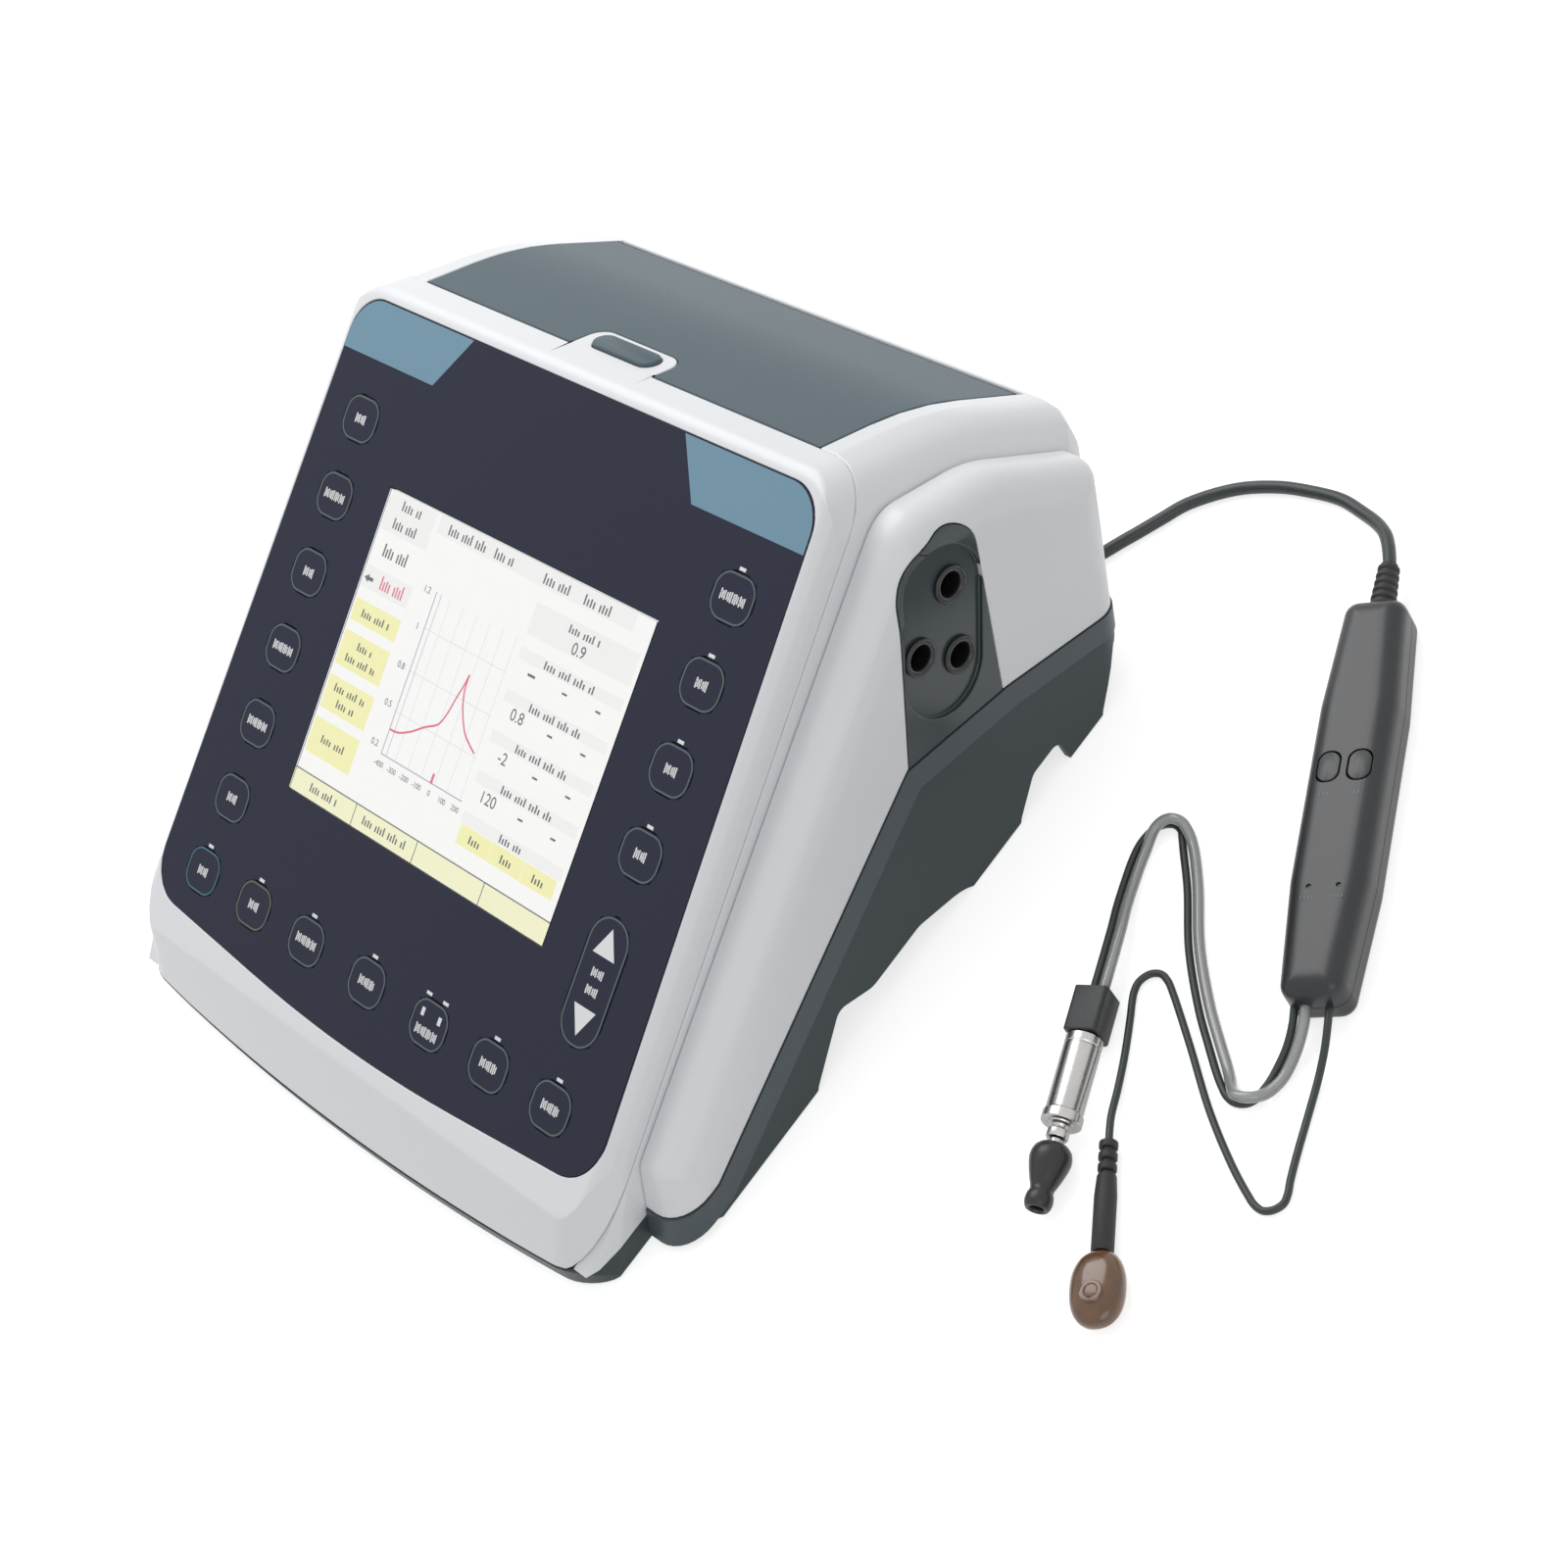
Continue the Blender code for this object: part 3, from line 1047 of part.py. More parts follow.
def display_module():
    face = -PANEL_THICKNESS - GAP
    body_top = face - SHELF_THICKNESS - GAP
    back = body_top - MODULE_THICKNESS
    x, up = SCREEN_WIDTH / 2 + MODULE_FACE_MARGIN, SCREEN_LENGTH / 2 + MODULE_FACE_MARGIN
    raised = box((-x, -up, back + GAP), (x, up, face))
    x, up = SCREEN_WIDTH / 2 + MODULE_MARGIN_X, SCREEN_LENGTH / 2 + MODULE_MARGIN_Y
    return placed(join(box((-x, -up, back), (x, up, body_top)), raised), panel_frame())


def display_window():
    x, up = SCREEN_WIDTH / 2, SCREEN_LENGTH / 2
    return across_box((-x, -up, -WINDOW_THICKNESS), (x, up, 0.0))


def plate_zone(growth):
    """What the jack plate takes out of the right pod, pushed through along X."""
    foot = PLATE_FOOT
    corners = [
        Vector((PLATE_FRONT_FOOT, foot)), Vector((PLATE_REAR_FOOT, foot)),
        Vector((PLATE_REAR_TOP, PLATE_TOP)), Vector((PLATE_FRONT_TOP, PLATE_TOP)),
    ]
    radii = [LEAST_ROUND, LEAST_ROUND, PLATE_REAR_ROUND + growth, PLATE_FRONT_ROUND + growth]
    return prism(rounded(grown(corners, growth), radii, 5), BODY_HALF_WIDTH / 2, POD_HALF_WIDTH + OVERRUN)


def white_pod(side):
    """A white side pod: a wall open to the console, down to the line of its dark skirt."""
    form = cut(pod(side), pod(side, POD_WALL, -OVERRUN), under_split(side, GAP))
    return cut(form, plate_zone(GAP)) if side > 0 else form


def jack_plate():
    form = cut(common(pod(1.0), plate_zone(0.0)), pod(1.0, PLATE_THICKNESS, -OVERRUN), under_split(1.0, GAP))
    face = POD_HALF_WIDTH
    oval = rounded_box_outline(RECESS_LENGTH, RECESS_WIDTH, RECESS_WIDTH / 2 - LEAST_ROUND, 6)
    turn = Matrix.Rotation(RECESS_LEAN, 2)
    oval = [turn @ point + Vector(RECESS_AT) for point in oval]
    holes = [x_rod(JACK_RADIUS + GAP, face - OVERRUN * 2, face + OVERRUN, y, z, 14) for y, z in JACK_PLACES]
    tools = [tapered(prism(oval, face - RECESS_DEPTH, face + OVERRUN))] + [tapered(hole) for hole in holes]
    return cut(form, *tools)


def jack_sockets():
    front = POD_HALF_WIDTH - RECESS_DEPTH + GAP + JACK_FLANGE
    outline = [
        (0.0, -JACK_LENGTH), (JACK_RADIUS, -JACK_LENGTH), (JACK_RADIUS, -JACK_FLANGE),
        (JACK_FLANGE_RADIUS, -JACK_FLANGE), (JACK_FLANGE_RADIUS, 0.0), (JACK_BORE, 0.0),
        (JACK_BORE, -JACK_INSIDE), (0.0, -JACK_INSIDE),
    ]
    jacks = [
        tapered(placed(along_x(turned(outline, 14)), Matrix.Translation((front, y, z)))) for y, z in JACK_PLACES
    ]
    back = front - JACK_LENGTH
    outline = [Vector(place) for place in JACK_PLACES]
    outline = rounded(grown(outline, JACK_BOARD_MARGIN), [JACK_FLANGE_RADIUS] * 3, 3)
    board = tapered(prism(outline, back - JACK_BOARD_THICKNESS, back + GAP))
    return join(board, *jacks)


def centred_box(width, height, low, high):
    return box((-width / 2, -height / 2, low), (width / 2, height / 2, high))


def rear_panel():
    plate = centred_box(REAR_PANEL_WIDTH, REAR_PANEL_HEIGHT, -WALL, 0.0)
    module = centred_box(INLET_WIDTH + 2 * GAP, INLET_HEIGHT + 2 * GAP, -OVERRUN, OVERRUN)
    placed(module, Matrix.Translation((-INLET_AT, INLET_UP, 0.0)))
    gland = placed(rod(GLAND_RADIUS + GAP, OVERRUN * 2, 20), Matrix.Translation((-GLAND_AT, 0.0, -OVERRUN)))
    return placed(cut(plate, module, gland), rear_frame())


def module_frame():
    return rear_frame() @ Matrix.Translation((-INLET_AT, INLET_UP, 0.0))


def switch_frame():
    return module_frame() @ Matrix.Translation((SWITCH_AT, 0.0, 0.0))


def power_inlet():
    """The power module: a housing and flange with the plug's mouth, its blades and the rocker's well."""
    face = GAP + INLET_FLANGE_THICKNESS
    housing = centred_box(INLET_WIDTH, INLET_HEIGHT, -INLET_DEPTH, face - GAP)
    flange = centred_box(INLET_WIDTH + 2 * INLET_FLANGE, INLET_HEIGHT + 2 * INLET_FLANGE, GAP, face)
    mouth = centred_box(MOUTH_WIDTH, MOUTH_HEIGHT, face - MOUTH_DEPTH, face + OVERRUN)
    placed(mouth, Matrix.Translation((MOUTH_AT, 0.0, 0.0)))
    wide, high = SWITCH_WIDTH + 2 * SWITCH_GAP, SWITCH_HEIGHT + 2 * SWITCH_GAP
    well = centred_box(wide, high, face - SWITCH_WELL, face + OVERRUN)
    placed(well, Matrix.Translation((SWITCH_AT, 0.0, 0.0)))
    half = AXLE_LENGTH / 2 + GAP
    axle = x_rod(AXLE_RADIUS + GAP, SWITCH_AT - half, SWITCH_AT + half, 0.0, 0.0, 12)
    form = cut(join(housing, flange), mouth, well, axle)
    foot = face - MOUTH_DEPTH
    blades = []
    for across, up in ((-BLADE_SPREAD, -BLADE_OFFSET), (0.0, BLADE_OFFSET), (BLADE_SPREAD, -BLADE_OFFSET)):
        blade = centred_box(BLADE_THICKNESS, BLADE_WIDTH, foot - GAP, foot + BLADE_LENGTH)
        blades.append(placed(blade, Matrix.Translation((MOUTH_AT + across, up, 0.0))))
    return placed(join(form, *blades), module_frame())


def power_switch():
    """The rocker on its axle, tipped to off."""
    top, foot = SWITCH_HEIGHT / 2, SWITCH_FOOT / 2
    outline = [(-foot, -SWITCH_DROP), (foot, -SWITCH_DROP), (top, SWITCH_CREST), (0.0, SWITCH_VALLEY),
               (-top, SWITCH_CREST)]
    rocker = prism([Vector(p) for p in outline], -SWITCH_WIDTH / 2, SWITCH_WIDTH / 2)
    form = join(rocker, x_rod(AXLE_RADIUS, -AXLE_LENGTH / 2, AXLE_LENGTH / 2, 0.0, 0.0, 12))
    return placed(form, switch_frame() @ Matrix.Rotation(SWITCH_TIP, 4, "X"))


def ribbed(start, end, radius, tip):
    """The outer profile of a strain relief that gets thinner rib by rib."""
    made = []
    for i in range(RELIEF_RIBS):
        here = radius + (tip - radius) * i / RELIEF_RIBS
        low, step = start + (end - start) * i / RELIEF_RIBS, (end - start) / RELIEF_RIBS
        made += [(here, low), (here, low + step * RIB_SHARE)]
        if i < RELIEF_RIBS - 1:
            made += [(here - RIB_DEPTH, low + step * RIB_SHARE), (here - RIB_DEPTH, low + step)]
    return made[:-1] + [(tip, end)]


def cable_bore(end):
    """The profile's last stretch: down into the bore that the console cable's end stands in."""
    bore, depth = CABLE_RADIUS + GAP, end - LEAD_INSIDE - GAP
    return [(bore, end), (bore, depth), (0.0, depth)]


def cable_gland():
    flange_top = GAP + GLAND_FLANGE_THICKNESS
    outline = [(0.0, -GLAND_INSIDE), (GLAND_RADIUS, -GLAND_INSIDE), (GLAND_RADIUS, GAP),
               (GLAND_FLANGE_RADIUS, GAP), (GLAND_FLANGE_RADIUS, flange_top)]
    outline += ribbed(flange_top, GLAND_REACH, GLAND_ROOT_RADIUS, GLAND_TIP_RADIUS) + cable_bore(GLAND_REACH)
    return placed(turned(outline, 12), rear_frame() @ Matrix.Translation((-GLAND_AT, 0.0, 0.0)))


def main_board():
    low = FLOOR_TOP + BOSS_HEIGHT + GAP
    top = low + BOARD_THICKNESS
    board = box((-BOARD_WIDTH / 2, BOARD_FRONT, low), (BOARD_WIDTH / 2, BOARD_FRONT + BOARD_DEPTH, top))
    holes = [
        placed(rod(PEG_RADIUS + GAP, OVERRUN * 2, 10), Matrix.Translation((x, y, low - OVERRUN)))
        for x, y in boss_places()
    ]
    chip = centred_box(CHIP_SIZE[0], CHIP_SIZE[1], 0.0, CHIP_SIZE[2])
    placed(chip, Matrix.Translation((*CHIP_AT, top - GAP)))
    socket = centred_box(SOCKET_BLOCK[0], SOCKET_BLOCK[1], 0.0, SOCKET_BLOCK[2])
    placed(socket, Matrix.Translation((*SOCKET_AT, top - GAP)))
    return join(cut(board, *holes), chip, socket)


def power_supply():
    """An open board with its transformer, capacitors and heat sink."""
    x, y = SUPPLY_AT
    foot = FLOOR_TOP + GAP
    board = centred_box(SUPPLY_SIZE[0], SUPPLY_SIZE[1], 0.0, SUPPLY_SIZE[2])
    placed(board, Matrix.Translation((x, y, foot)))
    top = foot + SUPPLY_SIZE[2] - GAP
    half = SUPPLY_SIZE[0] / 2
    width, depth, height = TRANSFORMER_SIZE
    block = centred_box(width, depth, 0.0, height)
    placed(block, Matrix.Translation((x + half - width / 2 - WALL, y, top)))
    cans = [
        placed(rod(CAPACITOR_RADIUS, CAPACITOR_HEIGHT, 16), Matrix.Translation((x - half / 4, y + row, top)))
        for row in (-CAPACITOR_RADIUS * 1.2, CAPACITOR_RADIUS * 1.2)
    ]
    width, depth, height = HEAT_SINK_SIZE
    sink = placed(centred_box(width, depth, 0.0, height), Matrix.Translation((x - half + WALL * 2, y, top)))
    return join(board, block, sink, *cans)


def air_pump():
    """The pump's motor lying behind its square head, with the nozzle for the air tube."""
    foot = FLOOR_TOP + GAP
    width, depth, height = PUMP_HEAD
    x, y = PUMP_AT
    head = placed(centred_box(width, depth, 0.0, height), Matrix.Translation((x, y, foot)))
    axis = Matrix.Translation((x, y, foot + height / 2)) @ Matrix.Rotation(-math.pi / 2, 4, "X")
    motor = placed(rod(PUMP_RADIUS, PUMP_LENGTH + depth / 2, 20), axis)
    nozzle = rod(PUMP_NOZZLE_RADIUS, PUMP_NOZZLE + GAP, 10)
    placed(nozzle, Matrix.Translation((x, y, foot + height - GAP)))
    return join(head, motor, nozzle)


def rubber_foot(y):
    """A soft strip across under the base."""
    outline = rounded_box_outline(FOOT_LENGTH, FOOT_WIDTH, FOOT_WIDTH / 2 - LEAST_ROUND, 4)
    form = prism(outline, 0.0, FOOT_HEIGHT, "Z")
    return placed(form, Matrix.Translation((0.0, y, 0.0)))


def handset_outline():
    """The handset's plan, anticlockwise, and its corners' radii."""
    x, end_x = HANDSET_WIDTH / 2, HANDSET_END_WIDTH / 2
    y, end_y = HANDSET_WAIST / 2, HANDSET_LENGTH / 2
    right = [(end_x, -end_y), (x, -y), (x, y), (end_x, end_y)]
    corners = [(-end_x, -end_y)] + right + [(-end_x, end_y), (-x, y), (-x, -y)]
    end, bend = HANDSET_END_ROUND, HANDSET_SIDE_ROUND
    return [Vector(p) for p in corners], [end, end, bend, bend, end, end, bend, bend]


def cushion(corners, radii, levels, steps=3):
    """One outline at several heights, each moved in by its own distance, joined into one solid."""
    form = bmesh.new()
    rings = []
    for height, inset in levels:
        here = moved_in(corners, [inset] * len(corners))
        points = rounded(here, [max(radius - inset, LEAST_ROUND) for radius in radii], steps)
        ring = [form.verts.new((x, y, height)) for x, y in points]
        rings.append([form.edges.new((ring[i - 1], ring[i])) for i in range(len(ring))])
    bmesh.ops.contextual_create(form, geom=rings[0])
    bmesh.ops.contextual_create(form, geom=rings[-1])
    for first, second in zip(rings, rings[1:]):
        bmesh.ops.bridge_loops(form, edges=first + second)
    return facing_out(form)


def edge_levels(low, high, low_edge, high_edge, skin=0.0, steps=3):
    """Heights and insets of a solid with rounded lower and upper edges, 0 for a square one."""
    made = []
    for k in range(steps + 1 if low_edge else 1):
        turn = math.pi / 2 * k / steps
        made.append((low + low_edge * (1 - math.cos(turn)), skin + low_edge * (1 - math.sin(turn))))
    for k in reversed(range(steps + 1 if high_edge else 1)):
        turn = math.pi / 2 * k / steps
        made.append((high - high_edge * (1 - math.cos(turn)), skin + high_edge * (1 - math.sin(turn))))
    return made


def upright(x, y, low, high, radius, sides=12):
    return placed(rod(radius, high - low, sides), Matrix.Translation((x, y, low)))


def lead_holes():
    """Where the cable passes the handset's far end and the three leads its near one."""
    end = HANDSET_LENGTH / 2
    deep = OVERRUN + HANDSET_WALL
    back, front = Matrix.Rotation(-math.pi / 2, 4, "X"), Matrix.Rotation(math.pi / 2, 4, "X")
    made = [
        placed(rod(RELIEF_SHANK + GAP, deep * 2, 14), Matrix.Translation((0.0, end - deep, RELIEF_HEIGHT)) @ back)
    ]
    lift = PROBE_TUBE_RADIUS - PROBE_CABLE_RADIUS
    leads = (
        (LEAD_PAIR_AT - PAIR_SIDE, 0.0, PROBE_CABLE_RADIUS),
        (LEAD_PAIR_AT + PAIR_SIDE, lift, PROBE_TUBE_RADIUS),
        (EARPHONE_LEAD_AT, 0.0, EARPHONE_CABLE_RADIUS),
    )
    for x, up, radius in leads:
        at = Matrix.Translation((x, deep - end, LEAD_HEIGHT + up)) @ front
        made.append(placed(rod(radius + GAP, deep * 2, 12), at))
    return made


def handset_shell(top):
    """One half of the handset, hollow, with its share of the leads' holes."""
    corners, radii = handset_outline()
    if top:
        low, high = HANDSET_PARTING + GAP, HANDSET_THICKNESS
        levels = edge_levels(low, high, 0.0, HANDSET_EDGE)
        inner = edge_levels(low - OVERRUN, high - HANDSET_WALL, 0.0, HANDSET_EDGE - HANDSET_WALL, HANDSET_WALL)
    else:
        levels = edge_levels(0.0, HANDSET_PARTING, HANDSET_EDGE, 0.0)
        inner = edge_levels(HANDSET_SEAT, HANDSET_PARTING + OVERRUN, 0.0, 0.0, HANDSET_WALL)
    tools = [cushion(corners, radii, inner, 2)] + lead_holes()
    if top:
        for side in (-1.0, 1.0):
            play = 2 * RUNNING_GAP
            outline = rounded_box_outline(THUMB_WIDTH + play, THUMB_LENGTH + play, THUMB_WIDTH / 2, 4)
            hole = prism(outline, HANDSET_PARTING, HANDSET_THICKNESS + OVERRUN, "Z")
            tools.append(placed(hole, thumb_place(side)))
            low, high = HANDSET_PARTING, HANDSET_THICKNESS + OVERRUN
            tools.append(upright(side * LIGHT_SPREAD, -LIGHT_DOWN, low, high, LIGHT_RADIUS + GAP))
    return cut(cushion(corners, radii, levels), *tools)


def thumb_place(side):
    return Matrix.Translation((side * THUMB_SPREAD, THUMB_UP, 0.0))


def thumb_button(side):
    """A thumb button with the flange that keeps it under the shell."""
    flange_top = HANDSET_THICKNESS - HANDSET_WALL - GAP
    outline = rounded_box_outline(THUMB_WIDTH, THUMB_LENGTH, THUMB_WIDTH / 2 - LEAST_ROUND, 4)
    cap = prism(outline, flange_top - THUMB_FLANGE / 2, HANDSET_THICKNESS + THUMB_PROUD, "Z")
    wide, long = THUMB_WIDTH + 2 * THUMB_FLANGE_MARGIN, THUMB_LENGTH + 2 * THUMB_FLANGE_MARGIN
    foot = prism(rounded_box_outline(wide, long, THUMB_WIDTH / 2, 4), flange_top - THUMB_FLANGE, flange_top, "Z")
    return placed(join(cap, foot), thumb_place(side))


def handset_board():
    """The handset's board with its switches, its lights and the pipes that show them."""
    low = HANDSET_SEAT + GAP
    top = low + HANDSET_BOARD_THICKNESS
    board = centred_box(HANDSET_BOARD_WIDTH, HANDSET_BOARD_LENGTH, low, top)
    parts = []
    for side in (-1.0, 1.0):
        parts.append(upright(side * THUMB_SPREAD, THUMB_UP, top - GAP, THUMB_POST_TOP, THUMB_POST_RADIUS))
        pipe_top = HANDSET_THICKNESS - LIGHT_SINK
        parts.append(upright(side * LIGHT_SPREAD, -LIGHT_DOWN, top - GAP, pipe_top, LIGHT_RADIUS))
    return join(board, *parts)


def handset_relief():
    """The ribbed sleeve where the cable enters the handset, with the flange inside the shell."""
    inside = -HANDSET_WALL - GAP
    outline = [(0.0, inside - RELIEF_FLANGE_THICKNESS), (RELIEF_FLANGE, inside - RELIEF_FLANGE_THICKNESS),
               (RELIEF_FLANGE, inside), (RELIEF_SHANK, inside), (RELIEF_SHANK, GAP)]
    outline += ribbed(GAP, RELIEF_LENGTH, RELIEF_BASE, RELIEF_TIP) + cable_bore(RELIEF_LENGTH)
    at = Matrix.Translation((0.0, HANDSET_LENGTH / 2, RELIEF_HEIGHT)) @ Matrix.Rotation(-math.pi / 2, 4, "X")
    return placed(turned(outline, 12), at)


def handset_place():
    return Matrix.Translation(HANDSET_AT) @ Matrix.Rotation(HANDSET_TURN, 4, "Z")


def probe_place():
    """On the middle of the housing's cable end, with Z towards the probe's tip and Y up."""
    return (
        Matrix.Translation(PROBE_AT) @ Matrix.Rotation(PROBE_TURN, 4, "Z") @ Matrix.Rotation(math.pi / 2, 4, "X")
    )


def earphone_place():
    """On the sleeve's cable end, with Z towards the receiver and Y up."""
    return (
        Matrix.Translation(EARPHONE_AT) @ Matrix.Rotation(EARPHONE_TURN, 4, "Z")
        @ Matrix.Rotation(math.pi / 2, 4, "X")
    )


def probe_housing():
    form = prism(rounded_box_outline(HOUSING_WIDTH, HOUSING_WIDTH, HOUSING_ROUND, 3), 0.0, HOUSING_LENGTH, "Z")
    lift = PROBE_TUBE_RADIUS - PROBE_CABLE_RADIUS
    deep = LEAD_INSIDE + GAP
    cable = upright(-PAIR_SIDE, 0.0, -OVERRUN, deep, PROBE_CABLE_RADIUS + GAP)
    tube = upright(PAIR_SIDE, lift, -OVERRUN, deep, PROBE_TUBE_RADIUS + GAP)
    return cut(form, cable, tube)


def probe_barrel():
    """The silver barrel, its flange and the stem with a collar that the ear tip sits on."""
    start = HOUSING_LENGTH + GAP
    flange = start + BARREL_SILVER_LENGTH
    stem = flange + FLANGE_LENGTH
    knob = stem + STEM_RADIUS
    outline = [
        (0.0, start), (BARREL_SILVER_RADIUS, start), (BARREL_SILVER_RADIUS, flange), (FLANGE_RADIUS, flange),
        (FLANGE_RADIUS, stem), (STEM_RADIUS, stem), (STEM_RADIUS, knob), (KNOB_RADIUS, knob),
        (KNOB_RADIUS, knob + KNOB_LENGTH), (STEM_RADIUS, knob + KNOB_LENGTH), (STEM_RADIUS, stem + STEM_LENGTH),
        (0.0, stem + STEM_LENGTH),
    ]
    return turned(outline, 18)


def ear_tip():
    """The soft tip: a skirted bulb that narrows to a rounded end with its bore open."""
    low = HOUSING_LENGTH + GAP + BARREL_SILVER_LENGTH + FLANGE_LENGTH + TIP_START
    shares = (
        (0.50, 0.0), (0.78, 0.05), (0.94, 0.16), (1.0, 0.32), (0.96, 0.46), (0.78, 0.60), (0.64, 0.68),
        (0.62, 0.78), (0.66, 0.88), (0.58, 0.97),
    )
    outline = [(TIP_BORE, low)] + [(TIP_RADIUS * wide, low + TIP_LENGTH * far) for wide, far in shares]
    outline.append((TIP_BORE, low + TIP_LENGTH))
    return turned(outline, 16, ring=True)


def earphone_sleeve():
    """The moulded sleeve with rings at its cable end and a thin neck that holds the receiver."""
    bore = EARPHONE_CABLE_RADIUS + GAP
    outline = [(0.0, LEAD_INSIDE + GAP), (bore, LEAD_INSIDE + GAP), (bore, 0.0)]
    for i in range(SLEEVE_RINGS):
        low = SLEEVE_RING_PITCH * i
        ring = low + SLEEVE_RING_PITCH * RIB_SHARE
        outline += [(SLEEVE_RADIUS, low), (SLEEVE_RADIUS, ring), (SLEEVE_NECK_RADIUS, ring),
                    (SLEEVE_NECK_RADIUS, low + SLEEVE_RING_PITCH)]
    neck = SLEEVE_LENGTH
    outline += [(SLEEVE_RADIUS, SLEEVE_RING_PITCH * SLEEVE_RINGS), (SLEEVE_RING_RADIUS, neck / 2),
                (SLEEVE_RING_RADIUS, neck), (SLEEVE_NECK_RADIUS, neck), (SLEEVE_NECK_RADIUS, neck + LEAD_INSIDE),
                (0.0, neck + LEAD_INSIDE)]
    return turned(outline, 12)


def earphone_receiver():
    """The oval receiver with its nozzle dimple on top, hollow where the sleeve's neck enters."""
    x, y = RECEIVER_WIDTH / 2, RECEIVER_LENGTH / 2
    corners = [Vector(p) for p in ((-x, -y), (x, -y), (x, y), (-x, y))]
    radius = x - LEAST_ROUND / 5
    half = RECEIVER_THICKNESS / 2
    form = cushion(corners, [radius] * 4, edge_levels(-half, half, half - GAP, half - GAP), 4)
    form = cut(form, upright(0.0, DIMPLE_AT, half - DIMPLE_DEPTH, half + OVERRUN, DIMPLE_RADIUS))
    lift = RECEIVER_HEIGHT - EARPHONE_AT.z
    placed(form, Matrix.Translation((0.0, lift, SLEEVE_LENGTH + GAP + y)) @ Matrix.Rotation(-math.pi / 2, 4, "X"))
    return cut(form, upright(0.0, 0.0, 0.0, SLEEVE_LENGTH + LEAD_INSIDE + GAP, SLEEVE_NECK_RADIUS + GAP))


def smooth(route, samples=16):
    """Points of a smooth curve through a route's points."""
    ends = [route[0] * 2 - route[1]] + route + [route[-1] * 2 - route[-2]]
    made = []
    for a, b, c, d in zip(ends, ends[1:], ends[2:], ends[3:]):
        t1 = math.sqrt((b - a).length)
        t2 = t1 + math.sqrt((c - b).length)
        t3 = t2 + math.sqrt((d - c).length)
        for k in range(samples):
            t = t1 + (t2 - t1) * k / samples
            ab, bc = a.lerp(b, t / t1), b.lerp(c, (t - t1) / (t2 - t1))
            cd = c.lerp(d, (t - t2) / (t3 - t2))
            made.append(ab.lerp(bc, t / t2).lerp(bc.lerp(cd, (t - t1) / (t3 - t1)), (t - t1) / (t2 - t1)))
    return made + [route[-1]]


def thinned(points, radius):
    """Keeps a curve's points a step apart, and nearer together where it bends."""
    step = LEAD_STEP_SHARE * 2 * radius
    kept = [points[0]]
    way = points[1] - points[0]
    for before, here in zip(points[1:], points[2:]):
        if (before - kept[-1]).length >= step or (here - before).angle(way) >= BEND_STEP:
            kept.append(before)
            way = here - before
    if (points[-1] - kept[-1]).length < radius:
        kept.pop()
    return kept + [points[-1]]


def lead(name, points, radius, material, resolution=2):
    """A cable or tube as a round cord along its points."""
    data = bpy.data.curves.new(name, "CURVE")
    data.dimensions = "3D"
    data.bevel_depth = radius
    data.bevel_resolution = resolution
    data.use_fill_caps = True
    data.materials.append(material)
    spline = data.splines.new("POLY")
    spline.points.add(len(points) - 1)
    for knot, point in zip(spline.points, points):
        knot.co = (*point, 1.0)
    made = bpy.data.objects.new(name, data)
    made.parent = bpy.data.objects["layout"]
    bpy.context.collection.objects.link(made)


def in_metres(route):
    return [Vector(point) * MM for point in route]


def coil_points():
    """The spare cable wound clockwise: layer on layer, in and out by turns, climbing at each layer's end."""
    outer = COIL_INNER + COIL_PITCH * COIL_LAYER_TURNS
    floor = CABLE_RADIUS + LYING_GAP
    per_layer = round(COIL_LAYER_TURNS * COIL_TURN_STEPS)
    made = [Vector((COIL_AT.x + outer, COIL_AT.y + COIL_END, floor))]
    for i in range(per_layer * COIL_LAYERS + 1):
        layer, step = divmod(i, per_layer)
        inward = COIL_PITCH * step / COIL_TURN_STEPS
        radius = outer - inward if layer % 2 == 0 else COIL_INNER + inward
        if layer == COIL_LAYERS:
            radius = outer
        height = floor
        for end in range(1, COIL_LAYERS):
            turns = (i - end * per_layer) / COIL_TURN_STEPS / COIL_CLIMB_TURNS
            share = max(0.0, min(1.0, (turns + 1) / 2))
            height += COIL_PITCH * share * share * (3 - 2 * share)
        angle = -math.tau * i / COIL_TURN_STEPS
        made.append(Vector((COIL_AT.x + radius * math.cos(angle), COIL_AT.y + radius * math.sin(angle), height)))
    made.append(made[-1] + Vector((0.0, COIL_END, 0.0)))
    return made


def least_gap(points, radius):
    """The least gap between a coil's neighbouring turns, measured on its points."""
    apart = COIL_TURN_STEPS // 2
    distances = [(b - a).length for i, a in enumerate(points) for b in points[i + apart:]]
    return min(distances) - 2 * radius


def pair_points(route):
    """The cable's and the tube's own points from their shared route."""
    floor = LYING_GAP
    middle = smooth(route)
    cable, tube = [], []
    for i, here in enumerate(middle):
        before, after = middle[max(i - 1, 0)], middle[min(i + 1, len(middle) - 1)]
        way = Vector((after.x - before.x, after.y - before.y)).normalized()
        side = Vector((-way.y, way.x)) * here.w
        rise = PAIR_RISE * (1 - min(1.0, (here.w / PAIR_SIDE) ** 2))
        cable.append(Vector((here.x + side.x, here.y + side.y, floor + PROBE_CABLE_RADIUS + here.z)))
        tube.append(Vector((here.x - side.x, here.y - side.y, floor + PROBE_TUBE_RADIUS + here.z + rise)))
    return cable, tube


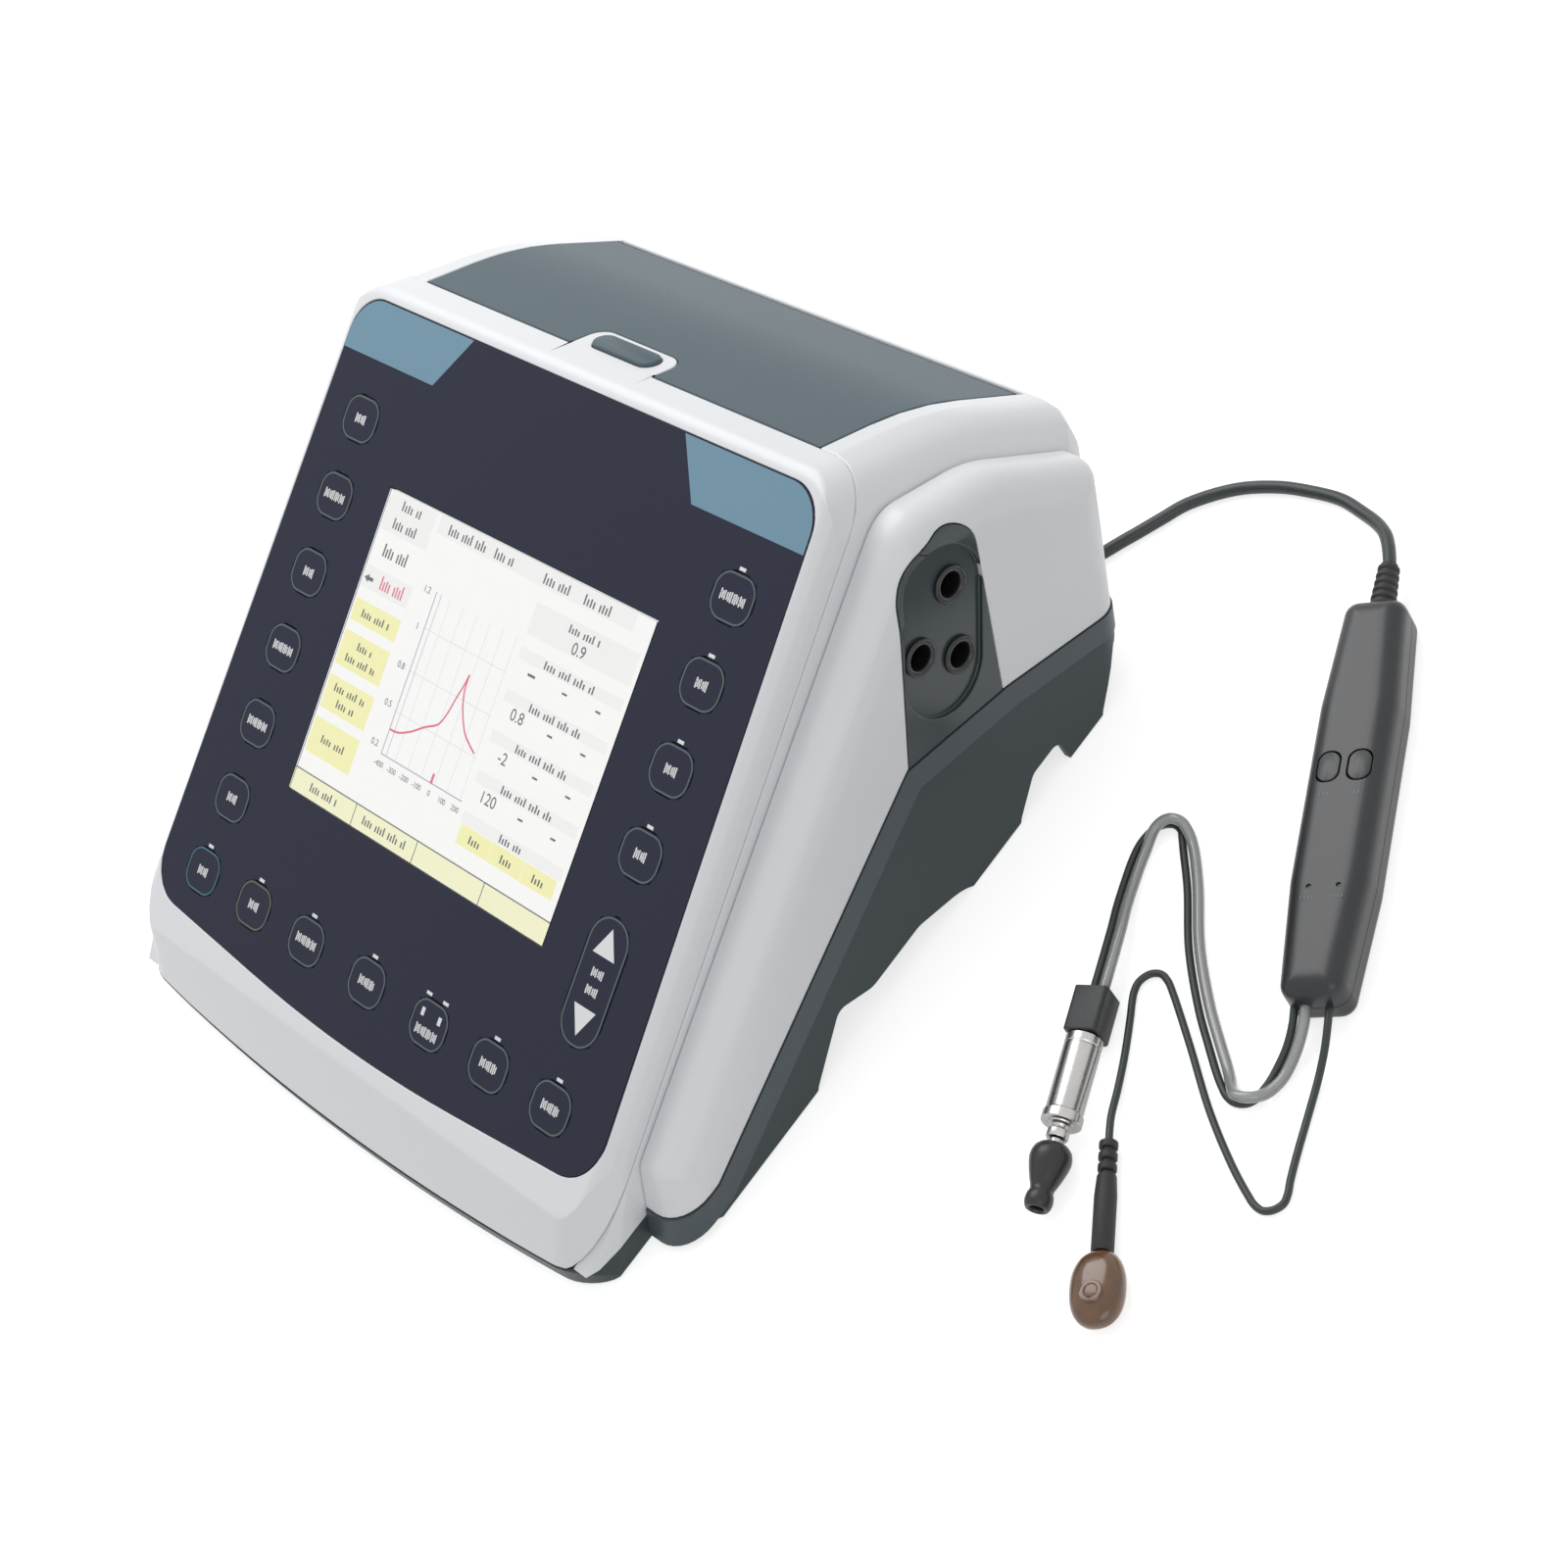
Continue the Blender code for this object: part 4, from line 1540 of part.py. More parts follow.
def leads(black, clear):
    """All cables and tubes, each from inside the piece that holds one end to inside the next."""
    inside = Vector((0.0, 0.0, -LEAD_INSIDE))
    gland = rear_frame() @ Matrix.Translation((-GLAND_AT, 0.0, GLAND_REACH))
    coil = coil_points()
    print(f"least gap in the coil: {least_gap(coil, CABLE_RADIUS) / MM:.2f} mm")
    near, far = coil[0] + Vector((0.0, GAP, 0.0)), coil[-1] + Vector((0.0, GAP, 0.0))
    relief = Vector((0.0, HANDSET_LENGTH / 2 + RELIEF_LENGTH, RELIEF_HEIGHT))
    first = smooth([gland @ inside, gland @ Vector()] + in_metres(GLAND_ROUTE) + [near])
    handset = handset_place()
    ends = [handset @ relief, handset @ (relief - Vector((0.0, LEAD_INSIDE, 0.0)))]
    second = smooth([far] + in_metres(CONSOLE_ROUTE) + ends)
    lead("handset_cable_near", thinned(first, CABLE_RADIUS), CABLE_RADIUS, black)
    lead("handset_cable_coil", coil, CABLE_RADIUS, black, 1)
    lead("handset_cable_far", thinned(second, CABLE_RADIUS), CABLE_RADIUS, black)

    out = -HANDSET_LENGTH / 2
    lift = LEAD_HEIGHT - LYING_GAP - PROBE_CABLE_RADIUS
    start = []
    for y in (out + LEAD_INSIDE, out):
        here = handset @ Vector((LEAD_PAIR_AT, y, 0.0))
        start.append(Vector((here.x, here.y, lift, -PAIR_SIDE)))
    probe = probe_place()
    finish = []
    for depth in (0.0, LEAD_INSIDE):
        here = probe @ Vector((0.0, 0.0, depth))
        finish.append(Vector((here.x, here.y, here.z - LYING_GAP - PROBE_CABLE_RADIUS, -PAIR_SIDE)))
    cable, tube = pair_points(start + in_metres(PROBE_ROUTE) + finish)
    lead("probe_cable", thinned(cable, PROBE_CABLE_RADIUS), PROBE_CABLE_RADIUS, black)
    lead("probe_tube", thinned(tube, PROBE_TUBE_RADIUS), PROBE_TUBE_RADIUS, clear)

    start = [handset @ Vector((EARPHONE_LEAD_AT, y, LEAD_HEIGHT)) for y in (out + LEAD_INSIDE, out)]
    sleeve = earphone_place()
    finish = [sleeve @ Vector(), sleeve @ Vector((0.0, 0.0, LEAD_INSIDE))]
    points = smooth(start + in_metres(EARPHONE_ROUTE) + finish)
    lead("earphone_cable", thinned(points, EARPHONE_CABLE_RADIUS), EARPHONE_CABLE_RADIUS, black)


def tympanometer():
    layout = bpy.data.objects.new("layout", None)
    layout.location = CENTRE
    bpy.context.collection.objects.link(layout)

    white = metal_or_plastic("white plastic", (0.82, 0.82, 0.8), 0.35)
    slate = metal_or_plastic("slate plastic", (0.13, 0.17, 0.19), 0.45)
    dark = metal_or_plastic("dark plastic", (0.055, 0.075, 0.08), 0.5)
    black = metal_or_plastic("black plastic", (0.015, 0.015, 0.016), 0.4)
    navy = metal_or_plastic("navy film", (0.05, 0.055, 0.09), 0.5)
    glass = metal_or_plastic("glass", (0.8, 0.8, 0.8), 0.1)
    green = metal_or_plastic("circuit board", (0.03, 0.16, 0.08), 0.5)
    metal = metal_or_plastic("metal", (0.6, 0.6, 0.6), 0.25, 1.0)
    rubber = metal_or_plastic("rubber", (0.02, 0.02, 0.02), 0.7)
    paper = metal_or_plastic("paper", (0.85, 0.85, 0.83), 0.8)
    clear = metal_or_plastic("clear tube", (0.75, 0.75, 0.74), 0.2)
    amber = metal_or_plastic("amber", (0.27, 0.13, 0.04), 0.2)

    piece("base_shell", base_moulding(), dark)
    piece("front_bezel", bezel(), white)
    piece("upper_shell", upper_shell(), white)
    piece("side_pod_left", white_pod(-1.0), white)
    piece("side_pod_right", white_pod(1.0), white)
    piece("jack_plate", jack_plate(), dark)
    piece("jack_sockets", jack_sockets(), black)
    piece("rear_panel", rear_panel(), dark)
    piece("power_inlet", power_inlet(), black)
    piece("power_switch", power_switch(), black, pivot=switch_frame())
    piece("cable_gland", cable_gland(), rubber)
    piece("printer_cover", cover(), slate, pivot=hinge_frame())
    piece("cover_release_button", release_button(), slate, pivot=button_frame())
    piece("cover_hinge_rod", hinge_rod(), metal)
    piece("printer_frame", printer_frame(), black)
    piece("paper_roll", paper_roll(), paper, pivot=Matrix.Translation((0.0, *ROLL_AT)))
    piece("platen_roller", platen_roller(), rubber, pivot=Matrix.Translation((0.0, *platen_place())))
    piece("keypad_panel", key_panel(), navy)
    under, over = KEY_PROUD - KEY_THICKNESS, KEY_PROUD
    for name, place in key_places().items():
        form = key_form(KEY_WIDTH, KEY_HEIGHT, KEY_ROUND, place, under, over)
        piece(name, form, navy, pivot=on_panel(place))
    place = (KEY_COLUMN, ARROW_KEY_UP)
    form = key_form(KEY_WIDTH, ARROW_KEY_HEIGHT, ARROW_KEY_ROUND, place, under, over)
    piece("arrow_key", form, navy, pivot=on_panel(place))
    piece("display_module", display_module(), metal)
    piece("display_window", display_window(), glass)
    piece("main_board", main_board(), green)
    piece("air_pump", air_pump(), metal)
    piece("power_supply", power_supply(), green)
    piece("rubber_foot_front", rubber_foot(FOOT_FRONT), rubber)
    piece("rubber_foot_rear", rubber_foot(FOOT_REAR), rubber)

    handset = handset_place()
    piece("handset_top_shell", handset_shell(True), dark, handset)
    piece("handset_bottom_shell", handset_shell(False), dark, handset)
    piece("handset_button_left", thumb_button(-1.0), dark, handset, thumb_place(-1.0))
    piece("handset_button_right", thumb_button(1.0), dark, handset, thumb_place(1.0))
    piece("handset_board", handset_board(), green, handset)
    piece("handset_strain_relief", handset_relief(), rubber, handset)

    probe = probe_place()
    piece("probe_housing", probe_housing(), dark, probe)
    piece("probe_barrel", probe_barrel(), metal, probe)
    piece("ear_tip", ear_tip(), rubber, probe)

    earphone = earphone_place()
    piece("earphone_sleeve", earphone_sleeve(), rubber, earphone)
    piece("earphone_receiver", earphone_receiver(), amber, earphone)
    leads(black, clear)


tympanometer()
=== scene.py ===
import json
import math

import bmesh
import bpy
from mathutils import Matrix, Vector

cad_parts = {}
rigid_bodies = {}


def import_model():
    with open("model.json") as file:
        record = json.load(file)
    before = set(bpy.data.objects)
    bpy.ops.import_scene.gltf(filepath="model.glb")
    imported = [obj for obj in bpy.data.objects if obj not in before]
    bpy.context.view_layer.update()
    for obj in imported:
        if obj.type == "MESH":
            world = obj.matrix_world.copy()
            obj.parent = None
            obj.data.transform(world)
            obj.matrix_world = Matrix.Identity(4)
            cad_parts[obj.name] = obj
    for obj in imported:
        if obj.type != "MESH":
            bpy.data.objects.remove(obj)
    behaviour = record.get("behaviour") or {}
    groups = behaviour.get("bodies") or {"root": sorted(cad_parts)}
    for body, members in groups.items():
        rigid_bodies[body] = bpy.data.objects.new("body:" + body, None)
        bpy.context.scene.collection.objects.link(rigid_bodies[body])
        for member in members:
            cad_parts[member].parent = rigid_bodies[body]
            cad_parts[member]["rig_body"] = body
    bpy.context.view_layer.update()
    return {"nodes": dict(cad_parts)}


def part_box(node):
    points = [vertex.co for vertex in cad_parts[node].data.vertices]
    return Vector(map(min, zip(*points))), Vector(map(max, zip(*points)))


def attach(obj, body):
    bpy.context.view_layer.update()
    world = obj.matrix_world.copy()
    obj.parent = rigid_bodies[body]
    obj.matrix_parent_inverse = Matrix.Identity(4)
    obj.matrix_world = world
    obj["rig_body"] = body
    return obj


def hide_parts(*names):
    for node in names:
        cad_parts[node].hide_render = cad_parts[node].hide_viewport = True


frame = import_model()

MM = 0.001
GAP = 0.3 * MM
MERGE = 0.002 * MM
SHORTEST = 0.03 * MM
CENTRE = Vector((-55.5 * MM, -31.9 * MM, 0.0))  # the console's own zero, in the frame
CONSOLE = Matrix.Translation(CENTRE)

# Key panel and screen, drawn from the middle of the screen in the panel's own X, up and out
PANEL_TILT = math.radians(28.0)
SCREEN_HEIGHT = 67.2 * MM
PANEL_HALF_TOP = 96.8 * MM
PANEL_HALF_BOTTOM = 102.2 * MM
PANEL_TOP = 88.7 * MM
PANEL_SIDE_BOTTOM = 89.5 * MM
PANEL_TOP_ROUND = 11.0 * MM
SCREEN_WIDTH = 115.2 * MM
SCREEN_LENGTH = 86.4 * MM
PICTURE_UNDER = -2.28 * MM
PICTURE_OVER = -0.62 * MM
PICTURE_STEP = 0.03 * MM
PANE_UNDER = -0.45 * MM
PRINT_PROUD = 0.06 * MM
KEY_WIDTH = 15.0 * MM
KEY_HEIGHT = 12.6 * MM
KEY_ROUND = 5.0 * MM
ARROW_KEY_HEIGHT = 34.0 * MM
ARROW_KEY_ROUND = 7.0 * MM
KEY_UNDER = -1.4 * MM
KEY_OVER = 0.1 * MM
KEY_RIM = 0.25 * MM
KEY_RING = 0.42 * MM
DASH_UP = 7.4 * MM

# Rear wall, right pod and jacks
FRONT_REACH = 101.5 * MM
STRIP_HEIGHT = 7.0 * MM
FRONT_WALL_RUN = 13.0 * MM
FRONT_BOW = 5.5 * MM
FRONT_NARROWING_SHARE = 0.035
RIDGE_UP = 92.0 * MM
COVER_FRONT_SLOPE = math.radians(28.4)
COVER_REAR_SLOPE = math.radians(45.0)
COVER_FRONT_RUN = 35.3 * MM
REAR_REACH = 145.5 * MM
REAR_BAND = 12.0 * MM
REAR_LEAN = math.radians(31.0)
WALL = 2.5 * MM
BODY_HALF_WIDTH = 106.5 * MM
TAPER_SHARE = 0.065
PANEL_EDGE_ROUND = 5.0 * MM
TOP_EDGE_ROUND = 14.0 * MM
WALL_EDGE_ROUND = 12.0 * MM
SEAM_DEPTH = 8.0 * MM
TABLE_CLEARANCE = 0.6 * MM
STRIP_ROUND = 2.0 * MM
PANEL_FOOT_ROUND = 5.0 * MM
RIDGE_ROUND = 5.0 * MM
COVER_ROUND = 100.0 * MM
REAR_TOP_ROUND = 5.0 * MM
REAR_WALL_ROUND = 15.0 * MM
FLOOR_TOP = 4.5 * MM
BELOW = 12.0 * MM
OVERRUN = 6.0 * MM
LEAST_ROUND = 0.5 * MM
BAND_PROUD = 0.35 * MM
BAND_WIDTH = 7.0 * MM
PANEL_BOTTOM = 97.5 * MM
PANEL_BOTTOM_ROUND = 13.0 * MM
PANEL_BOW_ROUND = 600.0 * MM
PANEL_THICKNESS = 2.0 * MM

# Side pods and skirts
POD_HALF_WIDTH = BODY_HALF_WIDTH + 14.5 * MM
POD_EDGE_ROUND = 10.0 * MM
POD_WALL = 2.5 * MM
POD_FRONT_REACH = 83.5 * MM
POD_FRONT_LEAN_RUN = 17.0 * MM
POD_FRONT_HEIGHT = 21.0 * MM
POD_PEAK_REACH = 84.0 * MM
POD_PEAK_HEIGHT = 97.0 * MM
POD_SHOULDER_REACH = 110.5 * MM
POD_SHOULDER_HEIGHT = 84.5 * MM
POD_REAR_REACH = 137.5 * MM
POD_REAR_HEIGHT = 57.0 * MM
POD_REAR_RUN = 30.5 * MM
POD_FRONT_ROUND = 6.0 * MM
POD_PEAK_ROUND = 13.0 * MM
POD_SHOULDER_ROUND = 40.0 * MM
POD_REAR_ROUND = 6.0 * MM
SPLIT_FRONT_REACH = 57.8 * MM
SPLIT_FRONT_HEIGHT = 9.2 * MM
SPLIT_PEAK_REACH = 46.3 * MM
SPLIT_PEAK_HEIGHT = 46.5 * MM
SPLIT_REAR_REACH = 80.8 * MM
SPLIT_REAR_HEIGHT = 36.6 * MM
SPLIT_END_REACH = 150.0 * MM
SPLIT_END_HEIGHT = 9.0 * MM
TOE_REACH = 60.0 * MM
TOE_RISE = 8.6 * MM
ARCH_FRONT = -24.0 * MM
ARCH_PEAK = -6.0 * MM
ARCH_PEAK_HEIGHT = 13.0 * MM
ARCH_MIDDLE = 4.5 * MM
ARCH_LOW_HEIGHT = 8.0 * MM
ARCH_LOW_END = 24.0 * MM
ARCH_REAR = 47.0 * MM
NOTCH_FRONT = 62.0 * MM
NOTCH_REAR = 84.0 * MM
NOTCH_HEIGHT = 8.4 * MM
HEEL_REACH = 98.0 * MM
HEEL_RISE_RUN = 14.0 * MM
HEEL_RISE = 13.0 * MM

# Printer cover and its release button
COVER_HALF_WIDTH = BODY_HALF_WIDTH - 24.7 * MM
COVER_THICKNESS = 2.5 * MM
COVER_REAR = 141.8 * MM
HINGE_DEPTH = 2.3 * MM
BARREL_RADIUS = 2.1 * MM
BARREL_WIDTH = 8.0 * MM
TAB_HALF_WIDTH = 17.0 * MM
TAB_DEPTH = 11.0 * MM
TAB_ROUND = 5.0 * MM
TAB_FRONT = 8.0 * MM
BUTTON_WIDTH = 24.6 * MM
BUTTON_DEPTH = 6.8 * MM
BUTTON_PROUD = 1.0 * MM
BUTTON_BACK = 5.4 * MM
PLATEN_DROP = 11.0 * MM
PLATEN_BACK = 14.7 * MM
EAR_INNER = 60.6 * MM
EAR_THICKNESS = 2.4 * MM
EAR_LENGTH = 8.0 * MM

# Jack plate and rear panel
PLATE_THICKNESS = 3.0 * MM
PLATE_FOOT = 30.0 * MM
PLATE_FRONT_FOOT = 37.0 * MM
PLATE_REAR_FOOT = 76.3 * MM
PLATE_FRONT_TOP = 72.5 * MM
PLATE_REAR_TOP = 100.5 * MM
PLATE_TOP = 89.0 * MM
PLATE_FRONT_ROUND = 16.0 * MM
PLATE_REAR_ROUND = 9.0 * MM
RECESS_AT = (75.3 * MM, 66.6 * MM)
RECESS_LENGTH = 45.0 * MM
RECESS_WIDTH = 26.0 * MM
RECESS_ROUND = 12.9 * MM
RECESS_LEAN = math.radians(56.0)
JACK_RADIUS = 4.2 * MM
REAR_AT = Vector((0.0, 131.48 * MM, 27.0 * MM))
GLAND_AT = -52.0 * MM
GLAND_REACH = 18.0 * MM
RECESS_DEPTH = 1.4 * MM
JACK_PLACES = ((84.0 * MM, 74.5 * MM), (66.6 * MM, 66.9 * MM), (75.6 * MM, 56.6 * MM))

# Handset, probe and earphone
HANDSET_LENGTH = 113.0 * MM
HANDSET_THICKNESS = 14.0 * MM
HANDSET_WIDTH = 20.0 * MM
HANDSET_END_WIDTH = 15.6 * MM
HANDSET_WAIST = 50.0 * MM
HANDSET_END_ROUND = 4.0 * MM
HANDSET_SIDE_ROUND = 30.0 * MM
HANDSET_PARTING = 6.0 * MM
HANDSET_SHOULDER = 9.0 * MM
HANDSET_CROWN = 6.4 * MM
HANDSET_FOOT = 3.0 * MM
CROWN_SHARE = 0.82
THUMB_WIDTH = 5.6 * MM
THUMB_LENGTH = 8.4 * MM
THUMB_DEPTH = 2.8 * MM
LIGHT_RADIUS = 0.6 * MM
LIGHT_DEPTH = 1.0 * MM
THUMB_PROUD = 0.05 * MM
THUMB_WORD_DOWN = 8.0 * MM
LIGHT_WORD_DOWN = 3.2 * MM
WORD_PROUD = 0.03 * MM
HANDSET_SHELL_EDGE = 0.08 * MM
HANDSET_AT = Vector((197.0 * MM, 102.5 * MM, 0.0))
HANDSET_TURN = math.radians(29.2)
THUMB_SPREAD = 3.9 * MM
THUMB_UP = 5.7 * MM
LIGHT_DOWN = 28.0 * MM
LIGHT_SPREAD = 3.7 * MM
RELIEF_HEIGHT = 7.0 * MM
RELIEF_LENGTH = 14.0 * MM
LEAD_PAIR_AT = -4.1 * MM
EARPHONE_LEAD_AT = 3.0 * MM
LEAD_HEIGHT = 6.0 * MM
LEAD_INSIDE = 3.0 * MM
PROBE_AT = Vector((171.8 * MM, 31.3 * MM, 5.3 * MM))
PROBE_TURN = math.radians(24.9)
EARPHONE_AT = Vector((199.0 * MM, 2.0 * MM, 3.0 * MM))
EARPHONE_TURN = math.radians(36.9)
HOUSING_LENGTH = 12.0 * MM
HOUSING_WIDTH = 8.8 * MM
SLEEVE_LENGTH = 29.0 * MM
RECEIVER_WIDTH = 13.4 * MM
RECEIVER_LENGTH = 19.2 * MM
RECEIVER_THICKNESS = 8.0 * MM
RECEIVER_HEIGHT = 4.3 * MM

# Leads: their sizes, real lengths and where they lie, in millimetres
CABLE_RADIUS = 1.75 * MM
PROBE_CABLE_RADIUS = 1.0 * MM
PROBE_TUBE_RADIUS = 1.4 * MM
EARPHONE_CABLE_RADIUS = 0.95 * MM
PAIR_SIDE = 1.45 * MM
PAIR_RISE = 2.7 * MM
LYING_GAP = 0.2 * MM
COIL_AT = Vector((-147.5 * MM, 92.0 * MM))
COIL_INNER = 12.75 * MM
COIL_PITCH = 4.0 * MM
COIL_LAYERS = 4
COIL_LAYER_TURNS = 3.125
COIL_TURN_STEPS = 24
COIL_CLIMB_TURNS = 0.25
COIL_END = 3.5 * MM
ROUTE_SAMPLES = 16
GLAND_ROUTE = (
    (-52.0, 151.7, 15.1), (-53.0, 156.0, 12.0), (-56.5, 160.5, 8.8), (-62.5, 163.5, 5.8), (-70.0, 164.5, 3.6),
    (-80.0, 164.2, 2.2), (-92.0, 162.0, 1.95), (-104.0, 157.0, 1.95), (-115.0, 148.5, 1.95),
    (-121.0, 137.0, 1.95), (-122.25, 124.0, 1.95), (-122.25, 108.0, 1.95),
)
CONSOLE_ROUTE = (
    (-172.75, 110.0, 12.6), (-172.3, 123.0, 7.6), (-169.8, 137.0, 3.0), (-163.0, 150.0, 1.95),
    (-150.0, 161.0, 1.95), (-130.0, 169.5, 1.95), (-105.0, 173.0, 1.95), (-75.0, 172.5, 1.95),
    (-52.0, 173.0, 1.95), (-20.0, 165.0, 1.95), (10.0, 150.0, 1.95), (40.0, 137.0, 1.95), (62.0, 131.0, 1.95),
    (76.0, 134.0, 1.95), (84.0, 146.0, 1.95), (89.0, 155.0, 1.95), (93.0, 162.0, 1.95), (103.0, 171.0, 1.95),
    (114.0, 176.0, 1.95), (123.0, 178.0, 1.95), (133.0, 179.0, 2.0), (142.0, 177.3, 2.7), (149.5, 175.0, 4.1),
    (155.6, 171.5, 5.9),
)
PROBE_ROUTE = (
    (222.6, 48.0, 4.0, -1.45), (223.9, 42.6, 1.9, -1.45), (224.5, 36.6, 0.4, -1.45), (224.6, 33.2, 0.1, -1.3),
    (224.3, 30.7, 0.0, -1.1), (223.6, 28.4, 0.0, -0.6), (221.8, 26.6, 0.0, 0.0), (219.3, 25.9, 0.0, 0.5),
    (216.6, 26.7, 0.0, 1.0), (214.0, 28.4, 0.0, 1.3),
    (211.2, 30.4, 0.0, 1.45), (204.5, 35.4, 0.0, 1.45), (196.0, 42.0, 0.0, 1.45), (183.0, 54.0, 0.0, 1.45),
    (171.4, 67.6, 0.0, 1.45), (163.2, 75.9, 0.0, 1.4), (160.4, 78.4, 0.0, 1.1), (158.0, 79.9, 0.0, 0.6),
    (155.4, 79.9, 0.0, 0.0), (153.2, 78.6, 0.0, -0.5), (151.8, 76.2, 0.0, -0.9), (151.6, 73.4, 0.0, -1.2),
    (152.0, 70.6, 0.0, -1.4), (153.2, 66.6, 0.0, -1.45),
    (155.4, 61.5, 0.3, -1.45), (159.2, 54.6, 1.6, -1.45), (163.4, 48.2, 3.2, -1.45),
    (167.6, 40.4, 4.05, -1.45),
)
EARPHONE_ROUTE = (
    (229.1, 51.3, 5.5), (231.5, 46.0, 3.8), (233.6, 40.0, 2.0), (236.8, 31.5, 1.15), (241.0, 21.5, 1.15),
    (243.7, 15.6, 1.15), (245.2, 12.8, 1.15), (245.8, 10.4, 1.15), (244.7, 8.0, 1.15), (242.6, 6.6, 1.15),
    (239.8, 6.8, 1.15), (236.9, 8.0, 1.15), (229.0, 12.0, 1.15), (215.0, 20.6, 1.15), (199.0, 32.4, 1.15),
    (185.6, 41.9, 1.15), (182.8, 43.6, 1.15), (179.9, 44.4, 1.15), (177.3, 43.1, 1.15), (176.1, 40.3, 1.15),
    (176.6, 37.7, 1.15), (178.0, 35.1, 1.15), (180.6, 31.2, 1.15), (186.0, 22.6, 1.2),
    (191.0, 14.3, 1.9), (195.0, 7.4, 2.7),
)

# Camera and light
CAMERA_PLACE = Vector((598.7 * MM, -175.3 * MM, 633.6 * MM))
CAMERA_AIM = Vector((20.6 * MM, 0.0, 35.7 * MM))
CAMERA_ROLL = math.radians(-38.64)
CAMERA_LENS = 77.385
SENSOR = 36.0
AMBIENT = 0.50
KEY_POWER = 5.0
FILL_POWER = 2.2


def screen_colour(red, green, blue):
    """A colour given as 0 to 255 on a screen, as Blender's linear values."""
    shares = [value / 255.0 for value in (red, green, blue)]
    linear = [s / 12.92 if s <= 0.04045 else ((s + 0.055) / 1.055) ** 2.4 for s in shares]
    return (*linear, 1.0)


def add_camera():
    data = bpy.data.cameras.new("camera")
    data.lens = CAMERA_LENS
    data.sensor_width = SENSOR
    data.clip_start = 0.01
    made = bpy.data.objects.new("camera", data)
    ahead = (CAMERA_AIM - CAMERA_PLACE).to_track_quat("-Z", "Y").to_matrix().to_4x4()
    made.matrix_world = Matrix.Translation(CAMERA_PLACE) @ ahead @ Matrix.Rotation(CAMERA_ROLL, 4, "Z")
    bpy.context.scene.collection.objects.link(made)
    bpy.context.scene.camera = made


add_camera()


# Materials
def new_material(name):
    made = bpy.data.materials.new(name)
    made.use_nodes = True
    return made, made.node_tree, made.node_tree.nodes["Principled BSDF"]


def noise(tree, place, scale, detail=2.0, roughness=0.5):
    made = tree.nodes.new("ShaderNodeTexNoise")
    made.inputs["Scale"].default_value = scale
    made.inputs["Detail"].default_value = detail
    made.inputs["Roughness"].default_value = roughness
    tree.links.new(place.outputs["Object"], made.inputs["Vector"])
    return made


def between(tree, factor, low, high):
    """A mix of two colours by a texture's value."""
    made = tree.nodes.new("ShaderNodeMix")
    made.data_type = "RGBA"
    made.inputs[6].default_value = low
    made.inputs[7].default_value = high
    tree.links.new(factor, made.inputs[0])
    return made.outputs[2]


def ranged(tree, value, low, high, start=0.3, stop=0.7):
    made = tree.nodes.new("ShaderNodeMapRange")
    made.inputs["From Min"].default_value = start
    made.inputs["From Max"].default_value = stop
    made.inputs["To Min"].default_value = low
    made.inputs["To Max"].default_value = high
    tree.links.new(value, made.inputs["Value"])
    return made.outputs["Result"]


def bumped(tree, value, strength, depth):
    made = tree.nodes.new("ShaderNodeBump")
    made.inputs["Strength"].default_value = strength
    made.inputs["Distance"].default_value = depth
    tree.links.new(value, made.inputs["Height"])
    return made.outputs["Normal"]


def moulded(name, colour, roughness, shift=0.03, grain=0.35 * MM, relief=0.010 * MM, specular=0.5,
             metallic=0.0, patch=45.0 * MM, spread=0.05):
    """A moulded or painted finish: slow colour variation, fine grain in its relief and an uneven gloss."""
    made, tree, shader = new_material(name)
    place = tree.nodes.new("ShaderNodeTexCoord")
    slow = noise(tree, place, 1.0 / patch, 3.0)
    fine = noise(tree, place, 1.0 / grain, 2.0)
    low = (*[c * (1 - shift) for c in colour[:3]], 1.0)
    high = (*[min(1.0, c * (1 + shift)) for c in colour[:3]], 1.0)
    tree.links.new(between(tree, slow.outputs["Fac"], low, high), shader.inputs["Base Color"])
    rough = ranged(tree, fine.outputs["Fac"], roughness - spread, roughness + spread)
    tree.links.new(rough, shader.inputs["Roughness"])
    tree.links.new(bumped(tree, fine.outputs["Fac"], 0.5, relief), shader.inputs["Normal"])
    shader.inputs["Metallic"].default_value = metallic
    shader.inputs["Specular IOR Level"].default_value = specular
    return made


def glowing(name, colour, strength=1.0, grid=0.24 * MM):
    """A lit screen colour with the faint raster of its dots."""
    made, tree, shader = new_material(name)
    place = tree.nodes.new("ShaderNodeTexCoord")
    raster = tree.nodes.new("ShaderNodeTexWave")
    raster.inputs["Scale"].default_value = 1.0 / (20 * grid)
    tree.links.new(place.outputs["Object"], raster.inputs["Vector"])
    low = (*[c * 0.985 for c in colour[:3]], 1.0)
    tree.links.new(between(tree, raster.outputs["Fac"], low, colour), shader.inputs["Emission Color"])
    shader.inputs["Emission Strength"].default_value = strength
    shader.inputs["Base Color"].default_value = (0.01, 0.01, 0.01, 1.0)
    shader.inputs["Roughness"].default_value = 0.6
    return made


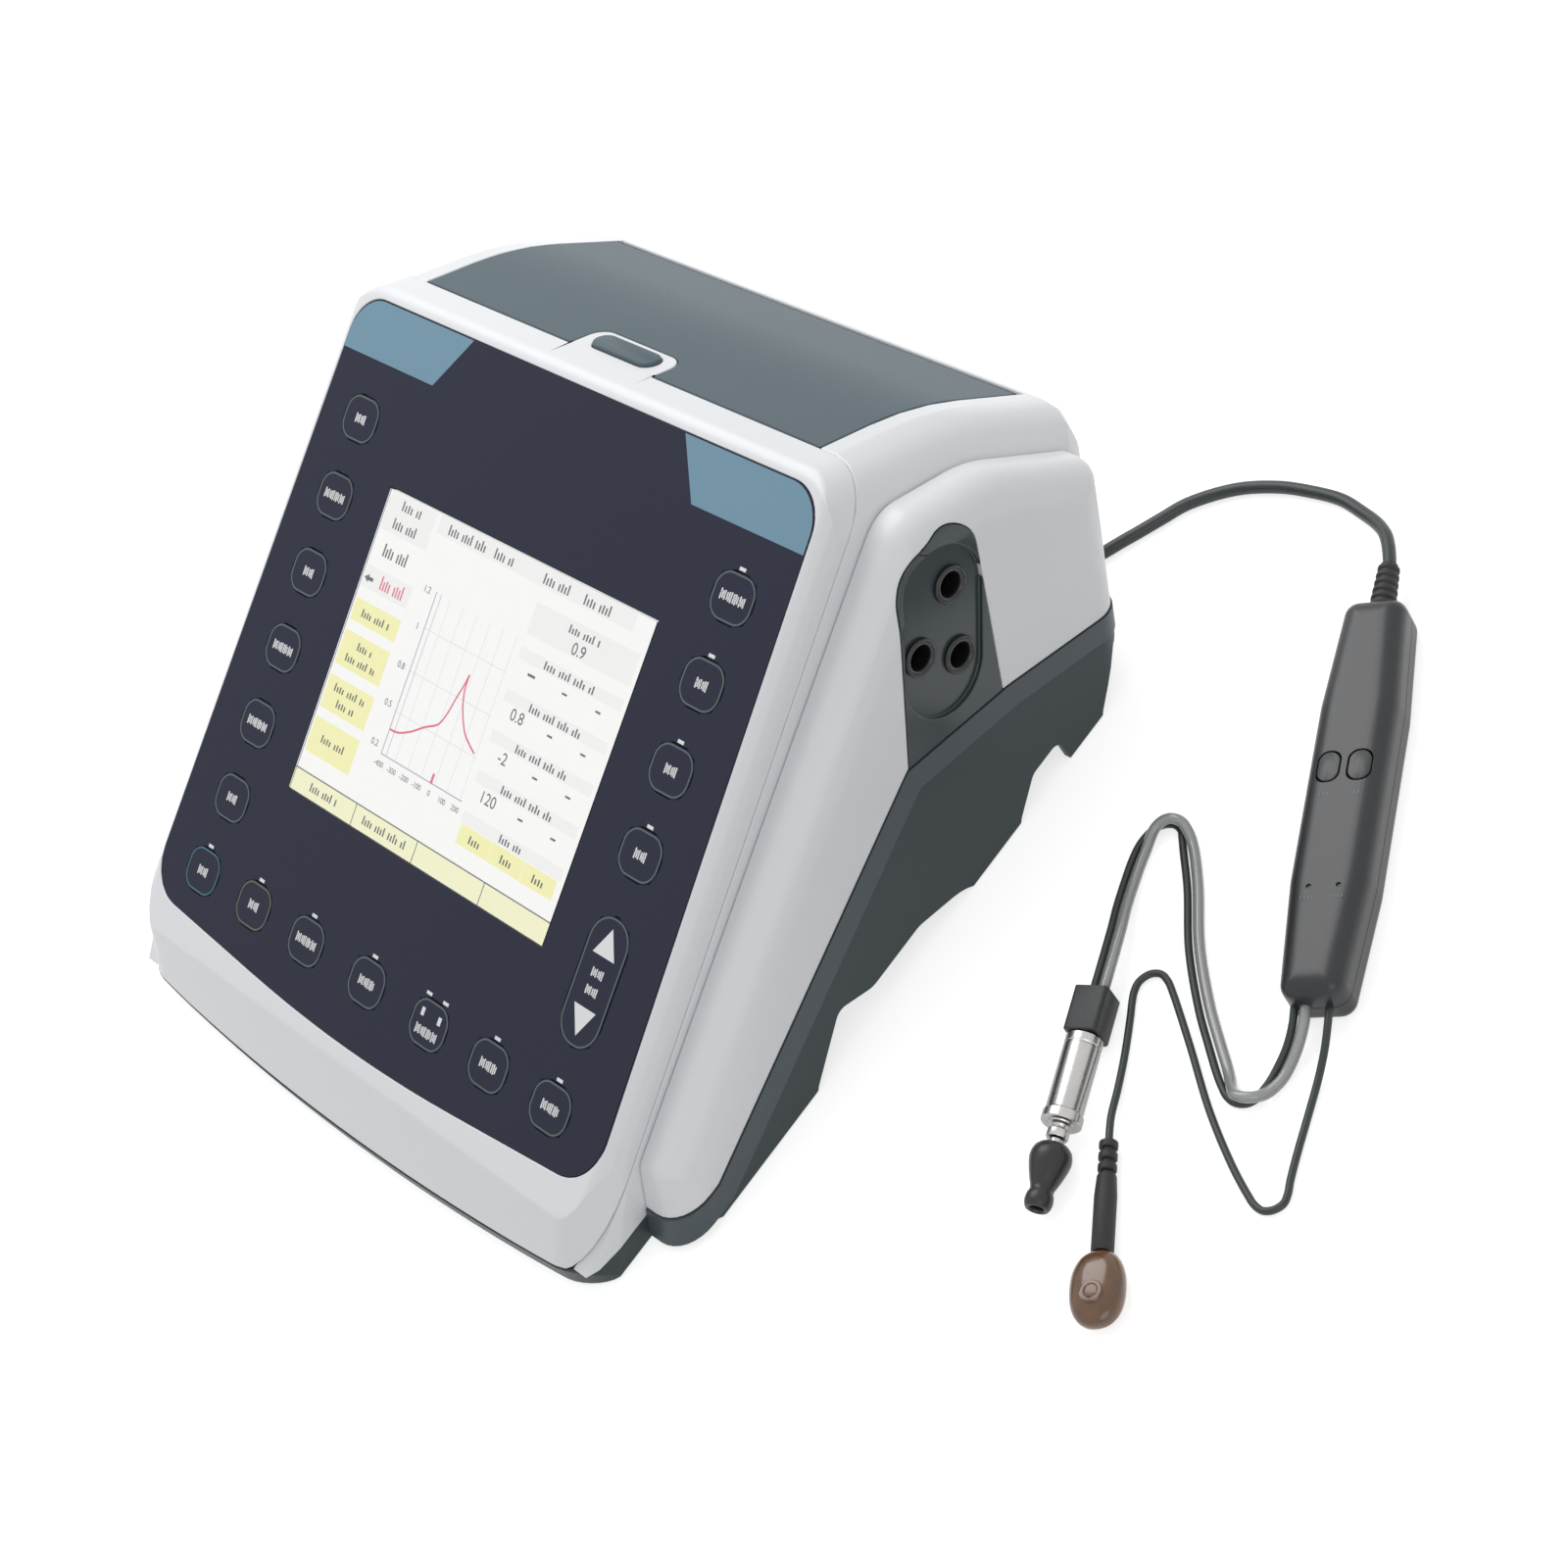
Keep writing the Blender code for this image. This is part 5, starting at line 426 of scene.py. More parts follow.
def brushed(name, colour, roughness, rim_shade_share=0.45):
    """Turned metal: slow unevenness in its gloss, and painted shade that darkens its colour towards its rims.
    """
    made, tree, shader = new_material(name)
    place = tree.nodes.new("ShaderNodeTexCoord")
    slow = noise(tree, place, 1.0 / (2.5 * MM), 3.0)
    fine = noise(tree, place, 1.0 / (0.25 * MM), 2.0)
    # painted shade: the Layer Weight's facing darkens the colour towards the rims, where the surface turns
    # from view
    rim = tree.nodes.new("ShaderNodeLayerWeight")
    rim.inputs["Blend"].default_value = 0.5
    tone = between(tree, slow.outputs["Fac"], (*[c * 0.92 for c in colour[:3]], 1.0), colour)
    rim_shaded = tree.nodes.new("ShaderNodeMix")
    rim_shaded.data_type = "RGBA"
    rim_shaded.inputs[7].default_value = (*[c * rim_shade_share for c in colour[:3]], 1.0)
    tree.links.new(rim.outputs["Facing"], rim_shaded.inputs[0])
    tree.links.new(tone, rim_shaded.inputs[6])
    tree.links.new(rim_shaded.outputs[2], shader.inputs["Base Color"])
    rough = ranged(tree, fine.outputs["Fac"], roughness * 0.85, roughness * 1.15)
    tree.links.new(rough, shader.inputs["Roughness"])
    tree.links.new(bumped(tree, fine.outputs["Fac"], 0.1, 0.001 * MM), shader.inputs["Normal"])
    shader.inputs["Metallic"].default_value = 1.0
    return made


def clear(name, colour, roughness, ior=1.45, streak=4.0 * MM):
    """Glass or clear plastic with a faint unevenness."""
    made, tree, shader = new_material(name)
    place = tree.nodes.new("ShaderNodeTexCoord")
    slow = noise(tree, place, 1.0 / streak, 2.0)
    low = (*[c * 0.985 for c in colour[:3]], 1.0)
    tree.links.new(between(tree, slow.outputs["Fac"], low, colour), shader.inputs["Base Color"])
    rough = ranged(tree, slow.outputs["Fac"], roughness * 0.8, roughness * 1.2)
    tree.links.new(rough, shader.inputs["Roughness"])
    shader.inputs["Transmission Weight"].default_value = 1.0
    shader.inputs["IOR"].default_value = ior
    return made


def milky(name, colour, roughness):
    """Clear tube with its grey bore showing through: part glass, part body colour, with painted shade
    darkening it towards its rims.
    """
    made, tree, shader = new_material(name)
    place = tree.nodes.new("ShaderNodeTexCoord")
    slow = noise(tree, place, 1.0 / (3.0 * MM), 2.0)
    # painted shade: the Layer Weight's facing darkens the colour to 0.35 of itself towards the rims
    rim = tree.nodes.new("ShaderNodeLayerWeight")
    rim.inputs["Blend"].default_value = 0.35
    low = (*[c * 0.9 for c in colour[:3]], 1.0)
    tone = between(tree, slow.outputs["Fac"], low, colour)
    rim_shaded = tree.nodes.new("ShaderNodeMix")
    rim_shaded.data_type = "RGBA"
    rim_shaded.inputs[7].default_value = (*[c * 0.35 for c in colour[:3]], 1.0)
    tree.links.new(rim.outputs["Facing"], rim_shaded.inputs[0])
    tree.links.new(tone, rim_shaded.inputs[6])
    tree.links.new(rim_shaded.outputs[2], shader.inputs["Base Color"])
    tree.links.new(ranged(tree, slow.outputs["Fac"], roughness * 0.8, roughness * 1.2),
                   shader.inputs["Roughness"])
    shader.inputs["Transmission Weight"].default_value = 0.15
    shader.inputs["Coat Weight"].default_value = 0.6
    return made


WHITE = moulded("white plastic", screen_colour(232, 234, 237), 0.34, shift=0.012, relief=0.006 * MM)
SLATE = moulded("slate plastic", screen_colour(88, 103, 110), 0.5, shift=0.02, relief=0.008 * MM,
                specular=0.2)
DARK = moulded("dark plastic", screen_colour(58, 68, 71), 0.46, shift=0.03, relief=0.010 * MM, specular=0.3)
# painted highlight: the skirt band is a lighter copy of the dark plastic, for the light its flared upper edge
# catches
SKIRT_BAND_HIGHLIGHT = moulded("skirt band plastic with painted highlight", screen_colour(70, 80, 85), 0.42, shift=0.03, relief=0.008 * MM,
               specular=0.4)
PLATE_DARK = moulded("jack plate plastic", screen_colour(56, 66, 69), 0.22, shift=0.03, specular=0.5)
BLACK = moulded("black plastic", screen_colour(28, 29, 31), 0.24, shift=0.05)
SATIN_BLACK = moulded("satin black plastic", screen_colour(40, 42, 44), 0.42, shift=0.05)
HANDSET_GREY = moulded("handset plastic", screen_colour(40, 42, 45), 0.34, shift=0.04, relief=0.004 * MM)
HANDSET_KEY = moulded("handset button", screen_colour(46, 48, 50), 0.34, shift=0.04)
NAVY = moulded("navy film", screen_colour(52, 54, 69), 0.5, shift=0.012, relief=0.003 * MM, specular=0.08)
BLUE = moulded("light blue print", screen_colour(121, 155, 175), 0.5, shift=0.012, relief=0.003 * MM,
               specular=0.15)
INK = moulded("white print", screen_colour(232, 234, 236), 0.5, shift=0.02, relief=0.002 * MM)
RING_INK = moulded("key outline print", screen_colour(84, 98, 98), 0.5, shift=0.04, relief=0.002 * MM)
TEAL_INK = moulded("teal outline print", screen_colour(44, 106, 122), 0.5, shift=0.04, relief=0.002 * MM)
OLIVE_INK = moulded("olive outline print", screen_colour(96, 96, 74), 0.5, shift=0.04, relief=0.002 * MM)
FAINT_INK = moulded("faint handset print", screen_colour(96, 100, 102), 0.5, shift=0.04, relief=0.002 * MM)
RUBBER = moulded("soft rubber", screen_colour(36, 37, 38), 0.58, shift=0.06, relief=0.02 * MM, grain=0.5 * MM)
TIP_RUBBER = moulded("ear tip rubber", screen_colour(38, 39, 40), 0.36, shift=0.05, relief=0.01 * MM)
JACKET = moulded("cable jacket", screen_colour(46, 52, 53), 0.42, shift=0.06, relief=0.01 * MM,
                 grain=0.4 * MM)
PAPER = moulded("thermal paper", screen_colour(238, 238, 232), 0.85, shift=0.02, relief=0.02 * MM,
                grain=0.25 * MM)
BOARD = moulded("circuit board", screen_colour(28, 98, 62), 0.45, shift=0.10, patch=9.0 * MM)
# steel and the silver barrel carry painted shade at their rims from brushed()
STEEL = brushed("steel", (0.62, 0.62, 0.60, 1.0), 0.28)
SILVER = brushed("silver barrel", (0.62, 0.61, 0.60, 1.0), 0.26, 0.22)
GLASS = clear("screen glass", (0.98, 0.98, 0.98, 1.0), 0.02)
# the clear tube carries painted shade at its rims from milky()
TUBE = milky("clear tube", screen_colour(176, 178, 178), 0.22)
PAGE = glowing("screen white", screen_colour(246, 246, 244))
SHADE = glowing("screen pale grey", screen_colour(238, 238, 237))
YELLOW = glowing("screen yellow", screen_colour(241, 238, 172))
DEEP_YELLOW = glowing("screen bar yellow", screen_colour(240, 239, 198))
TEXT = glowing("screen dark marks", screen_colour(70, 80, 78))
GREY_LINE = glowing("screen grey line", screen_colour(176, 178, 188))
PALE_LINE = glowing("screen grid line", screen_colour(222, 223, 226))
CRIMSON = glowing("screen crimson", screen_colour(214, 92, 116))


def amber_plastic():
    """The receiver's translucent brown, lighter and more golden in patches."""
    made, tree, shader = new_material("amber plastic")
    place = tree.nodes.new("ShaderNodeTexCoord")
    slow = noise(tree, place, 1.0 / (5.0 * MM), 3.0)
    low, high = screen_colour(74, 46, 30), screen_colour(128, 88, 48)
    tree.links.new(between(tree, slow.outputs["Fac"], low, high), shader.inputs["Base Color"])
    rough = ranged(tree, slow.outputs["Fac"], 0.16, 0.26)
    tree.links.new(rough, shader.inputs["Roughness"])
    shader.inputs["Subsurface Weight"].default_value = 0.15
    shader.inputs["Subsurface Radius"].default_value = (2.0 * MM, 1.0 * MM, 0.5 * MM)
    shader.inputs["Coat Weight"].default_value = 0.5
    return made


AMBER = amber_plastic()


# Stage and light
def add_stage():
    form = bmesh.new()
    bmesh.ops.create_grid(form, x_segments=8, y_segments=8, size=3.0)
    mesh = bpy.data.meshes.new("floor")
    form.to_mesh(mesh)
    form.free()
    floor = bpy.data.objects.new("floor", mesh)
    bpy.context.scene.collection.objects.link(floor)
    made, tree, shader = new_material("pale floor")
    place = tree.nodes.new("ShaderNodeTexCoord")
    slow = noise(tree, place, 3.0)
    tree.links.new(between(tree, slow.outputs["Fac"], (0.78, 0.78, 0.78, 1), (0.8, 0.8, 0.8, 1)),
                   shader.inputs["Base Color"])
    shader.inputs["Roughness"].default_value = 0.9
    shader.inputs["Specular IOR Level"].default_value = 0.0
    glow = tree.nodes.new("ShaderNodeEmission")
    glow.inputs["Strength"].default_value = 0.66
    both = tree.nodes.new("ShaderNodeAddShader")
    tree.links.new(shader.outputs[0], both.inputs[0])
    tree.links.new(glow.outputs[0], both.inputs[1])
    pick = tree.nodes.new("ShaderNodeMixShader")
    tree.links.new(seen_ray(tree), pick.inputs[0])
    tree.links.new(shader.outputs[0], pick.inputs[1])
    tree.links.new(both.outputs[0], pick.inputs[2])
    tree.links.new(pick.outputs[0], tree.nodes["Material Output"].inputs["Surface"])
    mesh.materials.append(made)


def seen_ray(tree):
    """1 for rays from the camera, from gloss and through glass."""
    path = tree.nodes.new("ShaderNodeLightPath")
    value = path.outputs["Is Camera Ray"]
    for name in ("Is Glossy Ray", "Is Transmission Ray"):
        more = tree.nodes.new("ShaderNodeMath")
        more.operation = "MAXIMUM"
        tree.links.new(value, more.inputs[0])
        tree.links.new(path.outputs[name], more.inputs[1])
        value = more.outputs[0]
    return value


def add_world():
    world = bpy.data.worlds.new("studio")
    world.use_nodes = True
    tree = world.node_tree
    ambient = tree.nodes["Background"]
    ambient.inputs["Color"].default_value = (1.0, 1.0, 1.0, 1.0)
    ambient.inputs["Strength"].default_value = AMBIENT
    white = tree.nodes.new("ShaderNodeBackground")
    white.inputs["Color"].default_value = (1.0, 1.0, 1.0, 1.0)
    white.inputs["Strength"].default_value = 1.0
    pick = tree.nodes.new("ShaderNodeMixShader")
    tree.links.new(seen_ray(tree), pick.inputs[0])
    tree.links.new(ambient.outputs[0], pick.inputs[1])
    tree.links.new(white.outputs[0], pick.inputs[2])
    tree.links.new(pick.outputs[0], tree.nodes["World Output"].inputs["Surface"])
    bpy.context.scene.world = world


def add_lamp(name, place, aim, power, size):
    data = bpy.data.lights.new(name, "AREA")
    data.shape = "DISK"
    data.size = size
    data.energy = power
    made = bpy.data.objects.new(name, data)
    turn = (Vector(aim) - Vector(place)).to_track_quat("-Z", "Y").to_matrix().to_4x4()
    made.matrix_world = Matrix.Translation(place) @ turn
    bpy.context.scene.collection.objects.link(made)


add_stage()
add_world()
add_lamp("key", (-0.48, 0.30, 0.80), (0.0, 0.0, 0.05), KEY_POWER, 0.8)
add_lamp("fill", (1.1, -0.5, 0.8), (0.0, 0.0, 0.05), FILL_POWER, 0.9)
bpy.context.scene.view_settings.view_transform = "Standard"


# Building blocks
def placed(form, matrix):
    bmesh.ops.transform(form, matrix=matrix, verts=form.verts)
    return form


def part(name, form, materials, body, stands_for=(), place=None, edge=0.0, angle=32.0, segments=2):
    """A finished piece on its body, smooth up to an angle, with its sharper edges eased."""
    if place is not None:
        placed(form, place)
    mesh = bpy.data.meshes.new(name)
    form.to_mesh(mesh)
    form.free()
    made = bpy.data.objects.new(name, mesh)
    bpy.context.scene.collection.objects.link(made)
    for material in materials if isinstance(materials, (list, tuple)) else [materials]:
        mesh.materials.append(material)
    mesh.shade_smooth()
    mesh.set_sharp_from_angle(angle=math.radians(angle))
    if edge:
        eased = made.modifiers.new("eased edges", "BEVEL")
        eased.width = edge
        eased.segments = segments
        eased.limit_method = "ANGLE"
        eased.angle_limit = math.radians(angle)
        eased.use_clamp_overlap = False
        even = made.modifiers.new("even shading", "WEIGHTED_NORMAL")
        even.keep_sharp = True
    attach(made, body)
    if stands_for:
        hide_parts(*stands_for)
    return made


def node_body(node):
    return frame["nodes"][node]["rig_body"]


def dressed(node, materials, edge=0.22 * MM, angle=32.0):
    """A part's own shape, its points merged, its rounds smooth and its edges eased."""
    form = bmesh.new()
    form.from_mesh(frame["nodes"][node].data)
    bmesh.ops.remove_doubles(form, verts=form.verts, dist=MERGE)
    flat = math.radians(0.3)
    bmesh.ops.dissolve_limit(form, angle_limit=flat, verts=form.verts, edges=form.edges)
    return part(f"{node}_skin", form, materials, node_body(node), [node], None, edge, angle)


def rounded_plate(width, length, radius, low, high, steps=8, edge=0.0):
    """A plate about the origin with round corners, and with its upper rim eased where an edge is given."""
    form = bmesh.new()
    bmesh.ops.create_cube(form, size=1.0)
    bmesh.ops.scale(form, vec=(width, length, high - low), verts=form.verts)
    bmesh.ops.translate(form, vec=(0.0, 0.0, (low + high) / 2), verts=form.verts)
    upright = [e for e in form.edges if abs(e.verts[0].co.z - e.verts[1].co.z) > (high - low) / 2]
    bmesh.ops.bevel(form, geom=upright, offset=radius, offset_type="OFFSET", segments=steps, profile=0.5,
                    affect="EDGES", material=-1)
    if edge:
        rim = [e for e in form.edges if min(v.co.z for v in e.verts) > high - MERGE]
        bmesh.ops.bevel(form, geom=rim, offset=edge, offset_type="OFFSET", segments=3, profile=0.5,
                        affect="EDGES", material=-1)
    return form


def top_face(form):
    return max(form.faces, key=lambda face: (round(face.calc_center_median().z, 7), face.calc_area()))


def turned(profile, steps=48, ring=False):
    """A profile of radius and height spun once round Z."""
    form = bmesh.new()
    points = [form.verts.new((radius, 0.0, height)) for radius, height in profile]
    onward = points[1:] + points[:1] if ring else points[1:]
    edges = [form.edges.new(pair) for pair in zip(points, onward)]
    bmesh.ops.spin(form, geom=points + edges, cent=(0.0, 0.0, 0.0), axis=(0.0, 0.0, 1.0),
                   angle=math.tau, steps=steps, use_merge=True)
    bmesh.ops.remove_doubles(form, verts=form.verts, dist=MERGE)
    bmesh.ops.recalc_face_normals(form, faces=form.faces)
    return form


def tile(form, x, y, width, length, low, high, index=0, spin=0.0):
    """A small flat block in a form that others share."""
    place = Matrix.Translation((x, y, (low + high) / 2)) @ Matrix.Rotation(spin, 4, "Z")
    size = Matrix.Diagonal((width, length, high - low, 1.0))
    made = bmesh.ops.create_cube(form, size=1.0, matrix=place @ size)["verts"]
    for face in {face for vert in made for face in vert.link_faces}:
        face.material_index = index


def wedge(form, x, y, radius, low, high, index, turn=0.0):
    """A three-sided arrow head, which points up until it is turned."""
    place = Matrix.Translation((x, y, (low + high) / 2)) @ Matrix.Rotation(turn, 4, "Z")
    made = bmesh.ops.create_cone(form, cap_ends=True, segments=3, radius1=radius, radius2=radius,
                                 depth=high - low, matrix=place)["verts"]
    for face in {face for vert in made for face in vert.link_faces}:
        face.material_index = index


def add_mesh(form, mesh, matrix, index):
    """Adds a mesh to a form and gives its faces a material."""
    first = len(form.faces)
    mesh.transform(matrix)
    form.from_mesh(mesh)
    form.faces.ensure_lookup_table()
    for face in form.faces[first:]:
        face.material_index = index
    bpy.data.meshes.remove(mesh)


def curve_mesh(data):
    """A text or curve made a mesh."""
    made = bpy.data.objects.new("work", data)
    bpy.context.scene.collection.objects.link(made)
    evaluated = made.evaluated_get(bpy.context.evaluated_depsgraph_get())
    mesh = bpy.data.meshes.new_from_object(evaluated)
    bpy.data.objects.remove(made)
    bpy.data.curves.remove(data)
    return mesh


def figures(form, text, x, y, size, height, index):
    """Plain numerals that stand a little proud, about their middle."""
    data = bpy.data.curves.new("figures", "FONT")
    data.body = text
    data.size = size
    data.extrude = PICTURE_STEP / 2
    data.align_x = "CENTER"
    data.align_y = "CENTER"
    add_mesh(form, curve_mesh(data), Matrix.Translation((x, y, height)), index)


# Leads
def smooth(route, samples=ROUTE_SAMPLES):
    """Points of a smooth curve through a route's points."""
    ends = [route[0] * 2 - route[1]] + route + [route[-1] * 2 - route[-2]]
    made = []
    for a, b, c, d in zip(ends, ends[1:], ends[2:], ends[3:]):
        t1 = math.sqrt((b - a).length)
        t2 = t1 + math.sqrt((c - b).length)
        t3 = t2 + math.sqrt((d - c).length)
        for k in range(samples):
            t = t1 + (t2 - t1) * k / samples
            ab, bc = a.lerp(b, t / t1), b.lerp(c, (t - t1) / (t2 - t1))
            cd = c.lerp(d, (t - t2) / (t3 - t2))
            made.append(ab.lerp(bc, t / t2).lerp(bc.lerp(cd, (t - t1) / (t3 - t1)), (t - t1) / (t2 - t1)))
    return made + [route[-1]]


def handle(before, here, after):
    """The handle from here towards after that makes the curve through these points smooth."""
    back, onward = math.sqrt((here - before).length), math.sqrt((after - here).length)
    weight = 2 * back * back + 3 * back * onward + onward * onward
    return (after * back * back - before * onward * onward + here * weight) / (3 * back * (back + onward))


def lead(name, knots, radius, material, nodes, resolution=8):
    """A cable or tube as one smooth curve through its knots."""
    data = bpy.data.curves.new(name, "CURVE")
    data.dimensions = "3D"
    data.bevel_depth = radius
    data.bevel_resolution = 4
    data.resolution_u = resolution
    data.use_fill_caps = True
    data.materials.append(material)
    spline = data.splines.new("BEZIER")
    spline.bezier_points.add(len(knots) - 1)
    ends = [knots[0] * 2 - knots[1]] + knots + [knots[-1] * 2 - knots[-2]]
    for point, before, here, after in zip(spline.bezier_points, ends, ends[1:], ends[2:]):
        point.handle_left_type = "FREE"
        point.handle_right_type = "FREE"
        point.co = here
        point.handle_left = handle(after, here, before)
        point.handle_right = handle(before, here, after)
    made = bpy.data.objects.new(name, data)
    bpy.context.scene.collection.objects.link(made)
    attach(made, "console")
    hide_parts(*nodes)
    return made


def in_metres(route):
    """A route on the table beside the console, in the frame."""
    shift = Vector((*CENTRE, 0.0))
    return [Vector(point) * MM + (CENTRE if len(point) == 3 else shift) for point in route]


def coil_points():
    """The spare cable wound clockwise: layer on layer, in and out by turns, climbing at each layer's end."""
    outer = COIL_INNER + COIL_PITCH * COIL_LAYER_TURNS
    floor = CABLE_RADIUS + LYING_GAP
    middle = COIL_AT + CENTRE.xy
    per_layer = round(COIL_LAYER_TURNS * COIL_TURN_STEPS)
    made = [Vector((middle.x + outer, middle.y + COIL_END, floor))]
    for i in range(per_layer * COIL_LAYERS + 1):
        layer, step = divmod(i, per_layer)
        inward = COIL_PITCH * step / COIL_TURN_STEPS
        radius = outer - inward if layer % 2 == 0 else COIL_INNER + inward
        if layer == COIL_LAYERS:
            radius = outer
        height = floor
        for end in range(1, COIL_LAYERS):
            turns = (i - end * per_layer) / COIL_TURN_STEPS / COIL_CLIMB_TURNS
            share = max(0.0, min(1.0, (turns + 1) / 2))
            height += COIL_PITCH * share * share * (3 - 2 * share)
        angle = -math.tau * i / COIL_TURN_STEPS
        made.append(Vector((middle.x + radius * math.cos(angle), middle.y + radius * math.sin(angle),
                            height)))
    made.append(made[-1] + Vector((0.0, COIL_END, 0.0)))
    return made


def pair_knots(route):
    """The cable's and the tube's own knots from their shared route."""
    middle = smooth(route)
    cable, tube = [], []
    for i in range(0, len(middle), ROUTE_SAMPLES):
        here, before, after = middle[i], middle[max(i - 1, 0)], middle[min(i + 1, len(middle) - 1)]
        way = Vector((after.x - before.x, after.y - before.y)).normalized()
        side = Vector((-way.y, way.x)) * here.w
        rise = PAIR_RISE * (1 - min(1.0, (here.w / PAIR_SIDE) ** 2))
        cable.append(Vector((here.x + side.x, here.y + side.y, LYING_GAP + PROBE_CABLE_RADIUS + here.z)))
        tube.append(Vector((here.x - side.x, here.y - side.y, LYING_GAP + PROBE_TUBE_RADIUS + here.z + rise)))
    return cable, tube


def rear_frame():
    """On the rear wall at the middle of the rear panel, with Y up the wall and Z out of it."""
    lean_sin, lean_cos = math.sin(REAR_LEAN), math.cos(REAR_LEAN)
    turn = Matrix(((-1, 0, 0, 0), (0, lean_sin, lean_cos, 0), (0, lean_cos, -lean_sin, 0), (0, 0, 0, 1)))
    return Matrix.Translation(CENTRE + REAR_AT) @ turn


GLAND = rear_frame() @ Matrix.Translation((-GLAND_AT, 0.0, 0.0))
HANDSET = Matrix.Translation(CENTRE + HANDSET_AT) @ Matrix.Rotation(HANDSET_TURN, 4, "Z")
PROBE = (Matrix.Translation(CENTRE + PROBE_AT) @ Matrix.Rotation(PROBE_TURN, 4, "Z")
         @ Matrix.Rotation(math.pi / 2, 4, "X"))
EARPHONE = (Matrix.Translation(CENTRE + EARPHONE_AT) @ Matrix.Rotation(EARPHONE_TURN, 4, "Z")
            @ Matrix.Rotation(math.pi / 2, 4, "X"))
SLOPE = Matrix.Translation((0.0, 0.0, SCREEN_HEIGHT)) @ Matrix.Rotation(PANEL_TILT, 4, "X")
PANEL = CONSOLE @ SLOPE


def console_cable():
    tip = GLAND @ Vector((0.0, 0.0, GLAND_REACH))
    start = [GLAND @ Vector((0.0, 0.0, GLAND_REACH - LEAD_INSIDE)), tip]
    relief = Vector((0.0, HANDSET_LENGTH / 2 + RELIEF_LENGTH, RELIEF_HEIGHT))
    finish = [HANDSET @ relief, HANDSET @ (relief - Vector((0.0, LEAD_INSIDE, 0.0)))]
    knots = start + in_metres(GLAND_ROUTE) + coil_points() + in_metres(CONSOLE_ROUTE) + finish
    nodes = ("handset_cable_near", "handset_cable_coil", "handset_cable_far")
    made = lead("console_cable", knots, CABLE_RADIUS, JACKET, nodes, 5)


def handset_exit(across, depth=0.0):
    return HANDSET @ Vector((across, depth - HANDSET_LENGTH / 2, LEAD_HEIGHT))


def probe_leads():
    start, finish = [], []
    for depth in (LEAD_INSIDE, 0.0):
        here = handset_exit(LEAD_PAIR_AT, depth)
        start.append(Vector((here.x, here.y, here.z - LYING_GAP - PROBE_CABLE_RADIUS, -PAIR_SIDE)))
    for depth in (0.0, LEAD_INSIDE):
        here = PROBE @ Vector((0.0, 0.0, depth))
        finish.append(Vector((here.x, here.y, here.z - LYING_GAP - PROBE_CABLE_RADIUS, -PAIR_SIDE)))
    cable, tube = pair_knots(start + in_metres(PROBE_ROUTE) + finish)
    made = lead("probe_signal_cable", cable, PROBE_CABLE_RADIUS, JACKET, ["probe_cable"])
    made = lead("probe_air_tube", tube, PROBE_TUBE_RADIUS, TUBE, ["probe_tube"])


def earphone_lead():
    start = [handset_exit(EARPHONE_LEAD_AT, LEAD_INSIDE), handset_exit(EARPHONE_LEAD_AT)]
    finish = [EARPHONE @ Vector(), EARPHONE @ Vector((0.0, 0.0, LEAD_INSIDE))]
    knots = start + in_metres(EARPHONE_ROUTE) + finish
    made = lead("earphone_lead", knots, EARPHONE_CABLE_RADIUS, JACKET, ["earphone_cable"])


console_cable()
probe_leads()
earphone_lead()


# Console mouldings, to the part's own outlines but with finer rounds
EDGE_STEPS = 8
ARC_STEPS = 8
BOW_STEP = 11.0 * MM


def on_slope(up, out):
    """Y and Z of a point up the panel's slope from the screen's middle and out of its face."""
    c, s = math.cos(PANEL_TILT), math.sin(PANEL_TILT)
    return Vector((up * c - out * s, SCREEN_HEIGHT + up * s + out * c))


def seam_normal():
    return Vector((0.0, -math.sin(PANEL_TILT), math.cos(PANEL_TILT)))


def seam_point(depth):
    y, z = on_slope(0.0, -depth)
    return Vector((0.0, y, z))


def side_profile():
    """The console's side outline, anticlockwise, with each corner's radius and each side's edge rounding."""
    foot_y = -FRONT_REACH + FRONT_WALL_RUN
    ridge = on_slope(RIDGE_UP, 0.0)
    middle = ridge + Vector((COVER_FRONT_RUN, -COVER_FRONT_RUN * math.tan(COVER_FRONT_SLOPE)))
    rear_top = Vector((REAR_REACH, middle.y - (REAR_REACH - middle.x) * math.tan(COVER_REAR_SLOPE)))
    rear_wall = rear_top - Vector((0.0, REAR_BAND))
    rear_foot = Vector((REAR_REACH - (rear_wall.y + BELOW) * math.tan(REAR_LEAN), -BELOW))
    return [
        (Vector((-FRONT_REACH, -BELOW)), LEAST_ROUND, WALL_EDGE_ROUND),
        (rear_foot, LEAST_ROUND, WALL_EDGE_ROUND),
        (rear_wall, REAR_WALL_ROUND, WALL_EDGE_ROUND),
        (rear_top, REAR_TOP_ROUND, TOP_EDGE_ROUND),
        (middle, COVER_ROUND, TOP_EDGE_ROUND),
        (ridge, RIDGE_ROUND, PANEL_EDGE_ROUND),
        (Vector((foot_y, SCREEN_HEIGHT + foot_y * math.tan(PANEL_TILT))), PANEL_FOOT_ROUND, WALL_EDGE_ROUND),
        (Vector((-FRONT_REACH, STRIP_HEIGHT)), STRIP_ROUND, WALL_EDGE_ROUND),
    ]


def edge_drop(radius, reach):
    """How far a rounded edge has dropped where it is this far past its start."""
    return radius - math.sqrt(max(0.0, radius**2 - max(0.0, reach) ** 2))


def narrowing(y):
    """The console gets narrower towards its back."""
    return 1.0 - TAPER_SHARE * (y + FRONT_REACH) / (REAR_REACH + FRONT_REACH)


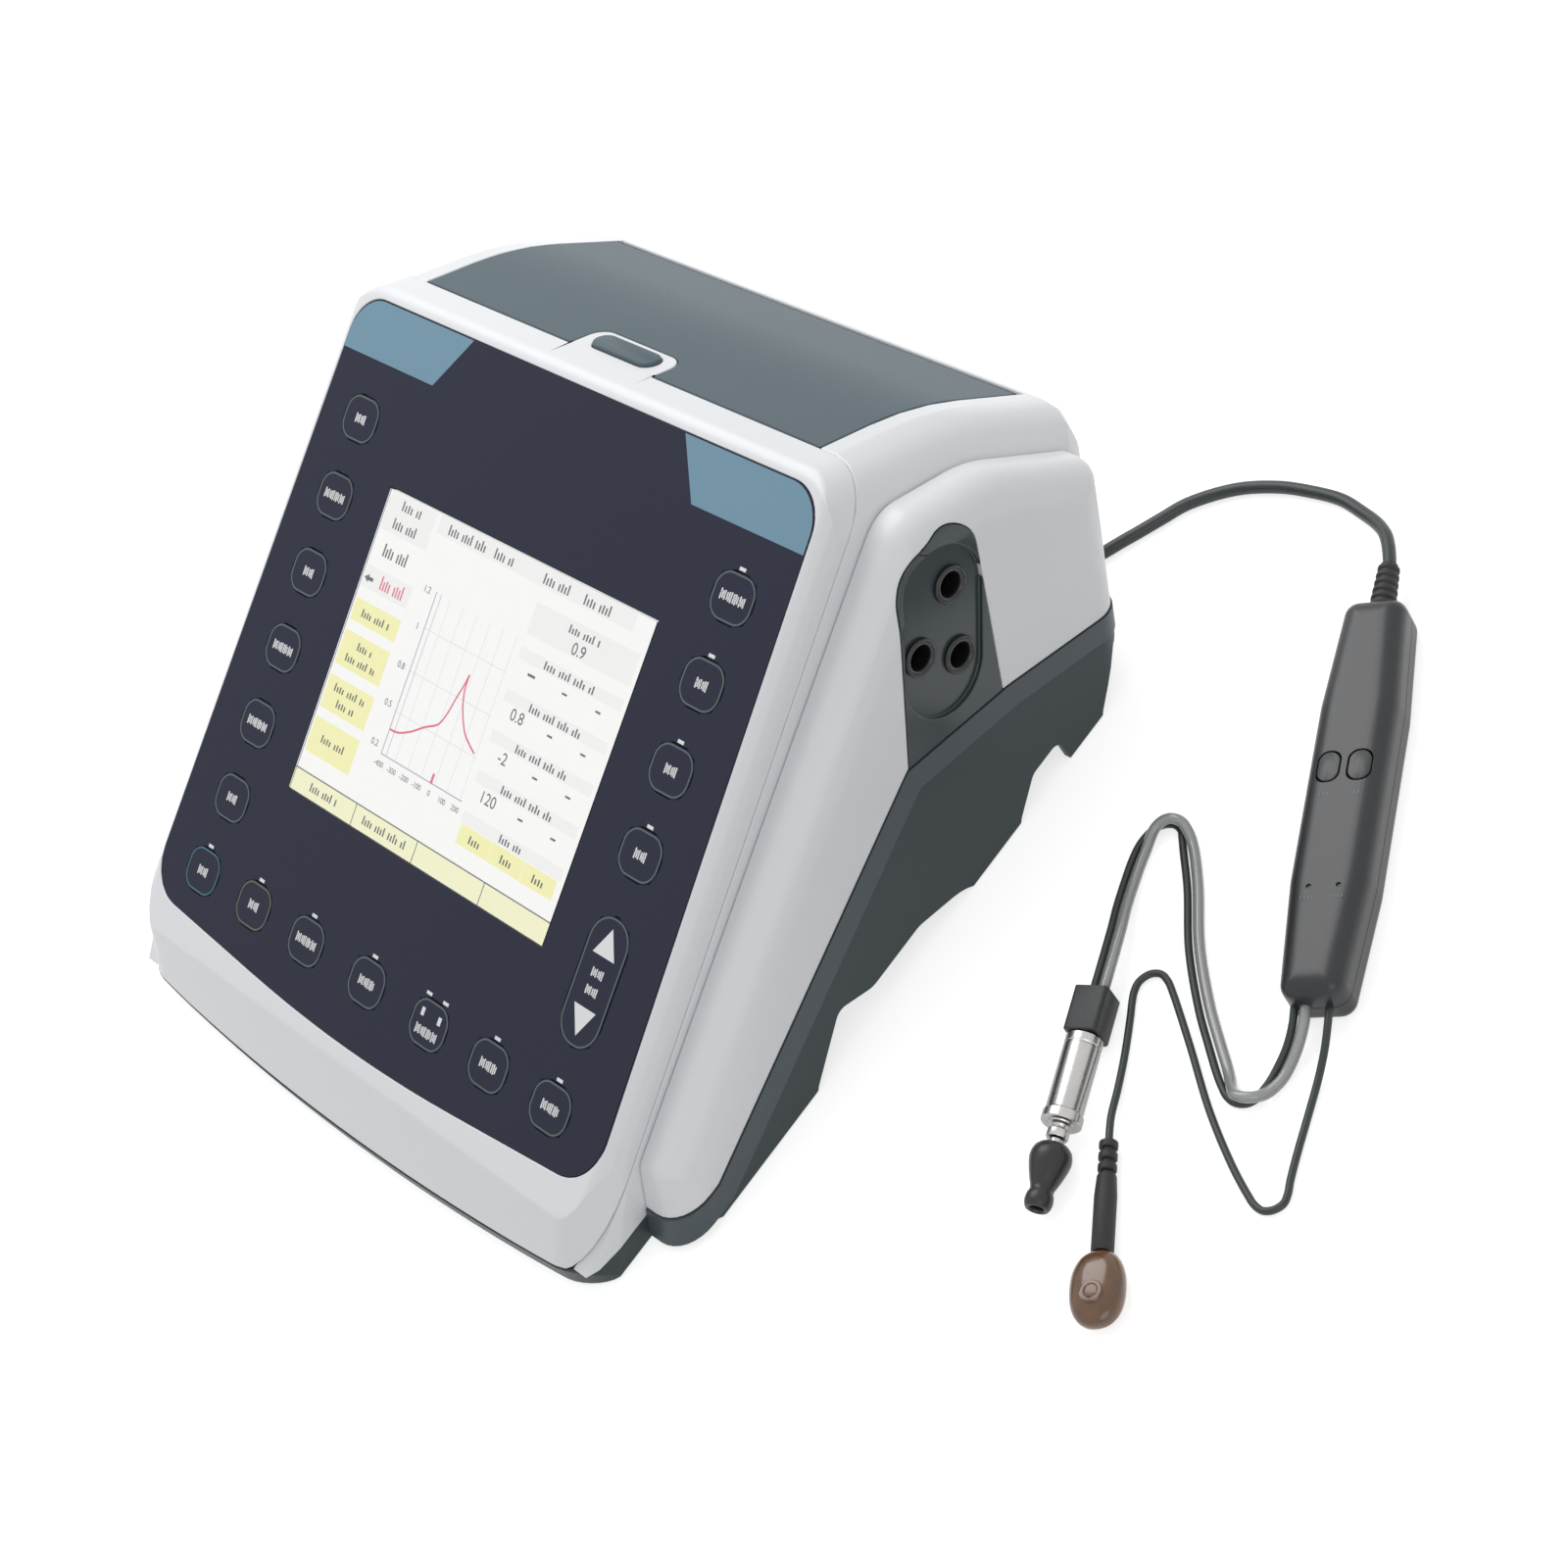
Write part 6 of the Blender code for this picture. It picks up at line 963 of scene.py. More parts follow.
def tapered(form):
    """Narrows a form towards the back, and bows its front wall."""
    for vert in form.verts:
        side = vert.co.x / BODY_HALF_WIDTH
        share = max(0.0, min(1.0, (FRONT_WALL_RUN - FRONT_REACH - vert.co.y) / FRONT_WALL_RUN))
        vert.co.x *= narrowing(vert.co.y) * (1.0 - FRONT_NARROWING_SHARE * share * min(1.0, abs(side)) ** 3)
        vert.co.y += FRONT_BOW * share * min(1.0, side * side)
    return form


def moved_in(corners, shifts):
    """An anticlockwise outline's corners, each side moved inwards by its own distance."""
    made = []
    for i, here in enumerate(corners):
        before, after = corners[i - 1], corners[(i + 1) % len(corners)]
        into, out = (here - before).normalized(), (after - here).normalized()
        normal_in = Vector((-into.y, into.x)) * shifts[i - 1]
        normal_out = Vector((-out.y, out.x)) * shifts[i]
        across = into.x * out.y - into.y * out.x
        along = ((normal_out - normal_in).x * out.y - (normal_out - normal_in).y * out.x) / across
        made.append(here + normal_in + into * along)
    return made


def rounded(corners, radii, steps=ARC_STEPS):
    """An outline with each corner as an arc of so many steps."""
    made = []
    for i, here in enumerate(corners):
        back = (corners[i - 1] - here).normalized()
        onward = (corners[(i + 1) % len(corners)] - here).normalized()
        half = math.acos(max(-1.0, min(1.0, back.dot(onward)))) / 2
        middle = here + (back + onward).normalized() * (radii[i] / math.sin(half))
        start = here + back * (radii[i] / math.tan(half)) - middle
        turn = math.pi - 2 * half
        if back.x * onward.y - back.y * onward.x > 0:
            turn = -turn
        made += [middle + Matrix.Rotation(turn * k / steps, 2) @ start for k in range(steps + 1)]
    return made


def rounded_box(width, length, radius, steps=ARC_STEPS):
    """A rectangle's outline about the origin with rounded corners."""
    x, y = width / 2, length / 2
    return rounded([Vector(p) for p in ((-x, -y), (x, -y), (x, y), (-x, y))], [radius] * 4, steps)


def facing_out(form):
    bmesh.ops.recalc_face_normals(form, faces=form.faces)
    return form


def closed_through(form, rings):
    """Closes a solid through rings of edges that follow one another."""
    bmesh.ops.contextual_create(form, geom=rings[0])
    bmesh.ops.contextual_create(form, geom=rings[-1])
    for first, second in zip(rings, rings[1:]):
        bmesh.ops.bridge_loops(form, edges=first + second)
    return facing_out(form)


def lofted(profile, skin, places, half_width):
    """Sections of a side outline at places across X, joined into one solid with rounded side edges."""
    form = bmesh.new()
    rings = []
    for x in places:
        shifts = [skin + edge_drop(edge, abs(x) - (half_width - edge)) for _, _, edge in profile]
        corners = moved_in([corner for corner, _, _ in profile], shifts)
        pairs = zip(profile, shifts[-1:] + shifts[:-1], shifts)
        radii = [max(radius - max(before, after), LEAST_ROUND) for (_, radius, _), before, after in pairs]
        ring = [form.verts.new((x, y, z)) for y, z in rounded(corners, radii)]
        rings.append([form.edges.new((ring[i - 1], ring[i])) for i in range(len(ring))])
    return closed_through(form, rings)


def body(skin=0.0):
    """The console's whole outer form, or with a skin its form that much further in."""
    half = BODY_HALF_WIDTH - skin
    side = [half - TOP_EDGE_ROUND * (1 - math.sin(math.pi / 2 * k / EDGE_STEPS))
            for k in range(EDGE_STEPS + 1)]
    count = math.floor(side[0] / BOW_STEP)
    middle = [BOW_STEP * k for k in range(-count, count + 1)]
    return tapered(lofted(side_profile(), skin, [-x for x in reversed(side)] + middle + side, half))


def pod_profile():
    """A side pod's outline, anticlockwise."""
    front_top = Vector((-POD_FRONT_REACH + POD_FRONT_LEAN_RUN, POD_FRONT_HEIGHT))
    corners = [
        (Vector((-POD_FRONT_REACH, -BELOW)), LEAST_ROUND),
        (Vector((POD_REAR_REACH - POD_REAR_RUN, -BELOW)), LEAST_ROUND),
        (Vector((POD_REAR_REACH, POD_REAR_HEIGHT)), POD_REAR_ROUND),
        (Vector((POD_SHOULDER_REACH, POD_SHOULDER_HEIGHT)), POD_SHOULDER_ROUND),
        (Vector((POD_PEAK_REACH, POD_PEAK_HEIGHT)), POD_PEAK_ROUND),
        (front_top, POD_FRONT_ROUND),
    ]
    return [(corner, radius, POD_EDGE_ROUND) for corner, radius in corners]


def pod(side, skin=0.0, inner=GAP):
    """A side pod's solid, from just outside the body to the pod's rounded outer edge."""
    half = POD_HALF_WIDTH - skin
    arc = [half - POD_EDGE_ROUND * (1 - math.sin(math.pi / 2 * k / EDGE_STEPS))
           for k in range(EDGE_STEPS + 1)]
    return tapered(lofted(pod_profile(), skin, [side * x for x in [BODY_HALF_WIDTH + inner] + arc], half))


def prism(outline, low, high, axis="X"):
    """An outline drawn in Y and Z pushed along X, or drawn in X and Y pushed along Z."""
    form = bmesh.new()
    if axis == "X":
        corners = [form.verts.new((low, y, z)) for y, z in outline]
        reach = Vector((high - low, 0.0, 0.0))
    else:
        corners = [form.verts.new((x, y, low)) for x, y in outline]
        reach = Vector((0.0, 0.0, high - low))
    pushed = bmesh.ops.extrude_face_region(form, geom=[form.faces.new(corners)])["geom"]
    bmesh.ops.translate(form, vec=reach, verts=[v for v in pushed if isinstance(v, bmesh.types.BMVert)])
    return facing_out(form)


def block(low, high):
    form = bmesh.new()
    low, high = Vector(low), Vector(high)
    place = Matrix.Translation((low + high) / 2) @ Matrix.Diagonal((*(high - low), 1.0))
    bmesh.ops.create_cube(form, size=1.0, matrix=place)
    return form


def rod(radius, length, steps=24):
    form = bmesh.new()
    up = Matrix.Translation((0.0, 0.0, length / 2))
    bmesh.ops.create_cone(form, cap_ends=True, segments=steps, radius1=radius, radius2=radius, depth=length,
                          matrix=up)
    return form


def x_rod(radius, start, end, y, z, steps=24):
    place = Matrix.Translation((start, y, z)) @ Matrix.Rotation(math.pi / 2, 4, "Y")
    return placed(rod(radius, end - start, steps), place)


def keep_under(form, point, normal):
    """Cuts a solid at a plane and closes what lies against the normal."""
    whole = form.verts[:] + form.edges[:] + form.faces[:]
    bmesh.ops.bisect_plane(form, geom=whole, plane_co=point, plane_no=normal, clear_outer=True)
    open_edges = [edge for edge in form.edges if edge.is_boundary]
    if open_edges:
        bmesh.ops.holes_fill(form, edges=open_edges, sides=0)
    return facing_out(form)


def combine(form, others, operation):
    """Joins, cuts or intersects a form with others by the exact solver."""
    meshes = []
    for each in (form, *others):
        meshes.append(bpy.data.meshes.new("work"))
        each.to_mesh(meshes[-1])
        each.free()
    base = bpy.data.objects.new("work", meshes[0])
    bpy.context.scene.collection.objects.link(base)
    for mesh in meshes[1:]:
        tool = bpy.data.objects.new("tool", mesh)
        bpy.context.scene.collection.objects.link(tool)
        step = base.modifiers.new("step", "BOOLEAN")
        step.operation = operation
        step.solver = "EXACT"
        step.object = tool
        evaluated = base.evaluated_get(bpy.context.evaluated_depsgraph_get())
        fresh = bpy.data.meshes.new_from_object(evaluated)
        base.modifiers.clear()
        base.data = fresh
        bpy.data.objects.remove(tool)
    made = bmesh.new()
    made.from_mesh(base.data)
    bpy.data.objects.remove(base)
    return made


def cut(form, *tools):
    return combine(form, tools, "DIFFERENCE")


def join(form, *others):
    return combine(form, others, "UNION")


def common(form, *others):
    return combine(form, others, "INTERSECT")


def grown(corners, distance):
    return moved_in(corners, [-distance] * len(corners))


def under_split(side, rise=0.0):
    """Everything below the line where the white pod meets the dark skirt."""
    far, deep = REAR_REACH * 2, -BELOW * 2
    line = [
        (-far, SPLIT_FRONT_HEIGHT), (-SPLIT_FRONT_REACH, SPLIT_FRONT_HEIGHT),
        (SPLIT_PEAK_REACH, SPLIT_PEAK_HEIGHT),
        (SPLIT_REAR_REACH, SPLIT_REAR_HEIGHT), (SPLIT_END_REACH, SPLIT_END_HEIGHT), (far, SPLIT_END_HEIGHT),
    ]
    outline = [(-far, deep), (far, deep)] + [(y, z + rise) for y, z in reversed(line)]
    ends = sorted((side * BODY_HALF_WIDTH / 2, side * (POD_HALF_WIDTH + OVERRUN)))
    return prism([Vector(p) for p in outline], *ends)


def skirt_arches(side):
    """What the skirt's toe, arches, notch and heel leave open."""
    deep, table = -OVERRUN * 3, TABLE_CLEARANCE
    toe = [(-POD_FRONT_REACH * 2, deep), (-TOE_REACH, deep), (-TOE_REACH, table),
           (-POD_FRONT_REACH, TOE_RISE),
           (-POD_FRONT_REACH * 2, TOE_RISE)]
    arch = [(ARCH_FRONT, deep), (ARCH_REAR, deep), (ARCH_REAR, table), (ARCH_LOW_END, ARCH_LOW_HEIGHT),
            (ARCH_MIDDLE, ARCH_LOW_HEIGHT), (ARCH_PEAK, ARCH_PEAK_HEIGHT), (ARCH_FRONT, table)]
    notch = [(NOTCH_FRONT, deep), (NOTCH_REAR, deep), (NOTCH_REAR, NOTCH_HEIGHT),
             ((NOTCH_FRONT + NOTCH_REAR) / 2, NOTCH_HEIGHT), (NOTCH_FRONT, table)]
    heel = [(HEEL_REACH, deep), (REAR_REACH, deep), (REAR_REACH, HEEL_RISE),
            (HEEL_REACH + HEEL_RISE_RUN, HEEL_RISE), (HEEL_REACH, table)]
    rounds = [
        (toe, [LEAST_ROUND, LEAST_ROUND, TOE_RISE, LEAST_ROUND, LEAST_ROUND]),
        (arch, [LEAST_ROUND] * 2 + [ARCH_LOW_HEIGHT * 2] + [ARCH_LOW_HEIGHT] * 2 + [ARCH_LOW_HEIGHT / 2] * 2),
        (notch, [LEAST_ROUND, LEAST_ROUND, TOE_RISE / 3, TOE_RISE / 2, TOE_RISE / 2]),
        (heel, [LEAST_ROUND, LEAST_ROUND, LEAST_ROUND, TOE_RISE / 2, TOE_RISE / 2]),
    ]
    ends = sorted((side * BODY_HALF_WIDTH / 2, side * (POD_HALF_WIDTH + OVERRUN)))
    return [prism(rounded([Vector(p) for p in outline], radii), *ends) for outline, radii in rounds]


def skirt(side):
    form = cut(common(pod(side), under_split(side)), pod(side, POD_WALL, -OVERRUN))
    form = keep_under(form, Vector((0.0, 0.0, TABLE_CLEARANCE)), Vector((0.0, 0.0, -1.0)))
    return cut(form, *skirt_arches(side))


def skirt_band(side):
    """The raised band along the skirt's upper edge, lighter than the skirt as a painted highlight where its
    flared edge catches the light.
    """
    form = common(pod(side, -BAND_PROUD), under_split(side))
    return cut(form, pod(side, LEAST_ROUND, -OVERRUN), under_split(side, -BAND_WIDTH))


def tray():
    """The dark bottom with its front strip."""
    form = keep_under(body(), Vector((0.0, 0.0, STRIP_HEIGHT)), Vector((0.0, 0.0, 1.0)))
    form = keep_under(form, Vector((0.0, 0.0, TABLE_CLEARANCE)), Vector((0.0, 0.0, -1.0)))
    inside = keep_under(body(WALL), Vector((0.0, 0.0, FLOOR_TOP)), Vector((0.0, 0.0, -1.0)))
    return cut(form, inside)


def plate_zone(growth):
    """What the jack plate takes out of the right pod, pushed through along X."""
    corners = [
        Vector((PLATE_FRONT_FOOT, PLATE_FOOT)), Vector((PLATE_REAR_FOOT, PLATE_FOOT)),
        Vector((PLATE_REAR_TOP, PLATE_TOP)), Vector((PLATE_FRONT_TOP, PLATE_TOP)),
    ]
    radii = [LEAST_ROUND, LEAST_ROUND, PLATE_REAR_ROUND + growth, PLATE_FRONT_ROUND + growth]
    return prism(rounded(grown(corners, growth), radii, 12), BODY_HALF_WIDTH / 2, POD_HALF_WIDTH + OVERRUN)


def white_pod(side):
    form = cut(pod(side), pod(side, POD_WALL, -OVERRUN), under_split(side, GAP))
    return cut(form, plate_zone(GAP)) if side > 0 else form


def jack_plate():
    """The dark plate with its oval recess and the holes for the jacks."""
    form = cut(common(pod(1.0), plate_zone(0.0)), pod(1.0, PLATE_THICKNESS, -OVERRUN), under_split(1.0, GAP))
    turn = Matrix.Rotation(RECESS_LEAN, 2)
    oval = [turn @ p + Vector(RECESS_AT) for p in rounded_box(RECESS_LENGTH, RECESS_WIDTH, RECESS_ROUND, 12)]
    holes = [x_rod(JACK_RADIUS + GAP, POD_HALF_WIDTH - OVERRUN * 2, POD_HALF_WIDTH + OVERRUN, y, z, 32)
             for y, z in JACK_PLACES]
    recess = prism(oval, POD_HALF_WIDTH - RECESS_DEPTH, POD_HALF_WIDTH + OVERRUN)
    return cut(form, tapered(recess), *[tapered(hole) for hole in holes])


def panel_prism(growth, low, high):
    """The key panel's outline pushed through, in the console's frame."""
    corners = [
        Vector((-PANEL_HALF_BOTTOM, -PANEL_SIDE_BOTTOM)), Vector((0.0, -PANEL_BOTTOM)),
        Vector((PANEL_HALF_BOTTOM, -PANEL_SIDE_BOTTOM)), Vector((PANEL_HALF_TOP, PANEL_TOP)),
        Vector((-PANEL_HALF_TOP, PANEL_TOP)),
    ]
    radii = [PANEL_BOTTOM_ROUND, PANEL_BOW_ROUND, PANEL_BOTTOM_ROUND, PANEL_TOP_ROUND, PANEL_TOP_ROUND]
    outline = rounded(grown(corners, growth), [radius + growth for radius in radii], 12)
    return placed(prism(outline, low, high, "Z"), SLOPE)


def cover_edge():
    """Y and Z of the cover's front edge, where the seam comes out at the top."""
    return on_slope(RIDGE_UP + SEAM_DEPTH / math.tan(PANEL_TILT + COVER_FRONT_SLOPE), -SEAM_DEPTH)


def button_frame():
    """On the cover's front slope, over the release button's middle, with Z out of the surface."""
    y, z = cover_edge() + Vector((math.cos(COVER_FRONT_SLOPE), -math.sin(COVER_FRONT_SLOPE))) * BUTTON_BACK
    return Matrix.Translation((0.0, y, z)) @ Matrix.Rotation(-COVER_FRONT_SLOPE, 4, "X")


def tab_prism(growth, low, high):
    x, front, back = TAB_HALF_WIDTH, -BUTTON_BACK - TAB_FRONT, TAB_DEPTH - BUTTON_BACK
    corners = [Vector(p) for p in ((-x, front), (x, front), (x, back), (-x, back))]
    radii = [LEAST_ROUND, LEAST_ROUND, TAB_ROUND + growth, TAB_ROUND + growth]
    return placed(prism(rounded(grown(corners, growth), radii), low, high, "Z"), button_frame())


def bezel():
    """The white frame round the key panel, with the front wall and the release button's tab."""
    form = keep_under(body(), Vector((0.0, 0.0, STRIP_HEIGHT + GAP)), Vector((0.0, 0.0, -1.0)))
    form = keep_under(form, seam_point(SEAM_DEPTH), -seam_normal())
    tab = common(body(), tab_prism(0.0, -WALL * 2, OVERRUN))
    shelf = PANEL_THICKNESS + GAP + WALL
    pocket = keep_under(body(WALL), seam_point(shelf), seam_normal())
    recess = panel_prism(GAP / 2, -PANEL_THICKNESS - GAP, OVERRUN)
    x, up = SCREEN_WIDTH / 2 + WALL, SCREEN_LENGTH / 2 + WALL
    opening = placed(block((-x, -up, -OVERRUN * 2), (x, up, OVERRUN)), SLOPE)
    wide, deep = BUTTON_WIDTH + 2 * GAP, BUTTON_DEPTH + 2 * GAP
    hole = placed(prism(rounded_box(wide, deep, deep / 2 - MERGE), -OVERRUN, OVERRUN, "Z"), button_frame())
    return cut(join(form, tab), pocket, recess, opening, hole)


def cover_end():
    """Y and Z of the cover's rear edge on its outer surface."""
    middle = side_profile()[4][0]
    return Vector((COVER_REAR, middle.y - (COVER_REAR - middle.x) * math.tan(COVER_REAR_SLOPE)))


def hinge_frame():
    """On the cover's hinge axis, with Y to the rear along the cover and Z out of it."""
    inward = Vector((-math.sin(COVER_REAR_SLOPE), -math.cos(COVER_REAR_SLOPE))) * HINGE_DEPTH
    y, z = cover_end() + inward
    return Matrix.Translation((0.0, y, z)) @ Matrix.Rotation(-COVER_REAR_SLOPE, 4, "X")


def cover():
    """The slate printer cover with its hinge barrels and the platen's two ears."""
    form = keep_under(body(), seam_point(SEAM_DEPTH + GAP), seam_normal())
    for side in (-1.0, 1.0):
        form = keep_under(form, Vector((side * COVER_HALF_WIDTH, 0.0, 0.0)), Vector((side, 0.0, 0.0)))
    along = Vector((0.0, math.cos(COVER_REAR_SLOPE), -math.sin(COVER_REAR_SLOPE)))
    end = Vector((0.0, *cover_end()))
    form = keep_under(form, end, along)
    form = keep_under(form, end - Vector((0.0, 0.0, OVERRUN)), Vector((0.0, 0.0, -1.0)))
    back = Vector((0.0, math.cos(COVER_FRONT_SLOPE), -math.sin(COVER_FRONT_SLOPE)))
    form = keep_under(form, Vector((0.0, *cover_edge())) + back * GAP, -back)
    form = cut(form, body(COVER_THICKNESS), tab_prism(GAP, -OVERRUN, OVERRUN))
    parts = []
    for side in (-1.0, 1.0):
        start, stop = sorted((side * (COVER_HALF_WIDTH - GAP), side * (COVER_HALF_WIDTH - BARREL_WIDTH)))
        parts.append(placed(x_rod(BARREL_RADIUS, start, stop, 0.0, 0.0), hinge_frame()))
        start, stop = sorted((side * EAR_INNER, side * (EAR_INNER + EAR_THICKNESS)))
        back = PLATEN_BACK - BUTTON_BACK
        low = (start, back - EAR_LENGTH / 2, -PLATEN_DROP - EAR_LENGTH / 2)
        ear = block(low, (stop, back + EAR_LENGTH / 2, -COVER_THICKNESS / 2))
        parts.append(placed(ear, button_frame()))
    return join(form, *parts)


def moulding(node, form, materials, edge=0.3 * MM, name=None, stands_for=True):
    bmesh.ops.remove_doubles(form, verts=form.verts, dist=SHORTEST)
    return part(name or f"{node}_skin", form, materials, node_body(node), [node] if stands_for else (),
                CONSOLE, edge)


def console_mouldings():
    moulding("front_bezel", bezel(), WHITE)
    dressed("upper_shell", WHITE, edge=0.3 * MM, angle=24.0)
    moulding("side_pod_left", white_pod(-1.0), WHITE)
    moulding("side_pod_right", white_pod(1.0), WHITE)
    moulding("base_shell", tray(), DARK)
    for side, word in ((-1.0, "left"), (1.0, "right")):
        moulding("base_shell", skirt(side), DARK, name=f"skirt_{word}", stands_for=False)
        # the band's lighter plastic is painted highlight
        moulding("base_shell", skirt_band(side), SKIRT_BAND_HIGHLIGHT, 0.1 * MM, f"skirt_band_{word}", False)
    moulding("printer_cover", cover(), SLATE, 0.25 * MM)
    moulding("jack_plate", jack_plate(), PLATE_DARK, 0.2 * MM)
    dressed("keypad_panel", NAVY, edge=0.12 * MM)
    dressed("rear_panel", DARK)
    dressed("power_inlet", SATIN_BLACK)
    dressed("power_switch", BLACK, edge=0.35 * MM)
    dressed("printer_frame", SATIN_BLACK)
    dressed("rubber_foot_front", RUBBER, edge=0.4 * MM)
    dressed("rubber_foot_rear", RUBBER, edge=0.4 * MM)
    dressed("display_module", STEEL, edge=0.3 * MM)
    dressed("cover_hinge_rod", STEEL, edge=0.2 * MM)
    dressed("air_pump", STEEL, edge=0.4 * MM)
    dressed("platen_roller", RUBBER, edge=0.3 * MM)
    dressed("paper_roll", PAPER, edge=0.15 * MM)
    dressed("main_board", BOARD, edge=0.1 * MM)
    dressed("power_supply", BOARD, edge=0.2 * MM)


console_mouldings()


# Key panel prints and keys
def blue_corner(side):
    """One light-blue area in an upper corner of the panel."""
    lower, inner_top, inner_low, rim = 73.0 * MM, 44.5 * MM, 55.0 * MM, 0.25 * MM
    narrow = (PANEL_HALF_BOTTOM - PANEL_HALF_TOP) / (PANEL_TOP + PANEL_SIDE_BOTTOM)
    outer_top, top = PANEL_HALF_TOP - rim, PANEL_TOP - rim
    outer_low = outer_top + (top - lower) * narrow
    form = bmesh.new()
    corners = [(inner_low, lower), (outer_low, lower), (outer_top, top), (inner_top, top)]
    verts = [form.verts.new((side * x, y, 0.0)) for x, y in corners]
    form.faces.new(verts)
    bmesh.ops.bevel(form, geom=[verts[2]], offset=PANEL_TOP_ROUND, offset_type="OFFSET", segments=14,
                    profile=0.5, affect="VERTICES", material=-1)
    pushed = bmesh.ops.extrude_face_region(form, geom=form.faces[:])["geom"]
    lifted = [v for v in pushed if isinstance(v, bmesh.types.BMVert)]
    bmesh.ops.translate(form, vec=(0.0, 0.0, PRINT_PROUD), verts=lifted)
    bmesh.ops.recalc_face_normals(form, faces=form.faces)
    name = "blue_corner_left" if side < 0 else "blue_corner_right"
    part(name, form, BLUE, "console", place=PANEL)


LEGENDS = {
    "key_left_1": 2, "key_left_2": 4, "key_left_3": 2, "key_left_4": 4, "key_left_5": 4, "key_left_6": 2,
    "key_right_1": 4, "key_right_2": 2, "key_right_3": 2, "key_right_4": 2,
    "key_bottom_1": 2, "key_bottom_2": 2, "key_bottom_3": 4, "key_bottom_4": 3, "key_bottom_5": 4,
    "key_bottom_6": 3, "key_bottom_7": 3,
}
BLOCK = 1.9 * MM
BLOCK_STEP = 2.35 * MM
BLOCK_HEIGHT = 2.7 * MM


def on_panel(name):
    """A key's middle in the panel's own X and up."""
    low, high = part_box(name)
    middle = PANEL.inverted() @ ((low + high) / 2)
    return middle.x, middle.y


def legend(form, count, up, height=BLOCK_HEIGHT):
    """A row of generic blocks, each of uneven upright strokes, in a word's place."""
    for i in range(count):
        x = (i - (count - 1) / 2) * BLOCK_STEP
        for stroke in range(3):
            share = (1.0, 0.72, 0.9)[(i + stroke) % 3]
            at = x + (stroke - 1) * BLOCK / 2.6
            tile(form, at, up, BLOCK / 4, height * share, KEY_OVER - PRINT_PROUD, KEY_OVER + PRINT_PROUD, 2)
        tile(form, x, up + height * 0.1 * (-1) ** i, BLOCK * 0.9, height / 7, KEY_OVER - PRINT_PROUD,
             KEY_OVER + PRINT_PROUD, 2)


def ringed_cap(width, length, radius):
    """A key's cap with its printed outline, whose faces take the second material."""
    form = rounded_plate(width, length, radius, KEY_UNDER, KEY_OVER)
    top = top_face(form)
    bmesh.ops.inset_region(form, faces=[top], thickness=KEY_RIM)
    ring = bmesh.ops.inset_region(form, faces=[top], thickness=KEY_RING)["faces"]
    for face in ring:
        face.material_index = 1
    return form


def add_keys():
    outlines = {"key_bottom_1": TEAL_INK, "key_bottom_2": OLIVE_INK}
    for name, count in LEGENDS.items():
        x, up = on_panel(name)
        form = ringed_cap(KEY_WIDTH, KEY_HEIGHT, KEY_ROUND)
        if name == "key_bottom_5":
            legend(form, count, -2.2 * MM)
            for side in (-1.0, 1.0):
                tile(form, side * 3.6 * MM, 2.4 * MM, 1.3 * MM, 2.2 * MM, KEY_OVER - PRINT_PROUD,
                     KEY_OVER + PRINT_PROUD, 2)
        else:
            legend(form, count, 0.0)
        inks = [NAVY, outlines.get(name, RING_INK), INK]
        part(f"{name}_cap", form, inks, name, [name], PANEL @ Matrix.Translation((x, up, 0.0)))
    name = "arrow_key"
    x, up = on_panel(name)
    form = ringed_cap(KEY_WIDTH, ARROW_KEY_HEIGHT, ARROW_KEY_ROUND)
    low, high = KEY_OVER - PRINT_PROUD, KEY_OVER + PRINT_PROUD
    wedge(form, 0.0, 9.2 * MM, 4.9 * MM, low, high, 2)
    wedge(form, 0.0, -9.2 * MM, 4.9 * MM, low, high, 2, math.pi)
    for row in (2.3 * MM, -2.3 * MM):
        legend(form, 2, row, 2.4 * MM)
    part(f"{name}_cap", form, [NAVY, RING_INK, INK], name, [name],
         PANEL @ Matrix.Translation((x, up, 0.0)))


def add_dashes():
    """The small white windows of the lamps over the keys."""
    form = bmesh.new()
    for name in LEGENDS:
        if name.startswith("key_left"):
            continue
        x, up = on_panel(name)
        for shift in (-3.6 * MM, 3.6 * MM) if name == "key_bottom_5" else (0.0,):
            tile(form, x + shift, up + DASH_UP, 2.3 * MM, 0.9 * MM, -PRINT_PROUD, PRINT_PROUD)
    part("lamp_windows", form, INK, "console", place=PANEL)


for corner in (-1.0, 1.0):
    blue_corner(corner)
add_keys()
add_dashes()


